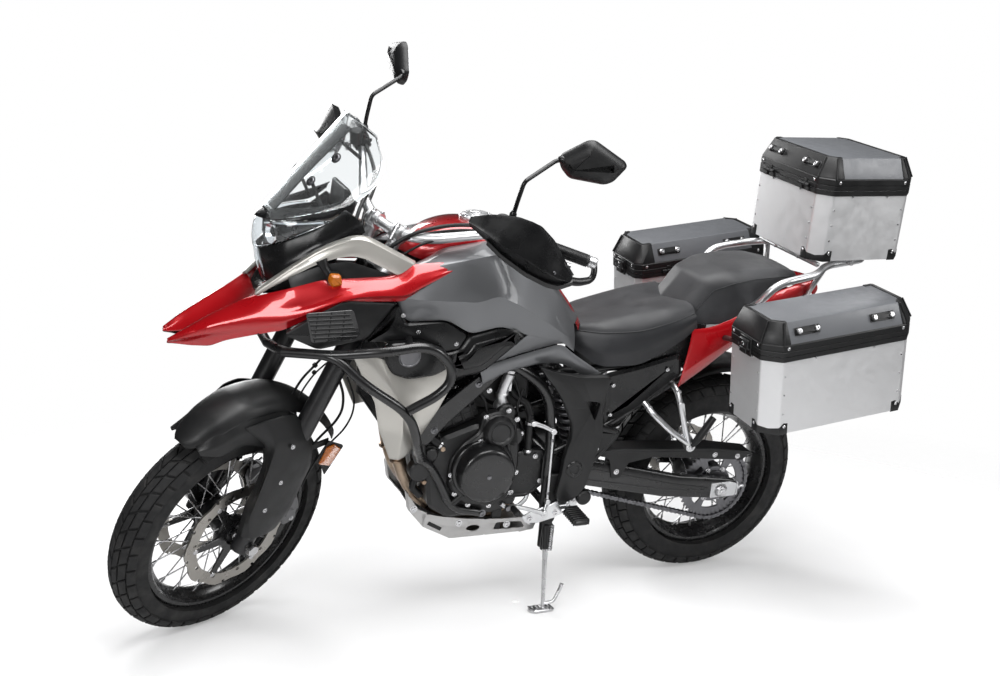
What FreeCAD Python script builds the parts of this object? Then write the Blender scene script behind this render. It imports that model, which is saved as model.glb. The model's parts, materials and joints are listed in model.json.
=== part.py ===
import FreeCAD, Part
import math
import os

# Adventure motorcycle with spoked wheels, crash bars and three aluminium boxes.
# Bike frame, in mm: x forward, y left, z up, origin under the rear axle on the ground line of
# the upright machine. Pieces are drawn upright and straight ahead, then the steered ones turn
# about the steering axis and everything leans on the side stand.

V = FreeCAD.Vector

# ---------------------------------------------------------------- driving dimensions
WHEELBASE = 1480.0
RAKE = 26.0            # steering axis back from vertical, degrees
FRONT_TYRE_R = 329.0
FRONT_TYRE_W = 110.0
FRONT_RIM_R = 243.0
REAR_TYRE_R = 321.0
REAR_TYRE_W = 150.0
REAR_RIM_R = 218.0
FORK_OFFSET = 45.0     # fork legs ahead of the steering axis
FORK_HALF = 100.0      # fork leg centre to centre plane
LEAN = 11.0            # lean on the side stand, degrees
STEER_REST = 30.0      # parked on the left steering stop, degrees
SPOKES = 36
FIT = 0.05             # running clearance of a shaft in its bore
SEAT_GAP = 0.3         # gap between pieces that seat on each other
MOVE_GAP = 5.0         # gap kept round a moving piece

FRONT_AXLE = V(WHEELBASE, 0, FRONT_TYRE_R)
REAR_AXLE = V(0, 0, REAR_TYRE_R)
PIVOT = V(540, 0, 430)             # swingarm pivot
STEER_AXIS = V(-math.sin(math.radians(RAKE)), 0, math.cos(math.radians(RAKE)))
STEER_AHEAD = V(math.cos(math.radians(RAKE)), 0, math.sin(math.radians(RAKE)))
STEER_ZERO = FRONT_AXLE - STEER_AHEAD * FORK_OFFSET   # point of the axis beside the axle
STEER_FOOT = STEER_ZERO - STEER_AXIS * (STEER_ZERO.z / STEER_AXIS.z)    # where it meets the ground

BAR_R = 11.0
AXLE_R = 10.0
HEAD_LOW, HEAD_HIGH = 672.0, 800.0      # head tube, along the steering axis
CLAMP_THICK = 26.0

# boxes
CASE_WALL = 3.0
PANNIER_FRONT, PANNIER_REAR = 116.0, -354.0
PANNIER_IN, PANNIER_OUT = 274.0, 480.0
PANNIER_LOW, PANNIER_BODY, PANNIER_LID = 654.0, 224.0, 86.0
PANNIER_CUT = 42.0                      # corner chamfer in plan
PANNIER_PITCH = 6.5                     # rear end up, degrees
TOP_FRONT, TOP_REAR = -166.0, -488.0
TOP_HALF = 180.0
TOP_LOW, TOP_BODY, TOP_LID = 1046.0, 205.0, 88.0
TOP_CUT = 36.0
LID_OPEN = 75.0

# windscreen
SCREEN_FOOT, SCREEN_TOP = (1376, 0, 1168), (1156, 0, 1424)
SCREEN_BOW, SCREEN_THICK = 225.0, 4.0


NODES = {}


# ---------------------------------------------------------------- shape helpers
def keep(name, body, *solids):
    """Stores the solids of one node with the moving body they belong to."""
    NODES[name] = (body, list(solids))


def mirrored(shape):
    """The same shape on the other side of the centre plane."""
    return shape.mirror(V(0, 0, 0), V(0, 1, 0))


def both(shape):
    """A left piece and its right twin."""
    return [shape, mirrored(shape)]


def plain(shape):
    """The shape's solids and nothing else."""
    solids = shape.Solids
    return solids[0] if len(solids) == 1 else Part.makeCompound(solids)


def fuse(shapes):
    """One solid from shapes that overlap or touch."""
    first, rest = shapes[0], shapes[1:]
    return plain(first.fuse(rest).removeSplitter()) if rest else first


def largest(shape):
    """The biggest solid of a shape."""
    return max(shape.Solids, key=lambda solid: solid.Volume)


def trim(shape, others):
    """The shape with room cut in it for each of the others that comes near it."""
    for other in others:
        if shape.BoundBox.intersect(other.BoundBox):
            shape = plain(shape.cut(other))
    return shape


def rod(a, b, r):
    """Round bar from a to b."""
    a, b = V(*a), V(*b)
    return Part.makeCylinder(r, (b - a).Length, a, b - a)


def cone(a, b, r1, r2):
    """Tapered round bar from a to b."""
    a, b = V(*a), V(*b)
    return Part.makeCone(r1, r2, (b - a).Length, a, b - a)


def block(x0, x1, y0, y1, z0, z1):
    """Box between two corners."""
    return Part.makeBox(x1 - x0, y1 - y0, z1 - z0, V(x0, y0, z0))


def route(points, bend):
    """Wire of straight runs joined by tangent arcs of the bend radius, or what the runs allow."""
    pts = [V(*p) for p in points]
    edges = []
    start = pts[0]
    for before, corner, after in zip(pts, pts[1:], pts[2:]):
        back, ahead = before - corner, after - corner
        shortest = min(back.Length, ahead.Length)
        back.normalize()
        ahead.normalize()
        half = back.getAngle(ahead) / 2
        reach = min(bend / math.tan(half), 0.45 * shortest)
        r = reach * math.tan(half)
        middle = back + ahead
        middle.normalize()
        p1, p2 = corner + back * reach, corner + ahead * reach
        edges.append(Part.LineSegment(start, p1).toShape())
        edges.append(Part.Arc(p1, corner + middle * (r / math.sin(half) - r), p2).toShape())
        start = p2
    edges.append(Part.LineSegment(start, pts[-1]).toShape())
    return Part.Wire(edges)


def tube(points, r, bend=60.0):
    """Round tube along a route."""
    path = route(points, bend)
    a, b = V(*points[0]), V(*points[1])
    ring = Part.Wire([Part.Circle(a, b - a, r).toShape()])
    return path.makePipeShell([ring], True, False)


def rounded(points, r):
    """Closed outline in the xz plane with its corners rounded to r, or cut to what fits."""
    pts = [V(x, 0, z) for x, z in points]
    count = len(pts)
    edges = []
    ends = []
    for i, corner in enumerate(pts):
        back, ahead = pts[i - 1] - corner, pts[(i + 1) % count] - corner
        shortest = min(back.Length, ahead.Length)
        back.normalize()
        ahead.normalize()
        half = back.getAngle(ahead) / 2
        reach = min(r / math.tan(half), 0.4 * shortest)
        bend = reach * math.tan(half)
        middle = back + ahead
        middle.normalize()
        ends.append((corner + back * reach, corner + middle * (bend / math.sin(half) - bend),
                     corner + ahead * reach))
    for i, (p1, mid, p2) in enumerate(ends):
        edges.append(Part.Arc(p1, mid, p2).toShape())
        edges.append(Part.LineSegment(p2, ends[(i + 1) % count][0]).toShape())
    return Part.Wire(edges)


def prism(points, y0, y1, r=0.0):
    """Plate with an xz outline between y0 and y1, its corners rounded to r."""
    if r:
        wire = rounded(points, r)
    else:
        wire = Part.makePolygon([V(x, 0, z) for x, z in points + points[:1]])
    face = Part.Face(wire)
    face.translate(V(0, y0, 0))
    return face.extrude(V(0, y1 - y0, 0))


def inset(points, d):
    """Outline moved inwards by d, each corner along its mitre."""
    area = sum(a[0] * b[1] - b[0] * a[1] for a, b in zip(points, points[1:] + points[:1]))
    side = 1.0 if area > 0 else -1.0
    count = len(points)
    moved = []
    for i, (x, z) in enumerate(points):
        ax, az = x - points[i - 1][0], z - points[i - 1][1]
        bx, bz = points[(i + 1) % count][0] - x, points[(i + 1) % count][1] - z
        la, lb = math.hypot(ax, az), math.hypot(bx, bz)
        na, nb = (-az / la, ax / la), (-bz / lb, bx / lb)
        k = side * d / (1 + na[0] * nb[0] + na[1] * nb[1])
        moved.append((x + k * (na[0] + nb[0]), z + k * (na[1] + nb[1])))
    return moved


def layers(*sheets):
    """Faceted panel through outlines (points, y) with the same number of corners."""
    wires = []
    for points, y in sheets:
        loop = [V(x, y, z) for x, z in points]
        wires.append(Part.makePolygon(loop + loop[:1]))
    return Part.makeLoft(wires, True, True)


def spindle(sections):
    """Faceted body through stations (x, half outline of (y, z) from bottom to top), both sides."""
    wires = []
    for x, half in sections:
        left = [V(x, y, z) for y, z in half]
        right = [V(x, -y, z) for y, z in reversed(half)]
        loop = left + right
        wires.append(Part.makePolygon(loop + loop[:1]))
    return Part.makeLoft(wires, True, True)


def strip(sections):
    """Faceted body of one side through stations (x, outline of (y, z))."""
    wires = []
    for x, outline in sections:
        loop = [V(x, y, z) for y, z in outline]
        wires.append(Part.makePolygon(loop + loop[:1]))
    return Part.makeLoft(wires, True, True)


def jointed(points, r):
    """Straight rods through points with a ball at each corner."""
    shapes = [rod(a, b, r) for a, b in zip(points, points[1:])]
    shapes += [Part.makeSphere(r + 0.4, V(*p)) for p in points[1:-1]]
    return fuse(shapes)


def turned(centre, profile):
    """Wheel-like solid: a closed (y, radius) profile spun about the y line through centre."""
    loop = [centre + V(0, y, r) for y, r in profile]
    face = Part.Face(Part.makePolygon(loop + loop[:1]))
    return face.revolve(centre, V(0, 1, 0), 360)


def fork_point(ahead, y, along):
    """Point beside the steering axis: distance ahead of it, to the left, and up along it."""
    return STEER_ZERO + STEER_AHEAD * ahead + V(0, y, 0) + STEER_AXIS * along


def fork_rod(ahead, y, low, high, r):
    """Round bar parallel to the steering axis."""
    return rod(fork_point(ahead, y, low), fork_point(ahead, y, high), r)


def fork_plate(outline, low, high):
    """Plate square to the steering axis from an outline of (ahead, y) points."""
    loop = [fork_point(a, y, low) for a, y in outline]
    face = Part.Face(Part.makePolygon(loop + loop[:1]))
    return face.extrude(STEER_AXIS * (high - low))


# ---------------------------------------------------------------- wheels
RIM_LIP = 8.0


def tyre(centre, outer, width, rim_r, rim_w):
    """Tyre: a round crown over straight sidewalls down to the beads."""
    crown = width / 2
    mid = outer - crown
    left, right, top = (centre + V(0, crown, mid), centre + V(0, -crown, mid),
                        centre + V(0, 0, outer))
    bead_l = centre + V(0, rim_w / 2, rim_r)
    bead_r = centre + V(0, -rim_w / 2, rim_r)
    edges = [Part.Arc(left, top, right).toShape(), Part.LineSegment(right, bead_r).toShape(),
             Part.LineSegment(bead_r, bead_l).toShape(), Part.LineSegment(bead_l, left).toShape()]
    ring = Part.Face(Part.Wire(edges)).revolve(centre, V(0, 1, 0), 360)
    a, b = rim_w / 2 - SEAT_GAP, rim_w / 2 + 12
    for s in (1, -1):
        ring = ring.cut(turned(centre, [(s * a, rim_r - 5), (s * a, rim_r + RIM_LIP + SEAT_GAP),
                                        (s * b, rim_r + RIM_LIP + SEAT_GAP), (s * b, rim_r - 5)]))
    return plain(ring)


def spoked(centre, rim_r, rim_w, hub, bore):
    """Rim, hub and crossed spokes in one solid. hub is its half profile of (y, radius)."""
    half = rim_w / 2
    rim = turned(centre, [(half + 6, rim_r + RIM_LIP), (half + 6, rim_r - 8), (half - 12, rim_r - 12),
                          (12, rim_r - 26), (-12, rim_r - 26), (-half + 12, rim_r - 12),
                          (-half - 6, rim_r - 8), (-half - 6, rim_r + RIM_LIP), (-half, rim_r + RIM_LIP),
                          (-half, rim_r - SEAT_GAP), (half, rim_r - SEAT_GAP),
                          (half, rim_r + RIM_LIP)])
    core = turned(centre, [(y, bore) for y in (hub[0][0], hub[-1][0])][::-1] + hub)
    shapes = [rim, core]
    flange_y, flange_r = hub[1]
    for i in range(SPOKES):
        side = 1 if i % 2 else -1
        lead = 46 if (i // 2) % 2 else -46
        a = math.radians(i * 360 / SPOKES)
        b = a + math.radians(lead)
        rim_end = centre + V(math.cos(a) * (rim_r - 20), side * 8, math.sin(a) * (rim_r - 20))
        hub_end = centre + V(math.cos(b) * (flange_r - 5), side * (flange_y - 5),
                             math.sin(b) * (flange_r - 5))
        line = rim_end - hub_end
        cross = line.cross(V(0, 1, 0))
        cross.normalize()
        up = cross.cross(line)
        up.normalize()
        w = 2.2
        loop = [hub_end + cross * w, hub_end + up * w, hub_end - cross * w, hub_end - up * w]
        shapes.append(Part.Face(Part.makePolygon(loop + loop[:1])).extrude(line))
    return fuse(shapes)


def wave_disc(centre, y, outer, inner, petals, holes):
    """Brake disc of 5 mm with a waved edge, a waved inside and a ring of drilled holes."""
    loop = []
    for i in range(petals * 4):
        a = math.radians(i * 90.0 / petals)
        r = outer - (0, 3, 8, 3)[i % 4]
        loop.append(centre + V(math.cos(a) * r, y, math.sin(a) * r))
    disc = Part.Face(Part.makePolygon(loop + loop[:1])).extrude(V(0, 5, 0))
    cuts = [Part.makeCylinder(inner, 20, centre + V(0, y - 5, 0), V(0, 1, 0))]
    for i in range(holes):
        a = math.radians((i + 0.5) * 360 / holes)
        r = (outer + inner) / 2 + (12 if i % 2 else -10)
        cuts.append(Part.makeCylinder(5, 20, centre + V(math.cos(a) * r, y - 5, math.sin(a) * r),
                                      V(0, 1, 0)))
    return disc.cut(cuts)


def disc_carrier(centre, y, inner, hub_r, arms):
    """Spider that carries a disc: a hub ring and arms out to the disc's inner edge."""
    ring = Part.makeCylinder(hub_r + 14, 5, centre + V(0, y, 0), V(0, 1, 0))
    shapes = [ring]
    for i in range(arms):
        arm = block(hub_r, inner + 4, y, y + 5, -9, 9)
        arm.rotate(V(0, 0, 0), V(0, 1, 0), i * 360 / arms)
        arm.translate(V(centre.x, 0, centre.z))
        shapes.append(arm)
    hole = Part.makeCylinder(hub_r, 20, centre + V(0, y - 5, 0), V(0, 1, 0))
    return fuse(shapes).cut(hole)


DISC_Y = 62.0
HUB_BORE = AXLE_R + FIT

front_hub = [(54, 41), (50, 48), (34, 48), (24, 28), (-24, 28), (-34, 48), (-50, 48), (-54, 41)]
keep("front_tyre", "front_wheel", tyre(FRONT_AXLE, FRONT_TYRE_R, FRONT_TYRE_W, FRONT_RIM_R, 64))
keep("front_wheel", "front_wheel", spoked(FRONT_AXLE, FRONT_RIM_R, 64, front_hub, HUB_BORE))
front_disc = fuse([wave_disc(FRONT_AXLE, DISC_Y, 160, 122, 10, 20),
                   disc_carrier(FRONT_AXLE, DISC_Y, 122, 34, 6),
                   Part.makeCylinder(40, DISC_Y - 54 - SEAT_GAP, FRONT_AXLE + V(0, 54 + SEAT_GAP, 0),
                                     V(0, 1, 0)).cut(
                       Part.makeCylinder(34, 30, FRONT_AXLE + V(0, 50, 0), V(0, 1, 0)))])
front_disc = front_disc.cut(Part.makeCylinder(27, 60, FRONT_AXLE + V(0, 30, 0), V(0, 1, 0)))
keep("front_discs", "front_wheel", *both(front_disc))

CHAIN_Y = 97.0
rear_hub = [(60, 30), (56, 58), (38, 58), (28, 36), (-28, 36), (-38, 58), (-56, 58), (-60, 30)]
keep("rear_tyre", "rear_wheel", tyre(REAR_AXLE, REAR_TYRE_R, REAR_TYRE_W, REAR_RIM_R, 89))
keep("rear_wheel", "rear_wheel", spoked(REAR_AXLE, REAR_RIM_R, 89, rear_hub, HUB_BORE))

# chain and sprockets
PITCH = 15.875
REAR_TEETH, FRONT_TEETH = 45, 16
REAR_PITCH_R = PITCH / (2 * math.sin(math.pi / REAR_TEETH))
FRONT_PITCH_R = PITCH / (2 * math.sin(math.pi / FRONT_TEETH))
FRONT_SPROCKET = V(615, CHAIN_Y, 440)
REAR_SPROCKET = REAR_AXLE + V(0, CHAIN_Y, 0)
CHAIN_HALF_H = 7.0
CHAIN_HALF_W = 10.0


def sprocket(centre, teeth, tip, depth, thick):
    """Toothed disc: each tooth is a step between a tip and a root radius."""
    loop = []
    for i in range(teeth):
        for part, r in ((0.0, tip), (0.3, tip), (0.55, tip - depth), (0.75, tip - depth)):
            a = 2 * math.pi * (i + part) / teeth
            loop.append(centre + V(math.cos(a) * r, -thick / 2, math.sin(a) * r))
    return Part.Face(Part.makePolygon(loop + loop[:1])).extrude(V(0, thick, 0))


rear_sprocket = sprocket(REAR_SPROCKET, REAR_TEETH, REAR_PITCH_R - CHAIN_HALF_H - 1, 5, 7)
windows = []
for i in range(6):
    a = math.radians(60 * i)
    windows.append(Part.makeCylinder(17, 40, REAR_SPROCKET + V(math.cos(a) * 76, -20,
                                                              math.sin(a) * 76), V(0, 1, 0)))
carrier = turned(REAR_AXLE, [(60, 20), (CHAIN_Y + 6, 20), (CHAIN_Y + 6, 50),
                             (CHAIN_Y - 6, 56), (60, 50)])
windows.append(Part.makeCylinder(20, 40, REAR_SPROCKET - V(0, 20, 0), V(0, 1, 0)))
keep("rear_sprocket", "rear_wheel", fuse([rear_sprocket.cut(windows), carrier]))
REAR_DISC_Y = -90.0
rear_disc = fuse([wave_disc(REAR_AXLE, REAR_DISC_Y, 120, 86, 8, 16),
                  disc_carrier(REAR_AXLE, REAR_DISC_Y, 86, 30, 5),
                  turned(REAR_AXLE, [(-60, 20), (REAR_DISC_Y, 20), (REAR_DISC_Y, 42), (-60, 42)])])
rear_disc = rear_disc.cut(Part.makeCylinder(20, 60, REAR_AXLE + V(0, -110, 0), V(0, 1, 0)))
keep("rear_disc", "rear_wheel", rear_disc)


def chain_loop(extra_out, extra_in, half_w):
    """Flat band round both sprockets: outside and inside offsets from the pitch line."""
    def hull_face(r1, r2):
        a = Part.Face(Part.Wire(Part.Circle(REAR_SPROCKET, V(0, 1, 0), r1).toShape()))
        b = Part.Face(Part.Wire(Part.Circle(FRONT_SPROCKET, V(0, 1, 0), r2).toShape()))
        line = FRONT_SPROCKET - REAR_SPROCKET
        base, spread = math.atan2(line.z, line.x), math.acos((r1 - r2) / line.Length)
        pts = []
        for c, r, s in ((REAR_SPROCKET, r1, 1), (FRONT_SPROCKET, r2, 1),
                        (FRONT_SPROCKET, r2, -1), (REAR_SPROCKET, r1, -1)):
            a_ = base + s * spread
            pts.append(c + V(math.cos(a_) * r, 0, math.sin(a_) * r))
        quad = Part.Face(Part.makePolygon(pts + pts[:1]))
        thick = V(0, 2 * half_w, 0)
        return fuse([a.extrude(thick), quad.extrude(thick), b.extrude(thick)])
    band = hull_face(REAR_PITCH_R + extra_out, FRONT_PITCH_R + extra_out)
    band = band.cut(hull_face(REAR_PITCH_R - extra_in, FRONT_PITCH_R - extra_in))
    band.translate(V(0, -half_w, 0))
    return band


keep("drive_chain", "root", chain_loop(CHAIN_HALF_H, CHAIN_HALF_H, CHAIN_HALF_W))

# ---------------------------------------------------------------- fork and bars
LEG_R = 27.0
STANCHION_R = 21.5
UPPER_CLAMP = HEAD_HIGH + 10
LOWER_CLAMP = HEAD_LOW - 10 - CLAMP_THICK
LEG_TOP = UPPER_CLAMP + CLAMP_THICK + 12


def fork_leg(side):
    """Upside-down fork leg: wide tube above, stanchion below, axle foot and a guard in front."""
    y = side * FORK_HALF
    shapes = [fork_rod(FORK_OFFSET, y, 255, LEG_TOP, LEG_R),
              fork_rod(FORK_OFFSET, y, 0, 260, STANCHION_R),
              fork_rod(FORK_OFFSET, y, 236, 262, LEG_R + 2),
              fork_rod(FORK_OFFSET, y, -26, 62, LEG_R - 1)]
    leg = fuse(shapes)
    bore = rod(FRONT_AXLE + V(0, y - 60, 0), FRONT_AXLE + V(0, y + 60, 0), AXLE_R + FIT)
    return leg.cut(bore)


legs = [fork_leg(1), fork_leg(-1)]
keep("fork_legs", "steering", *legs)

GUARD_IN = DISC_Y + 5 + MOVE_GAP + 4
GUARD_LOW, GUARD_HIGH = 30.0, 380.0
guards = []
for side in (1, -1):
    y = side * FORK_HALF
    outer = fork_rod(FORK_OFFSET, y, GUARD_LOW, GUARD_HIGH, LEG_R + 9)
    hollow = fork_rod(FORK_OFFSET, y, GUARD_LOW - 10, GUARD_HIGH + 10, LEG_R + 5)
    back = fork_plate([(FORK_OFFSET - 60, y - 60), (FORK_OFFSET - 6, y - 60),
                       (FORK_OFFSET - 6, y + 60), (FORK_OFFSET - 60, y + 60)],
                      GUARD_LOW - 10, GUARD_HIGH + 10)
    near = [(FORK_OFFSET - 60, 0), (FORK_OFFSET + 60, 0), (FORK_OFFSET + 60, side * GUARD_IN),
            (FORK_OFFSET - 60, side * GUARD_IN)]
    shell = outer.cut([hollow, back, fork_plate(near, GUARD_LOW - 10, GUARD_HIGH + 10)])
    tab = fork_plate([(FORK_OFFSET + LEG_R - 3, y - 8), (FORK_OFFSET + LEG_R + 7, y - 8),
                      (FORK_OFFSET + LEG_R + 7, y + 8), (FORK_OFFSET + LEG_R - 3, y + 8)], 40, 56)
    guards.append(trim(fuse([shell, tab]), [legs[0 if side > 0 else 1]]))
keep("fork_guards", "steering", *guards)

axle = fuse([rod(FRONT_AXLE + V(0, -134, 0), FRONT_AXLE + V(0, 134, 0), AXLE_R),
             rod(FRONT_AXLE + V(0, 127.5, 0), FRONT_AXLE + V(0, 136, 0), 16),
             rod(FRONT_AXLE + V(0, -127.5, 0), FRONT_AXLE + V(0, -136, 0), 16)])
keep("front_axle", "steering", axle)


def yoke(low, high):
    """Triple clamp plate with a bored boss at each leg."""
    web = [(FORK_OFFSET + 22, 96), (FORK_OFFSET + 22, 40), (34, 24), (34, -24),
           (FORK_OFFSET + 22, -40), (FORK_OFFSET + 22, -96), (FORK_OFFSET - 22, -104),
           (-26, -30), (-34, 0), (-26, 30), (FORK_OFFSET - 22, 104)]
    shapes = [fork_plate(web, low, high)]
    for y in (FORK_HALF, -FORK_HALF):
        shapes.append(fork_rod(FORK_OFFSET, y, low, high, LEG_R + 9))
    plate = fuse(shapes)
    return plate.cut([fork_rod(FORK_OFFSET, y, low - 10, high + 10, LEG_R + FIT)
                      for y in (FORK_HALF, -FORK_HALF)])


STEM_R = 20.0
RISER_AHEAD, RISER_Y = 8.0, 46.0
BAR_ALONG = 905.0
stem = fork_rod(0, 0, LOWER_CLAMP, UPPER_CLAMP + CLAMP_THICK + 8, STEM_R)
risers = [fork_rod(RISER_AHEAD, y, UPPER_CLAMP + CLAMP_THICK - 1, BAR_ALONG, 15)
          for y in (RISER_Y, -RISER_Y)]
bar_saddles = [rod(fork_point(RISER_AHEAD, y - 17, BAR_ALONG),
                   fork_point(RISER_AHEAD, y + 17, BAR_ALONG), BAR_R + 9) for y in (RISER_Y, -RISER_Y)]
bar_centre = fork_point(RISER_AHEAD, 0, BAR_ALONG)
BAR_END = V(780, 455, 1190)
BAR_GRIP = V(905, 285, 1216)
bar_points = [(BAR_END.x, -BAR_END.y, BAR_END.z), (BAR_GRIP.x, -BAR_GRIP.y, BAR_GRIP.z),
              (bar_centre.x, -90, bar_centre.z), (bar_centre.x, 90, bar_centre.z),
              (BAR_GRIP.x, BAR_GRIP.y, BAR_GRIP.z), (BAR_END.x, BAR_END.y, BAR_END.z)]
handlebar = tube(bar_points, BAR_R, 90)
clamps = fuse([yoke(LOWER_CLAMP, LOWER_CLAMP + CLAMP_THICK),
               yoke(UPPER_CLAMP, UPPER_CLAMP + CLAMP_THICK), stem] + risers + bar_saddles)
keep("triple_clamps", "steering", clamps.cut(tube(bar_points, BAR_R + FIT, 90)))
keep("handlebar", "steering", handlebar)

grip_line = BAR_END - BAR_GRIP
grip_line.normalize()


def grip_at(d):
    """Point on the left grip line, d from where the straight end of the bar starts."""
    return BAR_GRIP + grip_line * d


GRIP_LONG = (BAR_END - BAR_GRIP).Length
bar_bore = tube(bar_points, BAR_R + 0.2, 90)


def hand_control():
    """Grip, switch box, lever bracket and lever of the left bar end."""
    shapes = [rod(grip_at(66), grip_at(GRIP_LONG - 4), 16),
              rod(grip_at(60), grip_at(68), 20),
              rod(grip_at(18), grip_at(62), 23)]
    bracket = grip_at(6)
    shapes.append(rod(grip_at(-12), grip_at(20), 18))
    pivot = bracket + V(42, 8, -4)
    shapes.append(rod(bracket + V(0, 0, -2), pivot, 12))
    tip = grip_at(GRIP_LONG - 22) + V(48, 0, -8)
    mid = grip_at(70) + V(58, 0, -6)
    shapes.append(tube([pivot, mid, tip], 6, 60))
    shapes.append(rod(bracket + V(24, -22, 14), bracket + V(24, -22, 44), 17))
    return fuse(shapes).cut(bar_bore)


left_control = hand_control()
keep("hand_controls", "steering", *both(left_control))


def hand_guard():
    """Shell ahead of the lever and the alloy blade back to the bar end."""
    rows = ((264, 1040, 1284, 1262), (320, 1006, 1300, 1192), (365, 976, 1300, 1158),
            (410, 938, 1282, 1140), (446, 893, 1232, 1134))        # y, front x, top z, bottom z
    wires = []
    for y, x, top, low in rows:
        mid = (top + low) / 2
        half = [(x - 26, top), (x, mid + 14), (x - 10, low), (x - 15, low), (x - 5, mid + 12),
                (x - 30, top - 4)]
        loop = [V(px, y, pz) for px, pz in half]
        wires.append(Part.makePolygon(loop + loop[:1]))
    shell = Part.makeLoft(wires, True, True)
    end = BAR_END + grip_line * 5
    blade = tube([(end.x, end.y, end.z), (end.x + 10, end.y + 20, end.z - 22),
                  (832, 472, 1146), (888, 446, 1146)], 8, 24)
    cap = rod(BAR_END + grip_line * SEAT_GAP, BAR_END + grip_line * 22, 15)
    arm = tube([(1030, 268, 1272), (1000, 246, 1240), (957, 226, 1204)], 5, 10)
    return trim(fuse([shell, blade, cap, arm]), [handlebar, left_control])


left_guard = hand_guard()
keep("hand_guards", "steering", *both(left_guard))


MIRROR_YAW = 30.0


def mirror_set():
    """Mirror head on a bent stem from the lever bracket."""
    foot = grip_at(-2) + V(0, 0, 18 + SEAT_GAP)
    stem_ = tube([foot, foot + V(-2, 2, 60), (896, 287, 1356), (788, 290, 1399),
                  (764, 316, 1406)], 5.5, 24)
    nut = rod(foot, foot + V(0, 0, 26), 9)
    outline = [(-82, -3), (-75, -31), (-45, -55), (47, -46), (66, -33), (90, 14), (82, 26),
               (-4, 59), (-23, 53)]                    # outwards, up from the head's middle
    rims = [[V(x, a * k, b * k) for a, b in outline] for x, k in ((-14, 0.96), (-8, 1), (14, 0.68))]
    shell = Part.makeLoft([Part.makePolygon(rim + rim[:1]) for rim in rims], True, True)
    shell.rotate(V(0, 0, 0), V(0, 0, 1), MIRROR_YAW)
    shell.translate(V(742, 360, 1412))
    return trim(fuse([stem_, nut, shell]), [left_control])


keep("mirrors", "steering", *both(mirror_set()))


HOSE_R = 4.0


def brake_hose(side):
    """Hose from under the lower clamp down behind the leg to its caliper."""
    y = side * FORK_HALF
    back = FORK_OFFSET - LEG_R - 2 - HOSE_R - SEAT_GAP
    run = [fork_point(back, y, a) for a in (LOWER_CLAMP - SEAT_GAP, 330)]
    run += [fork_point(back - 26, side * (FORK_HALF + 4), 190), fork_point(back - 40, y, 140)]
    return tube([tuple(p) for p in run], HOSE_R, 200)


# front calipers
CALIPER = V(1362, 0, 400)


def front_caliper():
    """Caliper astride the disc, with a slot for it and a lug to the fork foot."""
    body_ = block(-34, 34, DISC_Y - 23, DISC_Y + 30, -46, 46)
    body_.rotate(V(0, 0, 0), V(0, 1, 0), 34)
    body_.translate(CALIPER)
    slot = Part.makeCylinder(160 + MOVE_GAP, 5 + 2 * MOVE_GAP,
                             FRONT_AXLE + V(0, DISC_Y - MOVE_GAP, 0), V(0, 1, 0))
    room = Part.makeCylinder(70, 200, FRONT_AXLE + V(0, -20, 0), V(0, 1, 0))
    piece = fuse([body_, block(1366, 1450, 82, 98, 362, 410)])
    return trim(piece, [slot, room.cut(block(1300, 1600, 79, 200, 200, 500)), legs[0], guards[0]])


left_caliper = front_caliper()
keep("front_calipers", "steering", *both(left_caliper))
hoses = [trim(brake_hose(1), [left_caliper]), trim(brake_hose(-1), [mirrored(left_caliper)])]
keep("brake_hoses", "steering", hoses[0], hoses[1])

FENDER_R = 346.0
FENDER_MIDDLE = V(WHEELBASE - 30, 0, FRONT_TYRE_R + 30)
FENDER_START, FENDER_SWEEP = 58.0, 90.0


def front_fender():
    """Crowned fender high over the front tyre with side drops that bolt to the legs."""
    outer = [(-70, 0), (-62, 14), (-30, 24), (30, 24), (62, 14), (70, 0)]
    inner = [(66, 0), (59, 11), (29, 20.5), (-29, 20.5), (-59, 11), (-66, 0)]
    loop = [FENDER_MIDDLE + V(FENDER_R + r, y, 0) for y, r in outer + inner]
    face = Part.Face(Part.makePolygon(loop + loop[:1]))
    face.rotate(FENDER_MIDDLE, V(0, -1, 0), FENDER_START)
    arch = face.revolve(FENDER_MIDDLE, V(0, -1, 0), FENDER_SWEEP)
    flap = prism([(1540, 690), (1450, 714), (1332, 693), (1235, 640), (1216, 575), (1275, 515),
                  (1345, 560), (1430, 630)], 66, 70)
    lug = rod((1336, 66, 628), (1336, 74, 628), 10)
    return fuse([arch, flap, mirrored(flap), lug, mirrored(lug)])


fender = trim(front_fender(), legs + guards + [fork_rod(FORK_OFFSET, y, 262, 420, LEG_R + SEAT_GAP)
                                             for y in (FORK_HALF, -FORK_HALF)])
keep("front_fender", "steering", fender)

# ---------------------------------------------------------------- engine
LEFT_COVER = V(790, 0, 470)
COVER_R = 78.0


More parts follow.
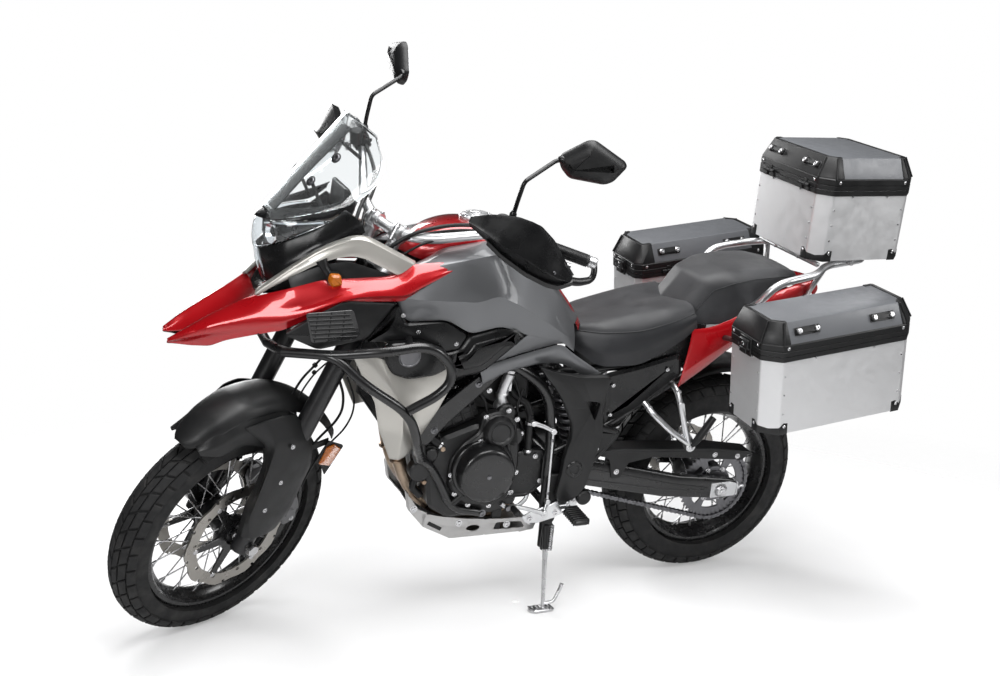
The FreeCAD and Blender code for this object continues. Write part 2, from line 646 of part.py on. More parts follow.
def engine():
    """Crankcase, cylinder block and head with the side covers and the front sprocket."""
    case = prism([(668, 345), (720, 322), (870, 320), (930, 360), (944, 470), (905, 566),
                  (800, 600), (668, 575)], -135, 135)
    rear = prism([(600, 420), (620, 372), (668, 352), (668, 570), (612, 520)], -135, 78)
    barrel = prism([(795, 590), (905, 555), (958, 738), (852, 768)], -104, 104)
    head = prism([(848, 762), (962, 730), (978, 792), (950, 818), (872, 832)], -112, 112)
    shapes = [case, rear, barrel, head]
    shapes.append(Part.makeCylinder(COVER_R + 14, 30, LEFT_COVER + V(0, 134, 0), V(0, 1, 0)))
    shapes.append(Part.makeCylinder(COVER_R, 66, LEFT_COVER + V(0, 134, 0), V(0, 1, 0)))
    shapes.append(Part.makeCone(COVER_R, COVER_R - 14, 10, LEFT_COVER + V(0, 200, 0),
                                V(0, 1, 0)))
    shapes.append(Part.makeCylinder(100, 60, V(780, -194, 460), V(0, 1, 0)))
    shapes.append(Part.makeCone(100, 84, 12, V(780, -194, 460), V(0, -1, 0)))
    shapes.append(prism([(584, 470), (590, 400), (640, 380), (669, 400), (669, 520), (600, 512)],
                        118, 134))
    shapes.append(prism([(660, 380), (690, 380), (690, 540), (660, 520)], 112, 134))
    shapes.append(sprocket(FRONT_SPROCKET, FRONT_TEETH, FRONT_PITCH_R - CHAIN_HALF_H - 1, 5, 7))
    shapes.append(rod((615, 70, 440), (615, 119, 440), 14))
    return fuse(shapes)


engine_solid = engine()
keep("engine", "root", engine_solid)

# ---------------------------------------------------------------- frame
SPAR_R = 16.0
RAIL_R = 11.0


def main_frame():
    """Head tube, twin spars, rear down tubes, pivot plates and engine hangers."""
    shapes = [fork_rod(0, 0, HEAD_LOW, HEAD_HIGH, 33)]
    for s in (1, -1):
        shapes.append(tube([(1122, s * 18, 945), (1030, s * 86, 896), (905, s * 134, 846),
                            (700, s * 138, 764), (606, s * 150, 690), (588, s * 152, 560),
                            (588, s * 152, 330)], SPAR_R - 2, 90))
        shapes.append(prism([(500, 400), (560, 380), (600, 400), (600, 500), (560, 520),
                             (500, 470)], *sorted((s * 146, s * 152))))
        shapes.append(prism([(900, 848), (960, 862), (950, 780), (915, 780)],
                            *sorted((s * 113, s * 121))))
    shapes.append(rod((588, -152, 345), (588, 152, 345), 12))
    shapes.append(rod((606, -150, 690), (606, 150, 690), 14))
    bore = fork_rod(0, 0, HEAD_LOW - 40, HEAD_HIGH + 40, STEM_R + FIT)
    pin = rod(PIVOT + V(0, -170, 0), PIVOT + V(0, 170, 0), 12 + FIT)
    return trim(fuse(shapes), [bore, pin, engine_solid])


def subframe():
    """Seat rails and their braces, with four cross tubes, seated on the main frame."""
    shapes = []
    for s in (1, -1):
        shapes.append(tube([(640, s * 136, 735), (560, s * 118, 735), (300, s * 114, 735),
                            (180, s * 112, 800), (-60, s * 104, 848), (-250, s * 96, 905)],
                           RAIL_R, 80))
        shapes.append(tube([(590, s * 152, 500), (480, s * 140, 530), (180, s * 118, 690),
                            (-40, s * 105, 840)], RAIL_R, 80))
    for x, y, z in ((560, 118, 735), (120, 110, 808), (-200, 98, 890), (-232, 97, 899)):
        shapes.append(rod((x, -y, z), (x, y, z), 10))
    return largest(fuse(shapes).cut(frame_solid))


frame_solid = main_frame()
subframe_solid = subframe()
keep("main_frame", "root", frame_solid)
keep("subframe", "root", subframe_solid)

BOBBIN = V(60, 142, 331)               # M8 thread for a paddock stand, in each arm's outer face
BOBBIN_R, BOBBIN_DEEP = 3.4, 22.0


def swingarm():
    """Two arms from the pivot to the axle, the cross box and the pivot bolt."""
    arm = [(575, 462), (560, 396), (500, 392), (200, 318), (-20, 288), (-58, 296), (-62, 340),
           (-20, 352), (150, 378), (420, 452), (500, 468)]
    shapes = [prism(arm, 112, 142, 14), prism(arm, -142, -112, 14),
              block(392, 446, -113, 113, 392, 440),
              rod(PIVOT + V(0, -113, 0), PIVOT + V(0, 113, 0), 24)]
    bolt = rod(PIVOT + V(0, -162, 0), PIVOT + V(0, 162, 0), 12)
    body_ = fuse(shapes + [bolt])
    room = Part.makeCylinder(REAR_TYRE_R + 12, 176, REAR_AXLE + V(0, -88, 0), V(0, 1, 0))
    slot = rod(REAR_AXLE + V(0, -200, 0), REAR_AXLE + V(0, 200, 0), AXLE_R + FIT)
    threads = both(rod(BOBBIN - V(0, BOBBIN_DEEP, 0), BOBBIN + V(0, 1, 0), BOBBIN_R))
    return body_.cut([room, slot] + threads)


arm_solid = swingarm()
keep("swingarm", "root", arm_solid)

rear_axle = fuse([rod(REAR_AXLE + V(0, -158, 0), REAR_AXLE + V(0, 158, 0), AXLE_R),
                  rod(REAR_AXLE + V(0, 142.3, 0), REAR_AXLE + V(0, 156, 0), 17),
                  rod(REAR_AXLE + V(0, -142.3, 0), REAR_AXLE + V(0, -156, 0), 17),
                  rod(REAR_AXLE + V(0, CHAIN_Y + 6.3, 0), REAR_AXLE + V(0, 111.8, 0), 16),
                  rod(REAR_AXLE + V(0, -111.8, 0), REAR_AXLE + V(0, -95.3, 0), 16)])
keep("rear_axle", "root", rear_axle)


def rear_shock():
    """Damper with stacked coils between the cross box and the frame cross tube."""
    low, high = V(440, 0, 470), V(512, 0, 690)
    line = high - low
    line.normalize()
    shapes = [rod(low, low + line * 120, 22), rod(low + line * 100, high, 9),
              rod(low + line * 8, low + line * 16, 42),
              rod(high - line * 30, high - line * 18, 42)]
    coils = 7
    for i in range(coils):
        centre = low + line * (26 + i * 24)
        shapes.append(Part.makeTorus(33, 7, centre, line))
        shapes.append(Part.makeCylinder(34, 8, centre - line * 4, line).cut(
            Part.makeCylinder(27, 8, centre - line * 4, line)))
    shapes.append(rod(low, low + line * 190, 28))
    shapes.append(rod(high + V(0, -34, 0), high + V(0, 34, 0), 14))
    shapes.append(rod(high, (606, 0, 690), 9))
    shapes.append(rod(low, (419, 0, 440), 12))
    return trim(fuse(shapes), [frame_solid, arm_solid])


keep("rear_shock", "root", rear_shock())


def rear_caliper():
    """Caliper above the arm, astride the rear disc."""
    body_ = block(64, 128, REAR_DISC_Y - 22, REAR_DISC_Y + 27, 382, 440)
    slot = Part.makeCylinder(120 + MOVE_GAP, 5 + 2 * MOVE_GAP,
                             REAR_AXLE + V(0, REAR_DISC_Y - MOVE_GAP, 0), V(0, 1, 0))
    lug = block(-14, 120, -111.7, -101, 330, 400)
    tyre_room = Part.makeCylinder(REAR_RIM_R + 16, 154, REAR_AXLE + V(0, -70, 0), V(0, 1, 0))
    bore = rod(REAR_AXLE + V(0, -200, 0), REAR_AXLE + V(0, 200, 0), 16 + FIT)
    return trim(fuse([body_, lug]), [slot, tyre_room, bore, arm_solid])


keep("rear_caliper", "root", rear_caliper())

guard_plate = [(420, 492), (300, 486), (40, 464), (-90, 440), (-96, 430), (60, 448), (300, 474),
               (420, 478)]
chain_guard = fuse([prism(guard_plate, 84, 148), prism([(330, 476), (250, 470), (230, 404),
                                                        (250, 400)], 144, 148),
                    prism([(250, 405), (250, 396), (225, 396), (225, 405)], 140, 148)])
keep("chain_guard", "root", trim(chain_guard, [arm_solid, NODES["drive_chain"][1][0]]))

# ---------------------------------------------------------------- exhaust, radiator, guards
PIPE_R = 19.0
MUFFLER_R = 50.0


def exhaust():
    """Two header pipes under the engine, a collector and the right-hand silencer."""
    shapes = []
    for y in (52, -52):
        shapes.append(tube([(974, y, 706), (1020, y, 690), (1012, y, 560), (990, y, 400),
                            (940, y * 0.9, 288), (760, y * 0.6, 284)], PIPE_R, 70))
    shapes.append(block(660, 780, -70, 70, 262, 308))
    shapes.append(tube([(680, -40, 285), (600, -110, 288), (520, -178, 300), (420, -192, 360),
                        (320, -198, 396)], PIPE_R + 2, 60))
    shapes.append(cone((340, -197.5, 392), (300, -198, 400), 24, MUFFLER_R - 4))
    shapes.append(rod((300, -198, 400), (-100, -206, 480), MUFFLER_R))
    shapes.append(cone((-100, -206, 480), (-130, -206.6, 486), MUFFLER_R, 34))
    shapes.append(rod((-128, -206.5, 485.6), (-150, -207, 490), 22))
    bore = rod((-110, -206.2, 482), (-170, -207.4, 494), 18)
    return trim(fuse(shapes), [bore, engine_solid, frame_solid])


exhaust_solid = exhaust()
keep("exhaust", "root", exhaust_solid)


def radiator():
    """Core between side tanks, hung below the spars, with a slatted face."""
    core = block(1042, 1060, -140, 140, 600, 800)
    frame_ = fuse([block(1036, 1066, -165, -138, 590, 812), block(1036, 1066, 138, 165, 590, 812)])
    slats = [block(1060, 1064, -139, 139, 604 + 16 * i, 608 + 16 * i) for i in range(12)]
    hang = [block(1043, 1053, s * 77 - 8, s * 77 + 8, 799, 900) for s in (1, -1)]
    return trim(fuse([core, frame_] + slats + hang), [frame_solid, exhaust_solid])


radiator_solid = radiator()
keep("radiator", "root", radiator_solid)


def skid_plate():
    """Bent aluminium plate under the engine with side wings and drilled holes."""
    t = 4.0
    outer = [(1008, 420), (968, 285), (930, 246), (640, 246), (600, 262)]
    under = [(x - (t if x > 960 else 0), z + (t if x < 960 else 0)) for x, z in outer]
    base = prism(outer + under[::-1], -118, 118)
    wing = prism([(1008, 420), (968, 285), (930, 246), (640, 246), (600, 262), (606, 300),
                  (700, 304), (860, 308), (960, 330), (992, 420)], 114, 118)
    floor_ = fuse([base, wing, mirrored(wing)])
    cuts = []
    for x, z in ((700, 276), (760, 278), (820, 280), (880, 284), (930, 300)):
        cuts.append(rod((x, -130, z), (x, 130, z), 11))
    for x in (720, 800, 880):
        for y in (-60, 0, 60):
            cuts.append(rod((x, y, 230), (x, y, 256), 13))
    lug = [block(700, 730, s * 108 - 6, s * 108 + 6, 249, 324) for s in (1, -1)]
    return trim(fuse([floor_.cut(cuts)] + lug), [engine_solid, exhaust_solid])


keep("skid_plate", "root", skid_plate())
BUMPER_R = 12.5


def crash_bars():
    """Tubular guards each side: front hoop, upper hoop and the braces to the engine."""
    solids = []
    for s in (1, -1):
        a = tube([(1366, s * 60, 842), (1345, s * 150, 848), (1232, s * 232, 862),
                  (1130, s * 286, 740), (1022, s * 268, 560), (962, s * 160, 428),
                  (958, s * 130, 420)], BUMPER_R, 60)
        b = tube([(1232, s * 232, 862), (1100, s * 282, 884), (962, s * 300, 884),
                  (924, s * 302, 800), (1000, s * 298, 716), (1128, s * 286, 736)], BUMPER_R, 50)
        c = tube([(1022, s * 268, 560), (940, s * 246, 470), (900, s * 190, 372),
                  (850, s * 138, 340)], BUMPER_R - 2, 50)
        d = rod((1060, s * 284, 886), (1010, s * 118, 880), 9)
        solids.append(fuse([a, b, c, d]))
    cross = rod((1366, -62, 842), (1366, 62, 842), BUMPER_R)
    return trim(fuse(solids + [cross]), [engine_solid, frame_solid])


bars_solid = crash_bars()
keep("crash_bars", "root", bars_solid)

# ---------------------------------------------------------------- tank, fairings, beak
tank_rows = ((1022, 40, 60, 910, 1040), (985, 96, 84, 905, 1086), (915, 104, 92, 868, 1124),
             (830, 104, 88, 855, 1142), (760, 104, 84, 845, 1140), (650, 100, 70, 800, 1060),
             (560, 92, 60, 770, 955), (500, 84, 56, 760, 866))
             # x, half width low, half width top, low z, top z
fuel_tank = spindle([(x, [(low - 10, z0), (low, z0 + 20), (low, z1 - 46), (top, z1 - 8),
                          (top * 0.45, z1)]) for x, low, top, z0, z1 in tank_rows])
CAP = V(800, 0, 1146)
keep("fuel_tank", "root", trim(fuel_tank, [frame_solid]))

panel_low = [(1046, 905), (1046, 970), (1006, 1000), (984, 1062), (900, 1092), (780, 1080), (650, 1000),
             (560, 905), (506, 806), (470, 742), (590, 750), (714, 828), (886, 850)]
panel_mid = [(1040, 915), (1042, 962), (1004, 990), (980, 1036), (905, 1056), (780, 1040), (655, 960),
             (565, 874), (512, 790), (486, 752), (596, 764), (716, 842), (886, 864)]
panel_out = [(1020, 930), (1024, 952), (1000, 972), (974, 994), (905, 1006), (790, 980), (680, 905),
             (590, 830), (540, 790), (530, 776), (610, 790), (724, 862), (886, 884)]
tank_panel = layers((panel_low, 106), (panel_mid, 168), (panel_out, 226))
tank_panel = trim(tank_panel, [frame_solid, subframe_solid, engine_solid, bars_solid])
keep("tank_panels", "root", *both(tank_panel))

lower_out = [(1212, 836), (1090, 846), (1000, 838), (930, 800), (928, 716), (980, 640),
             (1034, 486), (1072, 492), (1096, 640), (1160, 742)]
lower_fairing = layers((lower_out, 172), (inset(lower_out, 6), 196), (inset(lower_out, 16), 214))
lower_fairing = trim(fuse([lower_fairing, block(1042, 1062, 165 + SEAT_GAP, 173, 690, 740)]),
                     [bars_solid])
keep("lower_fairings", "root", *both(lower_fairing))

intake_out = [(1336, 888), (1306, 968), (1180, 1000), (1066, 985), (1040, 896), (1090, 862),
              (1215, 858)]
intake = layers((intake_out, 150), (inset(intake_out, 6), 178), (inset(intake_out, 18), 196))
slats = [prism([(1290 - 6 * i, 894 + 16 * i), (1120, 890 + 16 * i), (1120, 896 + 16 * i),
                (1288 - 6 * i, 900 + 16 * i)], 186, 200) for i in range(5)]
intake = trim(intake.cut(slats), [bars_solid, tank_panel, frame_solid])
keep("intake_panels", "root", *both(intake))


def beak():
    """Two-pronged beak with a centre blade and side wings that run back over the tank."""
    side = strip([(1613, [(32, 846), (50, 846), (55, 856), (48, 868), (32, 868)]),
                  (1520, [(26, 866), (88, 868), (104, 888), (84, 924), (26, 916)]),
                  (1400, [(60, 888), (136, 892), (156, 922), (130, 974), (60, 968)]),
                  (1310, [(142, 910), (166, 910), (186, 950), (164, 1012), (142, 1012)]),
                  (1180, [(154, 984), (176, 984), (196, 1008), (174, 1046), (154, 1046)]),
                  (1050, [(154, 1010), (182, 1010), (202, 1038), (180, 1076), (154, 1076)]),
                  (930, [(168, 1040), (190, 1040), (206, 1050), (186, 1062), (168, 1062)])])
    nose = spindle([(1330, [(120, 905), (124, 935), (112, 965)]), (1420, [(60, 895), (64, 925),
                                                                      (58, 945)]),
                    (1500, [(26, 892), (30, 905), (24, 918)])])
    return fuse([side, mirrored(side), nose])


beak_solid = trim(beak(), [bars_solid, frame_solid, tank_panel, mirrored(tank_panel), intake,
                         mirrored(intake), fuel_tank])
keep("front_beak", "root", beak_solid)

arch = strip([(1384, [(86, 944), (98, 944), (98, 976), (86, 976)]),
              (1334, [(106, 1008), (120, 1008), (120, 1042), (106, 1042)]),
              (1250, [(134, 1056), (148, 1056), (148, 1092), (134, 1092)]),
              (1170, [(154, 1094), (170, 1094), (170, 1130), (154, 1130)]),
              (1085, [(154, 1046), (172, 1046), (172, 1076), (154, 1076)])])
arch = trim(arch, [beak_solid, tank_panel, fuel_tank])
keep("cowl_arches", "root", *both(arch))

headlight = spindle([(1262, [(84, 1000), (104, 1040), (104, 1110), (80, 1140)]),
                     (1330, [(74, 996), (98, 1040), (96, 1110), (70, 1138)]),
                     (1388, [(30, 1004), (52, 1046), (50, 1092), (26, 1116)])])
lamp_lug = block(1318, 1348, 90, 106 - SEAT_GAP, 1014, 1034)
headlight = fuse([headlight, lamp_lug, mirrored(lamp_lug)])
keep("headlight", "root", trim(headlight, [beak_solid, arch, mirrored(arch)]))
cowl = spindle([(1190, [(104, 1140), (112, 1160), (100, 1196)]),
                (1300, [(86, 1141), (98, 1156), (84, 1190)]),
                (1384, [(40, 1141), (50, 1150), (40, 1166)])])
keep("front_cowl", "root", trim(cowl, [headlight]))
dash = spindle([(1150, [(70, 1160), (74, 1200), (66, 1236)]), (1190, [(70, 1160), (74, 1200),
                                                                     (66, 1252)])])
keep("instrument_panel", "root", trim(dash, [cowl]))


def windscreen():
    """Clear screen: a slice of a wide leaning tube, cut to the screen's outline from the front."""
    slope = (V(*SCREEN_TOP) - V(*SCREEN_FOOT)).normalize()
    ahead = slope.cross(V(0, -1, 0))
    middle = V(*SCREEN_FOOT) - ahead * SCREEN_BOW - slope * 100
    tube_wall = Part.makeCylinder(SCREEN_BOW, 600, middle, slope).cut(
        Part.makeCylinder(SCREEN_BOW - SCREEN_THICK, 600, middle, slope))
    half = [(84, 1128), (128, 1172), (158, 1262), (146, 1340), (92, 1414), (60, 1428)]   # y, z
    loop = [V(1100, y, z) for y, z in half] + [V(1100, -y, z) for y, z in reversed(half)]
    front = Part.Face(Part.makePolygon(loop + loop[:1])).extrude(V(400, 0, 0))
    return plain(tube_wall.common(front))


screen = trim(windscreen(), [cowl])
keep("windscreen", "root", screen)

signal = fuse([rod((1238, 166, 1010), (1238, 166, 1050), 6), block(1223, 1253, 153, 180, 1042, 1076)])
rear_signal = fuse([rod((-300, 62 + SEAT_GAP, 762), (-300, 116, 766), 6),
                    block(-318, -282, 112, 160, 748, 784)])
keep("turn_signals", "root", *[trim(s, [beak_solid, arch, mirrored(arch)]) for s in
                               both(signal) + both(rear_signal)])

# ---------------------------------------------------------------- seats, side covers, tail
seat_rows = ((540, 60, 800, 850), (470, 118, 762, 868), (400, 138, 752, 872),
             (300, 146, 752, 876), (210, 142, 800, 890), (150, 132, 838, 900))
rider_seat = spindle([(x, [(w * 0.8, z0), (w, z0 + 14), (w * 0.94, z1 - 30), (w * 0.7, z1 - 4),
                           (w * 0.35, z1)]) for x, w, z0, z1 in seat_rows])
rear_rows = ((236, 60, 904, 936), (200, 108, 902, 964), (125, 134, 880, 990), (10, 138, 892, 1004),
             (-100, 124, 926, 1008), (-190, 96, 948, 990))
pillion = spindle([(x, [(w * 0.8, z0), (w, z0 + 10), (w * 0.94, z1 - 24), (w * 0.7, z1 - 4),
                        (w * 0.35, z1)]) for x, w, z0, z1 in rear_rows])
frames = [frame_solid, subframe_solid]
rider_seat = trim(rider_seat, frames + [fuel_tank, tank_panel, mirrored(tank_panel)])
pillion = trim(pillion, frames + [rider_seat])
keep("rider_seat", "root", rider_seat)
keep("passenger_seat", "root", pillion)

tail_out = [(196, 668), (206, 706), (150, 800), (20, 880), (-110, 944), (-236, 968), (-250, 940),
            (-120, 860), (0, 790), (110, 712)]
tail = layers((tail_out, 126), (tail_out, 138), (inset(tail_out, 8), 152))
tail = trim(tail, frames + [pillion, rider_seat])
keep("tail_panels", "root", *both(tail))

cover_out = [(646, 742), (560, 742), (470, 728), (430, 700), (446, 560), (430, 470), (470, 395),
             (545, 402), (600, 520), (622, 640)]
window = [(508, 668), (462, 660), (474, 604)]
side_cover = layers((cover_out, 174), (inset(cover_out, 5), 187))
side_cover = side_cover.cut(prism(window, 150, 200))
side_cover = fuse([side_cover, rod((590, 162, 560), (590, 175, 560), 9),
                   rod((604, 160, 680), (604, 175, 680), 9)])
rear_cover = prism([(500, 722), (300, 722), (196, 770), (190, 700), (330, 600), (440, 560)],
                   128, 136)
covers = [trim(c, frames + [rider_seat, tank_panel, tail]) for c in (side_cover, rear_cover)]
keep("side_covers", "root", *(both(covers[0]) + both(covers[1])))

tail_light = spindle([(-300, [(40, 896), (50, 920), (40, 944)]),
                      (-244, [(86, 896), (96, 924), (84, 950)])])
keep("tail_light", "root", trim(tail_light, frames))


PLATE_FACE = V(-370, 0, 690)           # middle of the number plate holder's rear face
PLATE_NORMAL = V(-140, 0, 60).normalize()
PLATE_PCD, PLATE_HOLE_R = 90.0, 3.2


def rear_fender():
    """Inner mudguard over the rear tyre and the tail that holds the blank plate."""
    outer = [(-92, 0), (-80, 14), (80, 14), (92, 0), (88, 0), (77, 10), (-77, 10), (-88, 0)]
    loop = [REAR_AXLE + V(REAR_TYRE_R + 42 + r, y, 0) for y, r in outer]
    face = Part.Face(Part.makePolygon(loop + loop[:1]))
    face.rotate(REAR_AXLE, V(0, -1, 0), 72)
    arch_ = face.revolve(REAR_AXLE, V(0, -1, 0), 62)
    tail_ = prism([(-226, 610), (-250, 640), (-262, 895), (-226, 895), (-222, 640)], -60, 60)
    holder = prism([(-250, 780), (-340, 760), (-400, 620), (-392, 616), (-330, 748), (-250, 764)],
                   -62, 62)
    reach = PLATE_NORMAL * 30
    holes = [rod(PLATE_FACE + V(0, y, 0) - reach, PLATE_FACE + V(0, y, 0) + reach, PLATE_HOLE_R)
             for y in (PLATE_PCD / 2, -PLATE_PCD / 2)]
    return fuse([arch_, tail_, holder]).cut(holes)


keep("rear_fender", "root", trim(rear_fender(), frames + [tail_light]))


# ---------------------------------------------------------------- rack and boxes
RACK_R = 8.0
RACK_Y = PANNIER_IN - RACK_R - SEAT_GAP


def luggage_rack():
    """Grab rails round the seat with their struts, and the top plate on its cross bars."""
    shapes = []
    for s in (1, -1):
        shapes.append(tube([(96, s * 128, 880), (60, s * 150, 960), (0, s * 152, 1016),
                            (-200, s * 150, 1026), (-400, s * 120, 1028), (-420, s * 30, 1028)],
                           9, 40))
        shapes.append(rod((-200, s * 96, 890), (-220, s * 140, 1024), RACK_R))
        shapes.append(rod((40, s * 108, 826), (96, s * 128, 884), RACK_R))
    shapes.append(rod((-420, -32, 1028), (-420, 32, 1028), 9))
    plate = prism([(-180, 1040), (-470, 1040), (-470, 1045.7), (-180, 1045.7)], -120, 120)
    shapes.append(plate.cut([block(x, x + 80, -80, 80, 1000, 1060) for x in (-300, -430)]))
    for x, half in ((-210, 150), (-400, 120)):
        shapes.append(rod((x, -half, 1027), (x, half, 1027), RACK_R))
        shapes += [block(x - 8, x + 8, y - 8, y + 8, 1030, 1041) for y in (-100, 100)]
    return trim(fuse(shapes), frames + [pillion, tail, mirrored(tail), rider_seat, tail_light])


def pannier_rack():
    """Frame that carries the left box: a loop behind it and two struts from the seat rail."""
    loop = tube([(70, RACK_Y, 850), (56, RACK_Y, 690), (-290, RACK_Y, 730), (-290, RACK_Y, 890)],
                RACK_R, 40)
    shapes = [loop, rod((70, 120, 812), (70, RACK_Y, 842), RACK_R),
              rod((-250, 100, 900), (-290, RACK_Y, 880), RACK_R),
              rod((70, RACK_Y, 842), (-290, RACK_Y, 882), RACK_R)]
    return largest(trim(fuse(shapes), frames + [tail]))


rack = luggage_rack()
keep("luggage_rack", "root", rack)
keep("pannier_racks", "root", *both(pannier_rack()))


def box_outline(x0, x1, y0, y1, cut, inner_cut):
    """Plan of a box: two corners cut by cut on the y1 side, inner_cut on the y0 side."""
    return [(x1 - cut, y1), (x1, y1 - cut), (x1, y0 + inner_cut), (x1 - inner_cut, y0),
            (x0 + inner_cut, y0), (x0, y0 + inner_cut), (x0, y1 - cut), (x0 + cut, y1)]


def plan_prism(points, z0, z1):
    """Upright prism from an xy outline."""
    loop = [V(x, y, z0) for x, y in points]
    return Part.Face(Part.makePolygon(loop + loop[:1])).extrude(V(0, 0, z1 - z0))


def plan_loft(low, z0, high, z1):
    """Upright taper between two xy outlines."""
    wires = []
    for points, z in ((low, z0), (high, z1)):
        loop = [V(x, y, z) for x, y in points]
        wires.append(Part.makePolygon(loop + loop[:1]))
    return Part.makeLoft(wires, True, True)


LID_GAP = 1.0
HINGE_R = 5.0


def luggage_box(x0, x1, y0, y1, z0, body_h, lid_h, cut, inner_cut):
    """Open box and its lid, both hollow, with a folded rim and cut corners."""
    plan = box_outline(x0, x1, y0, y1, cut, inner_cut)
    inside = inset(plan, CASE_WALL)
    z1 = z0 + body_h
    shell = plan_prism(plan, z0, z1)
    shell = shell.cut(plan_prism(inside, z0 + CASE_WALL, z1 + 1))
    z2 = z1 + LID_GAP
    rim = z2 + lid_h * 0.4
    top = z2 + lid_h
    small, small_in = inset(plan, 26), inset(plan, 26 + CASE_WALL)
    lid = plan_prism(plan, z2, rim).fuse(plan_loft(plan, rim, small, top)).removeSplitter()
    lid = lid.cut([plan_prism(inside, z2 - 1, rim),
                   plan_loft(inside, rim, small_in, top - CASE_WALL)])
    return shell, lid


left_box, left_lid = luggage_box(PANNIER_REAR, PANNIER_FRONT, PANNIER_IN, PANNIER_OUT,
                                 PANNIER_LOW, PANNIER_BODY, PANNIER_LID, PANNIER_CUT, 20)
top_box, top_lid = luggage_box(TOP_REAR, TOP_FRONT, -TOP_HALF, TOP_HALF, TOP_LOW, TOP_BODY,
                               TOP_LID, TOP_CUT, TOP_CUT)


def knuckles(a, b):
    """Hinge barrels along a to b: the outer two for the box, the middle one for the lid."""
    a, b = V(*a), V(*b)
    line = b - a
    third = line.Length / 3
    line.normalize()
    outer = [rod(a, a + line * (third - 1), HINGE_R), rod(b - line * (third - 1), b, HINGE_R)]
    pin = rod(a, b, 2.0)
    middle = rod(a + line * third, b - line * third, HINGE_R)
    middle = middle.cut(rod(a, b, 2.0 + FIT))
    return outer + [pin], middle


def hinged(box_, lid_, pin_y, pin_z, xs, out):
    """Adds hinges at the wall: leaves on the box below, on the lid above."""
    box_parts, lid_parts = [box_], [lid_]
    for x in xs:
        a, b = (x - 24, pin_y, pin_z), (x + 24, pin_y, pin_z)
        outer, middle = knuckles(a, b)
        box_parts += outer
        wall = pin_y - out * (HINGE_R + 1.5)
        y0, y1 = sorted((wall, pin_y))
        for x0 in (x - 24, x + 9):
            box_parts.append(block(x0, x0 + 15, y0 if out > 0 else pin_y - 1,
                                   pin_y + 1 if out > 0 else y1, pin_z - 16, pin_z - 1))
        lid_parts.append(middle)
        lid_parts.append(block(x - 8, x + 8, y0 if out > 0 else pin_y + 2.3,
                               pin_y - 2.3 if out > 0 else y1, pin_z - 1, pin_z + 16))
    return fuse(box_parts), fuse(lid_parts)


HINGE_OUT = HINGE_R + 1.5
left_pin_y = PANNIER_IN - HINGE_OUT
left_pin_z = PANNIER_LOW + PANNIER_BODY + LID_GAP / 2 + 3
left_box, left_lid = hinged(left_box, left_lid, left_pin_y, left_pin_z,
                            (PANNIER_REAR + 110, PANNIER_FRONT - 110), -1)


def pitched(shape):
    """Side boxes sit rear end up about their lower front edge."""
    shape = shape.copy()
    shape.rotate(V(PANNIER_FRONT, 0, PANNIER_LOW), V(0, 1, 0), PANNIER_PITCH)
    return shape


left_box, left_lid = pitched(left_box), pitched(left_lid)
keep("pannier_left", "root", left_box)
keep("pannier_lid_left", "pannier_lid_left", left_lid)
keep("pannier_right", "root", mirrored(left_box))
keep("pannier_lid_right", "pannier_lid_right", mirrored(left_lid))

top_pin_x = TOP_FRONT + HINGE_OUT
top_pin_z = TOP_LOW + TOP_BODY + LID_GAP / 2 + 3


def swap_axes(shape, sign):
    """Turns a hinge drawn along x to one along y."""
    shape = shape.copy()
    shape.rotate(V(0, 0, 0), V(0, 0, 1), 90 * sign)
    return shape


turned_box, turned_lid = swap_axes(top_box, 1), swap_axes(top_lid, 1)
turned_box, turned_lid = hinged(turned_box, turned_lid, top_pin_x, top_pin_z, (-90, 90), 1)
top_box, top_lid = swap_axes(turned_box, -1), swap_axes(turned_lid, -1)
keep("top_case", "root", top_box)
keep("top_case_lid", "top_case_lid", top_lid)

# ---------------------------------------------------------------- fuel cap
CAP_R = 34.0
CAP_HINGE = V(CAP.x + CAP_R + 11, 0, CAP.z + 11)
cap_ring = fuse([Part.makeCylinder(CAP_R + 14, 14, CAP - V(0, 0, 8), V(0, 0, 1))] +
                both(rod(CAP_HINGE + V(-3, 9, 0), CAP_HINGE + V(-3, 14, 0), 4)) +
                both(block(CAP_HINGE.x - 6, CAP_HINGE.x, 9, 14, CAP.z + 4, CAP_HINGE.z)))
cap_ring = trim(cap_ring, [Part.makeCylinder(CAP_R + 1, 30, CAP - V(0, 0, 2), V(0, 0, 1)),
                         fuel_tank])
fuel_cap = Part.makeCylinder(CAP_R, 10, CAP + V(0, 0, 2.3), V(0, 0, 1))

# ---------------------------------------------------------------- foot controls and stand
def footrests():
    """Plates, rider pegs, passenger peg brackets, gear and brake pedals."""
    plate = prism([(520, 520), (610, 500), (612, 380), (560, 318), (500, 330), (498, 420)],
                  166.5, 173, 12)
    plate = plate.cut([rod((556, 150, 440), (556, 190, 440), 24)])
    peg = fuse([block(512, 560, 170, 196, 330, 352), block(508, 552, 194, 286, 336, 354)])
    left = fuse([plate, peg])
    arm = jointed([(206, 120, 676), (210, 182, 650), (160, 190, 500)], 9)
    arm2 = jointed([(296, 127, 628), (284, 182, 600), (160, 190, 500)], 9)
    peg2 = jointed([(160, 190, 500), (152, 202, 514), (104, 208, 596)], 11)
    return left, fuse([arm, arm2, peg2])


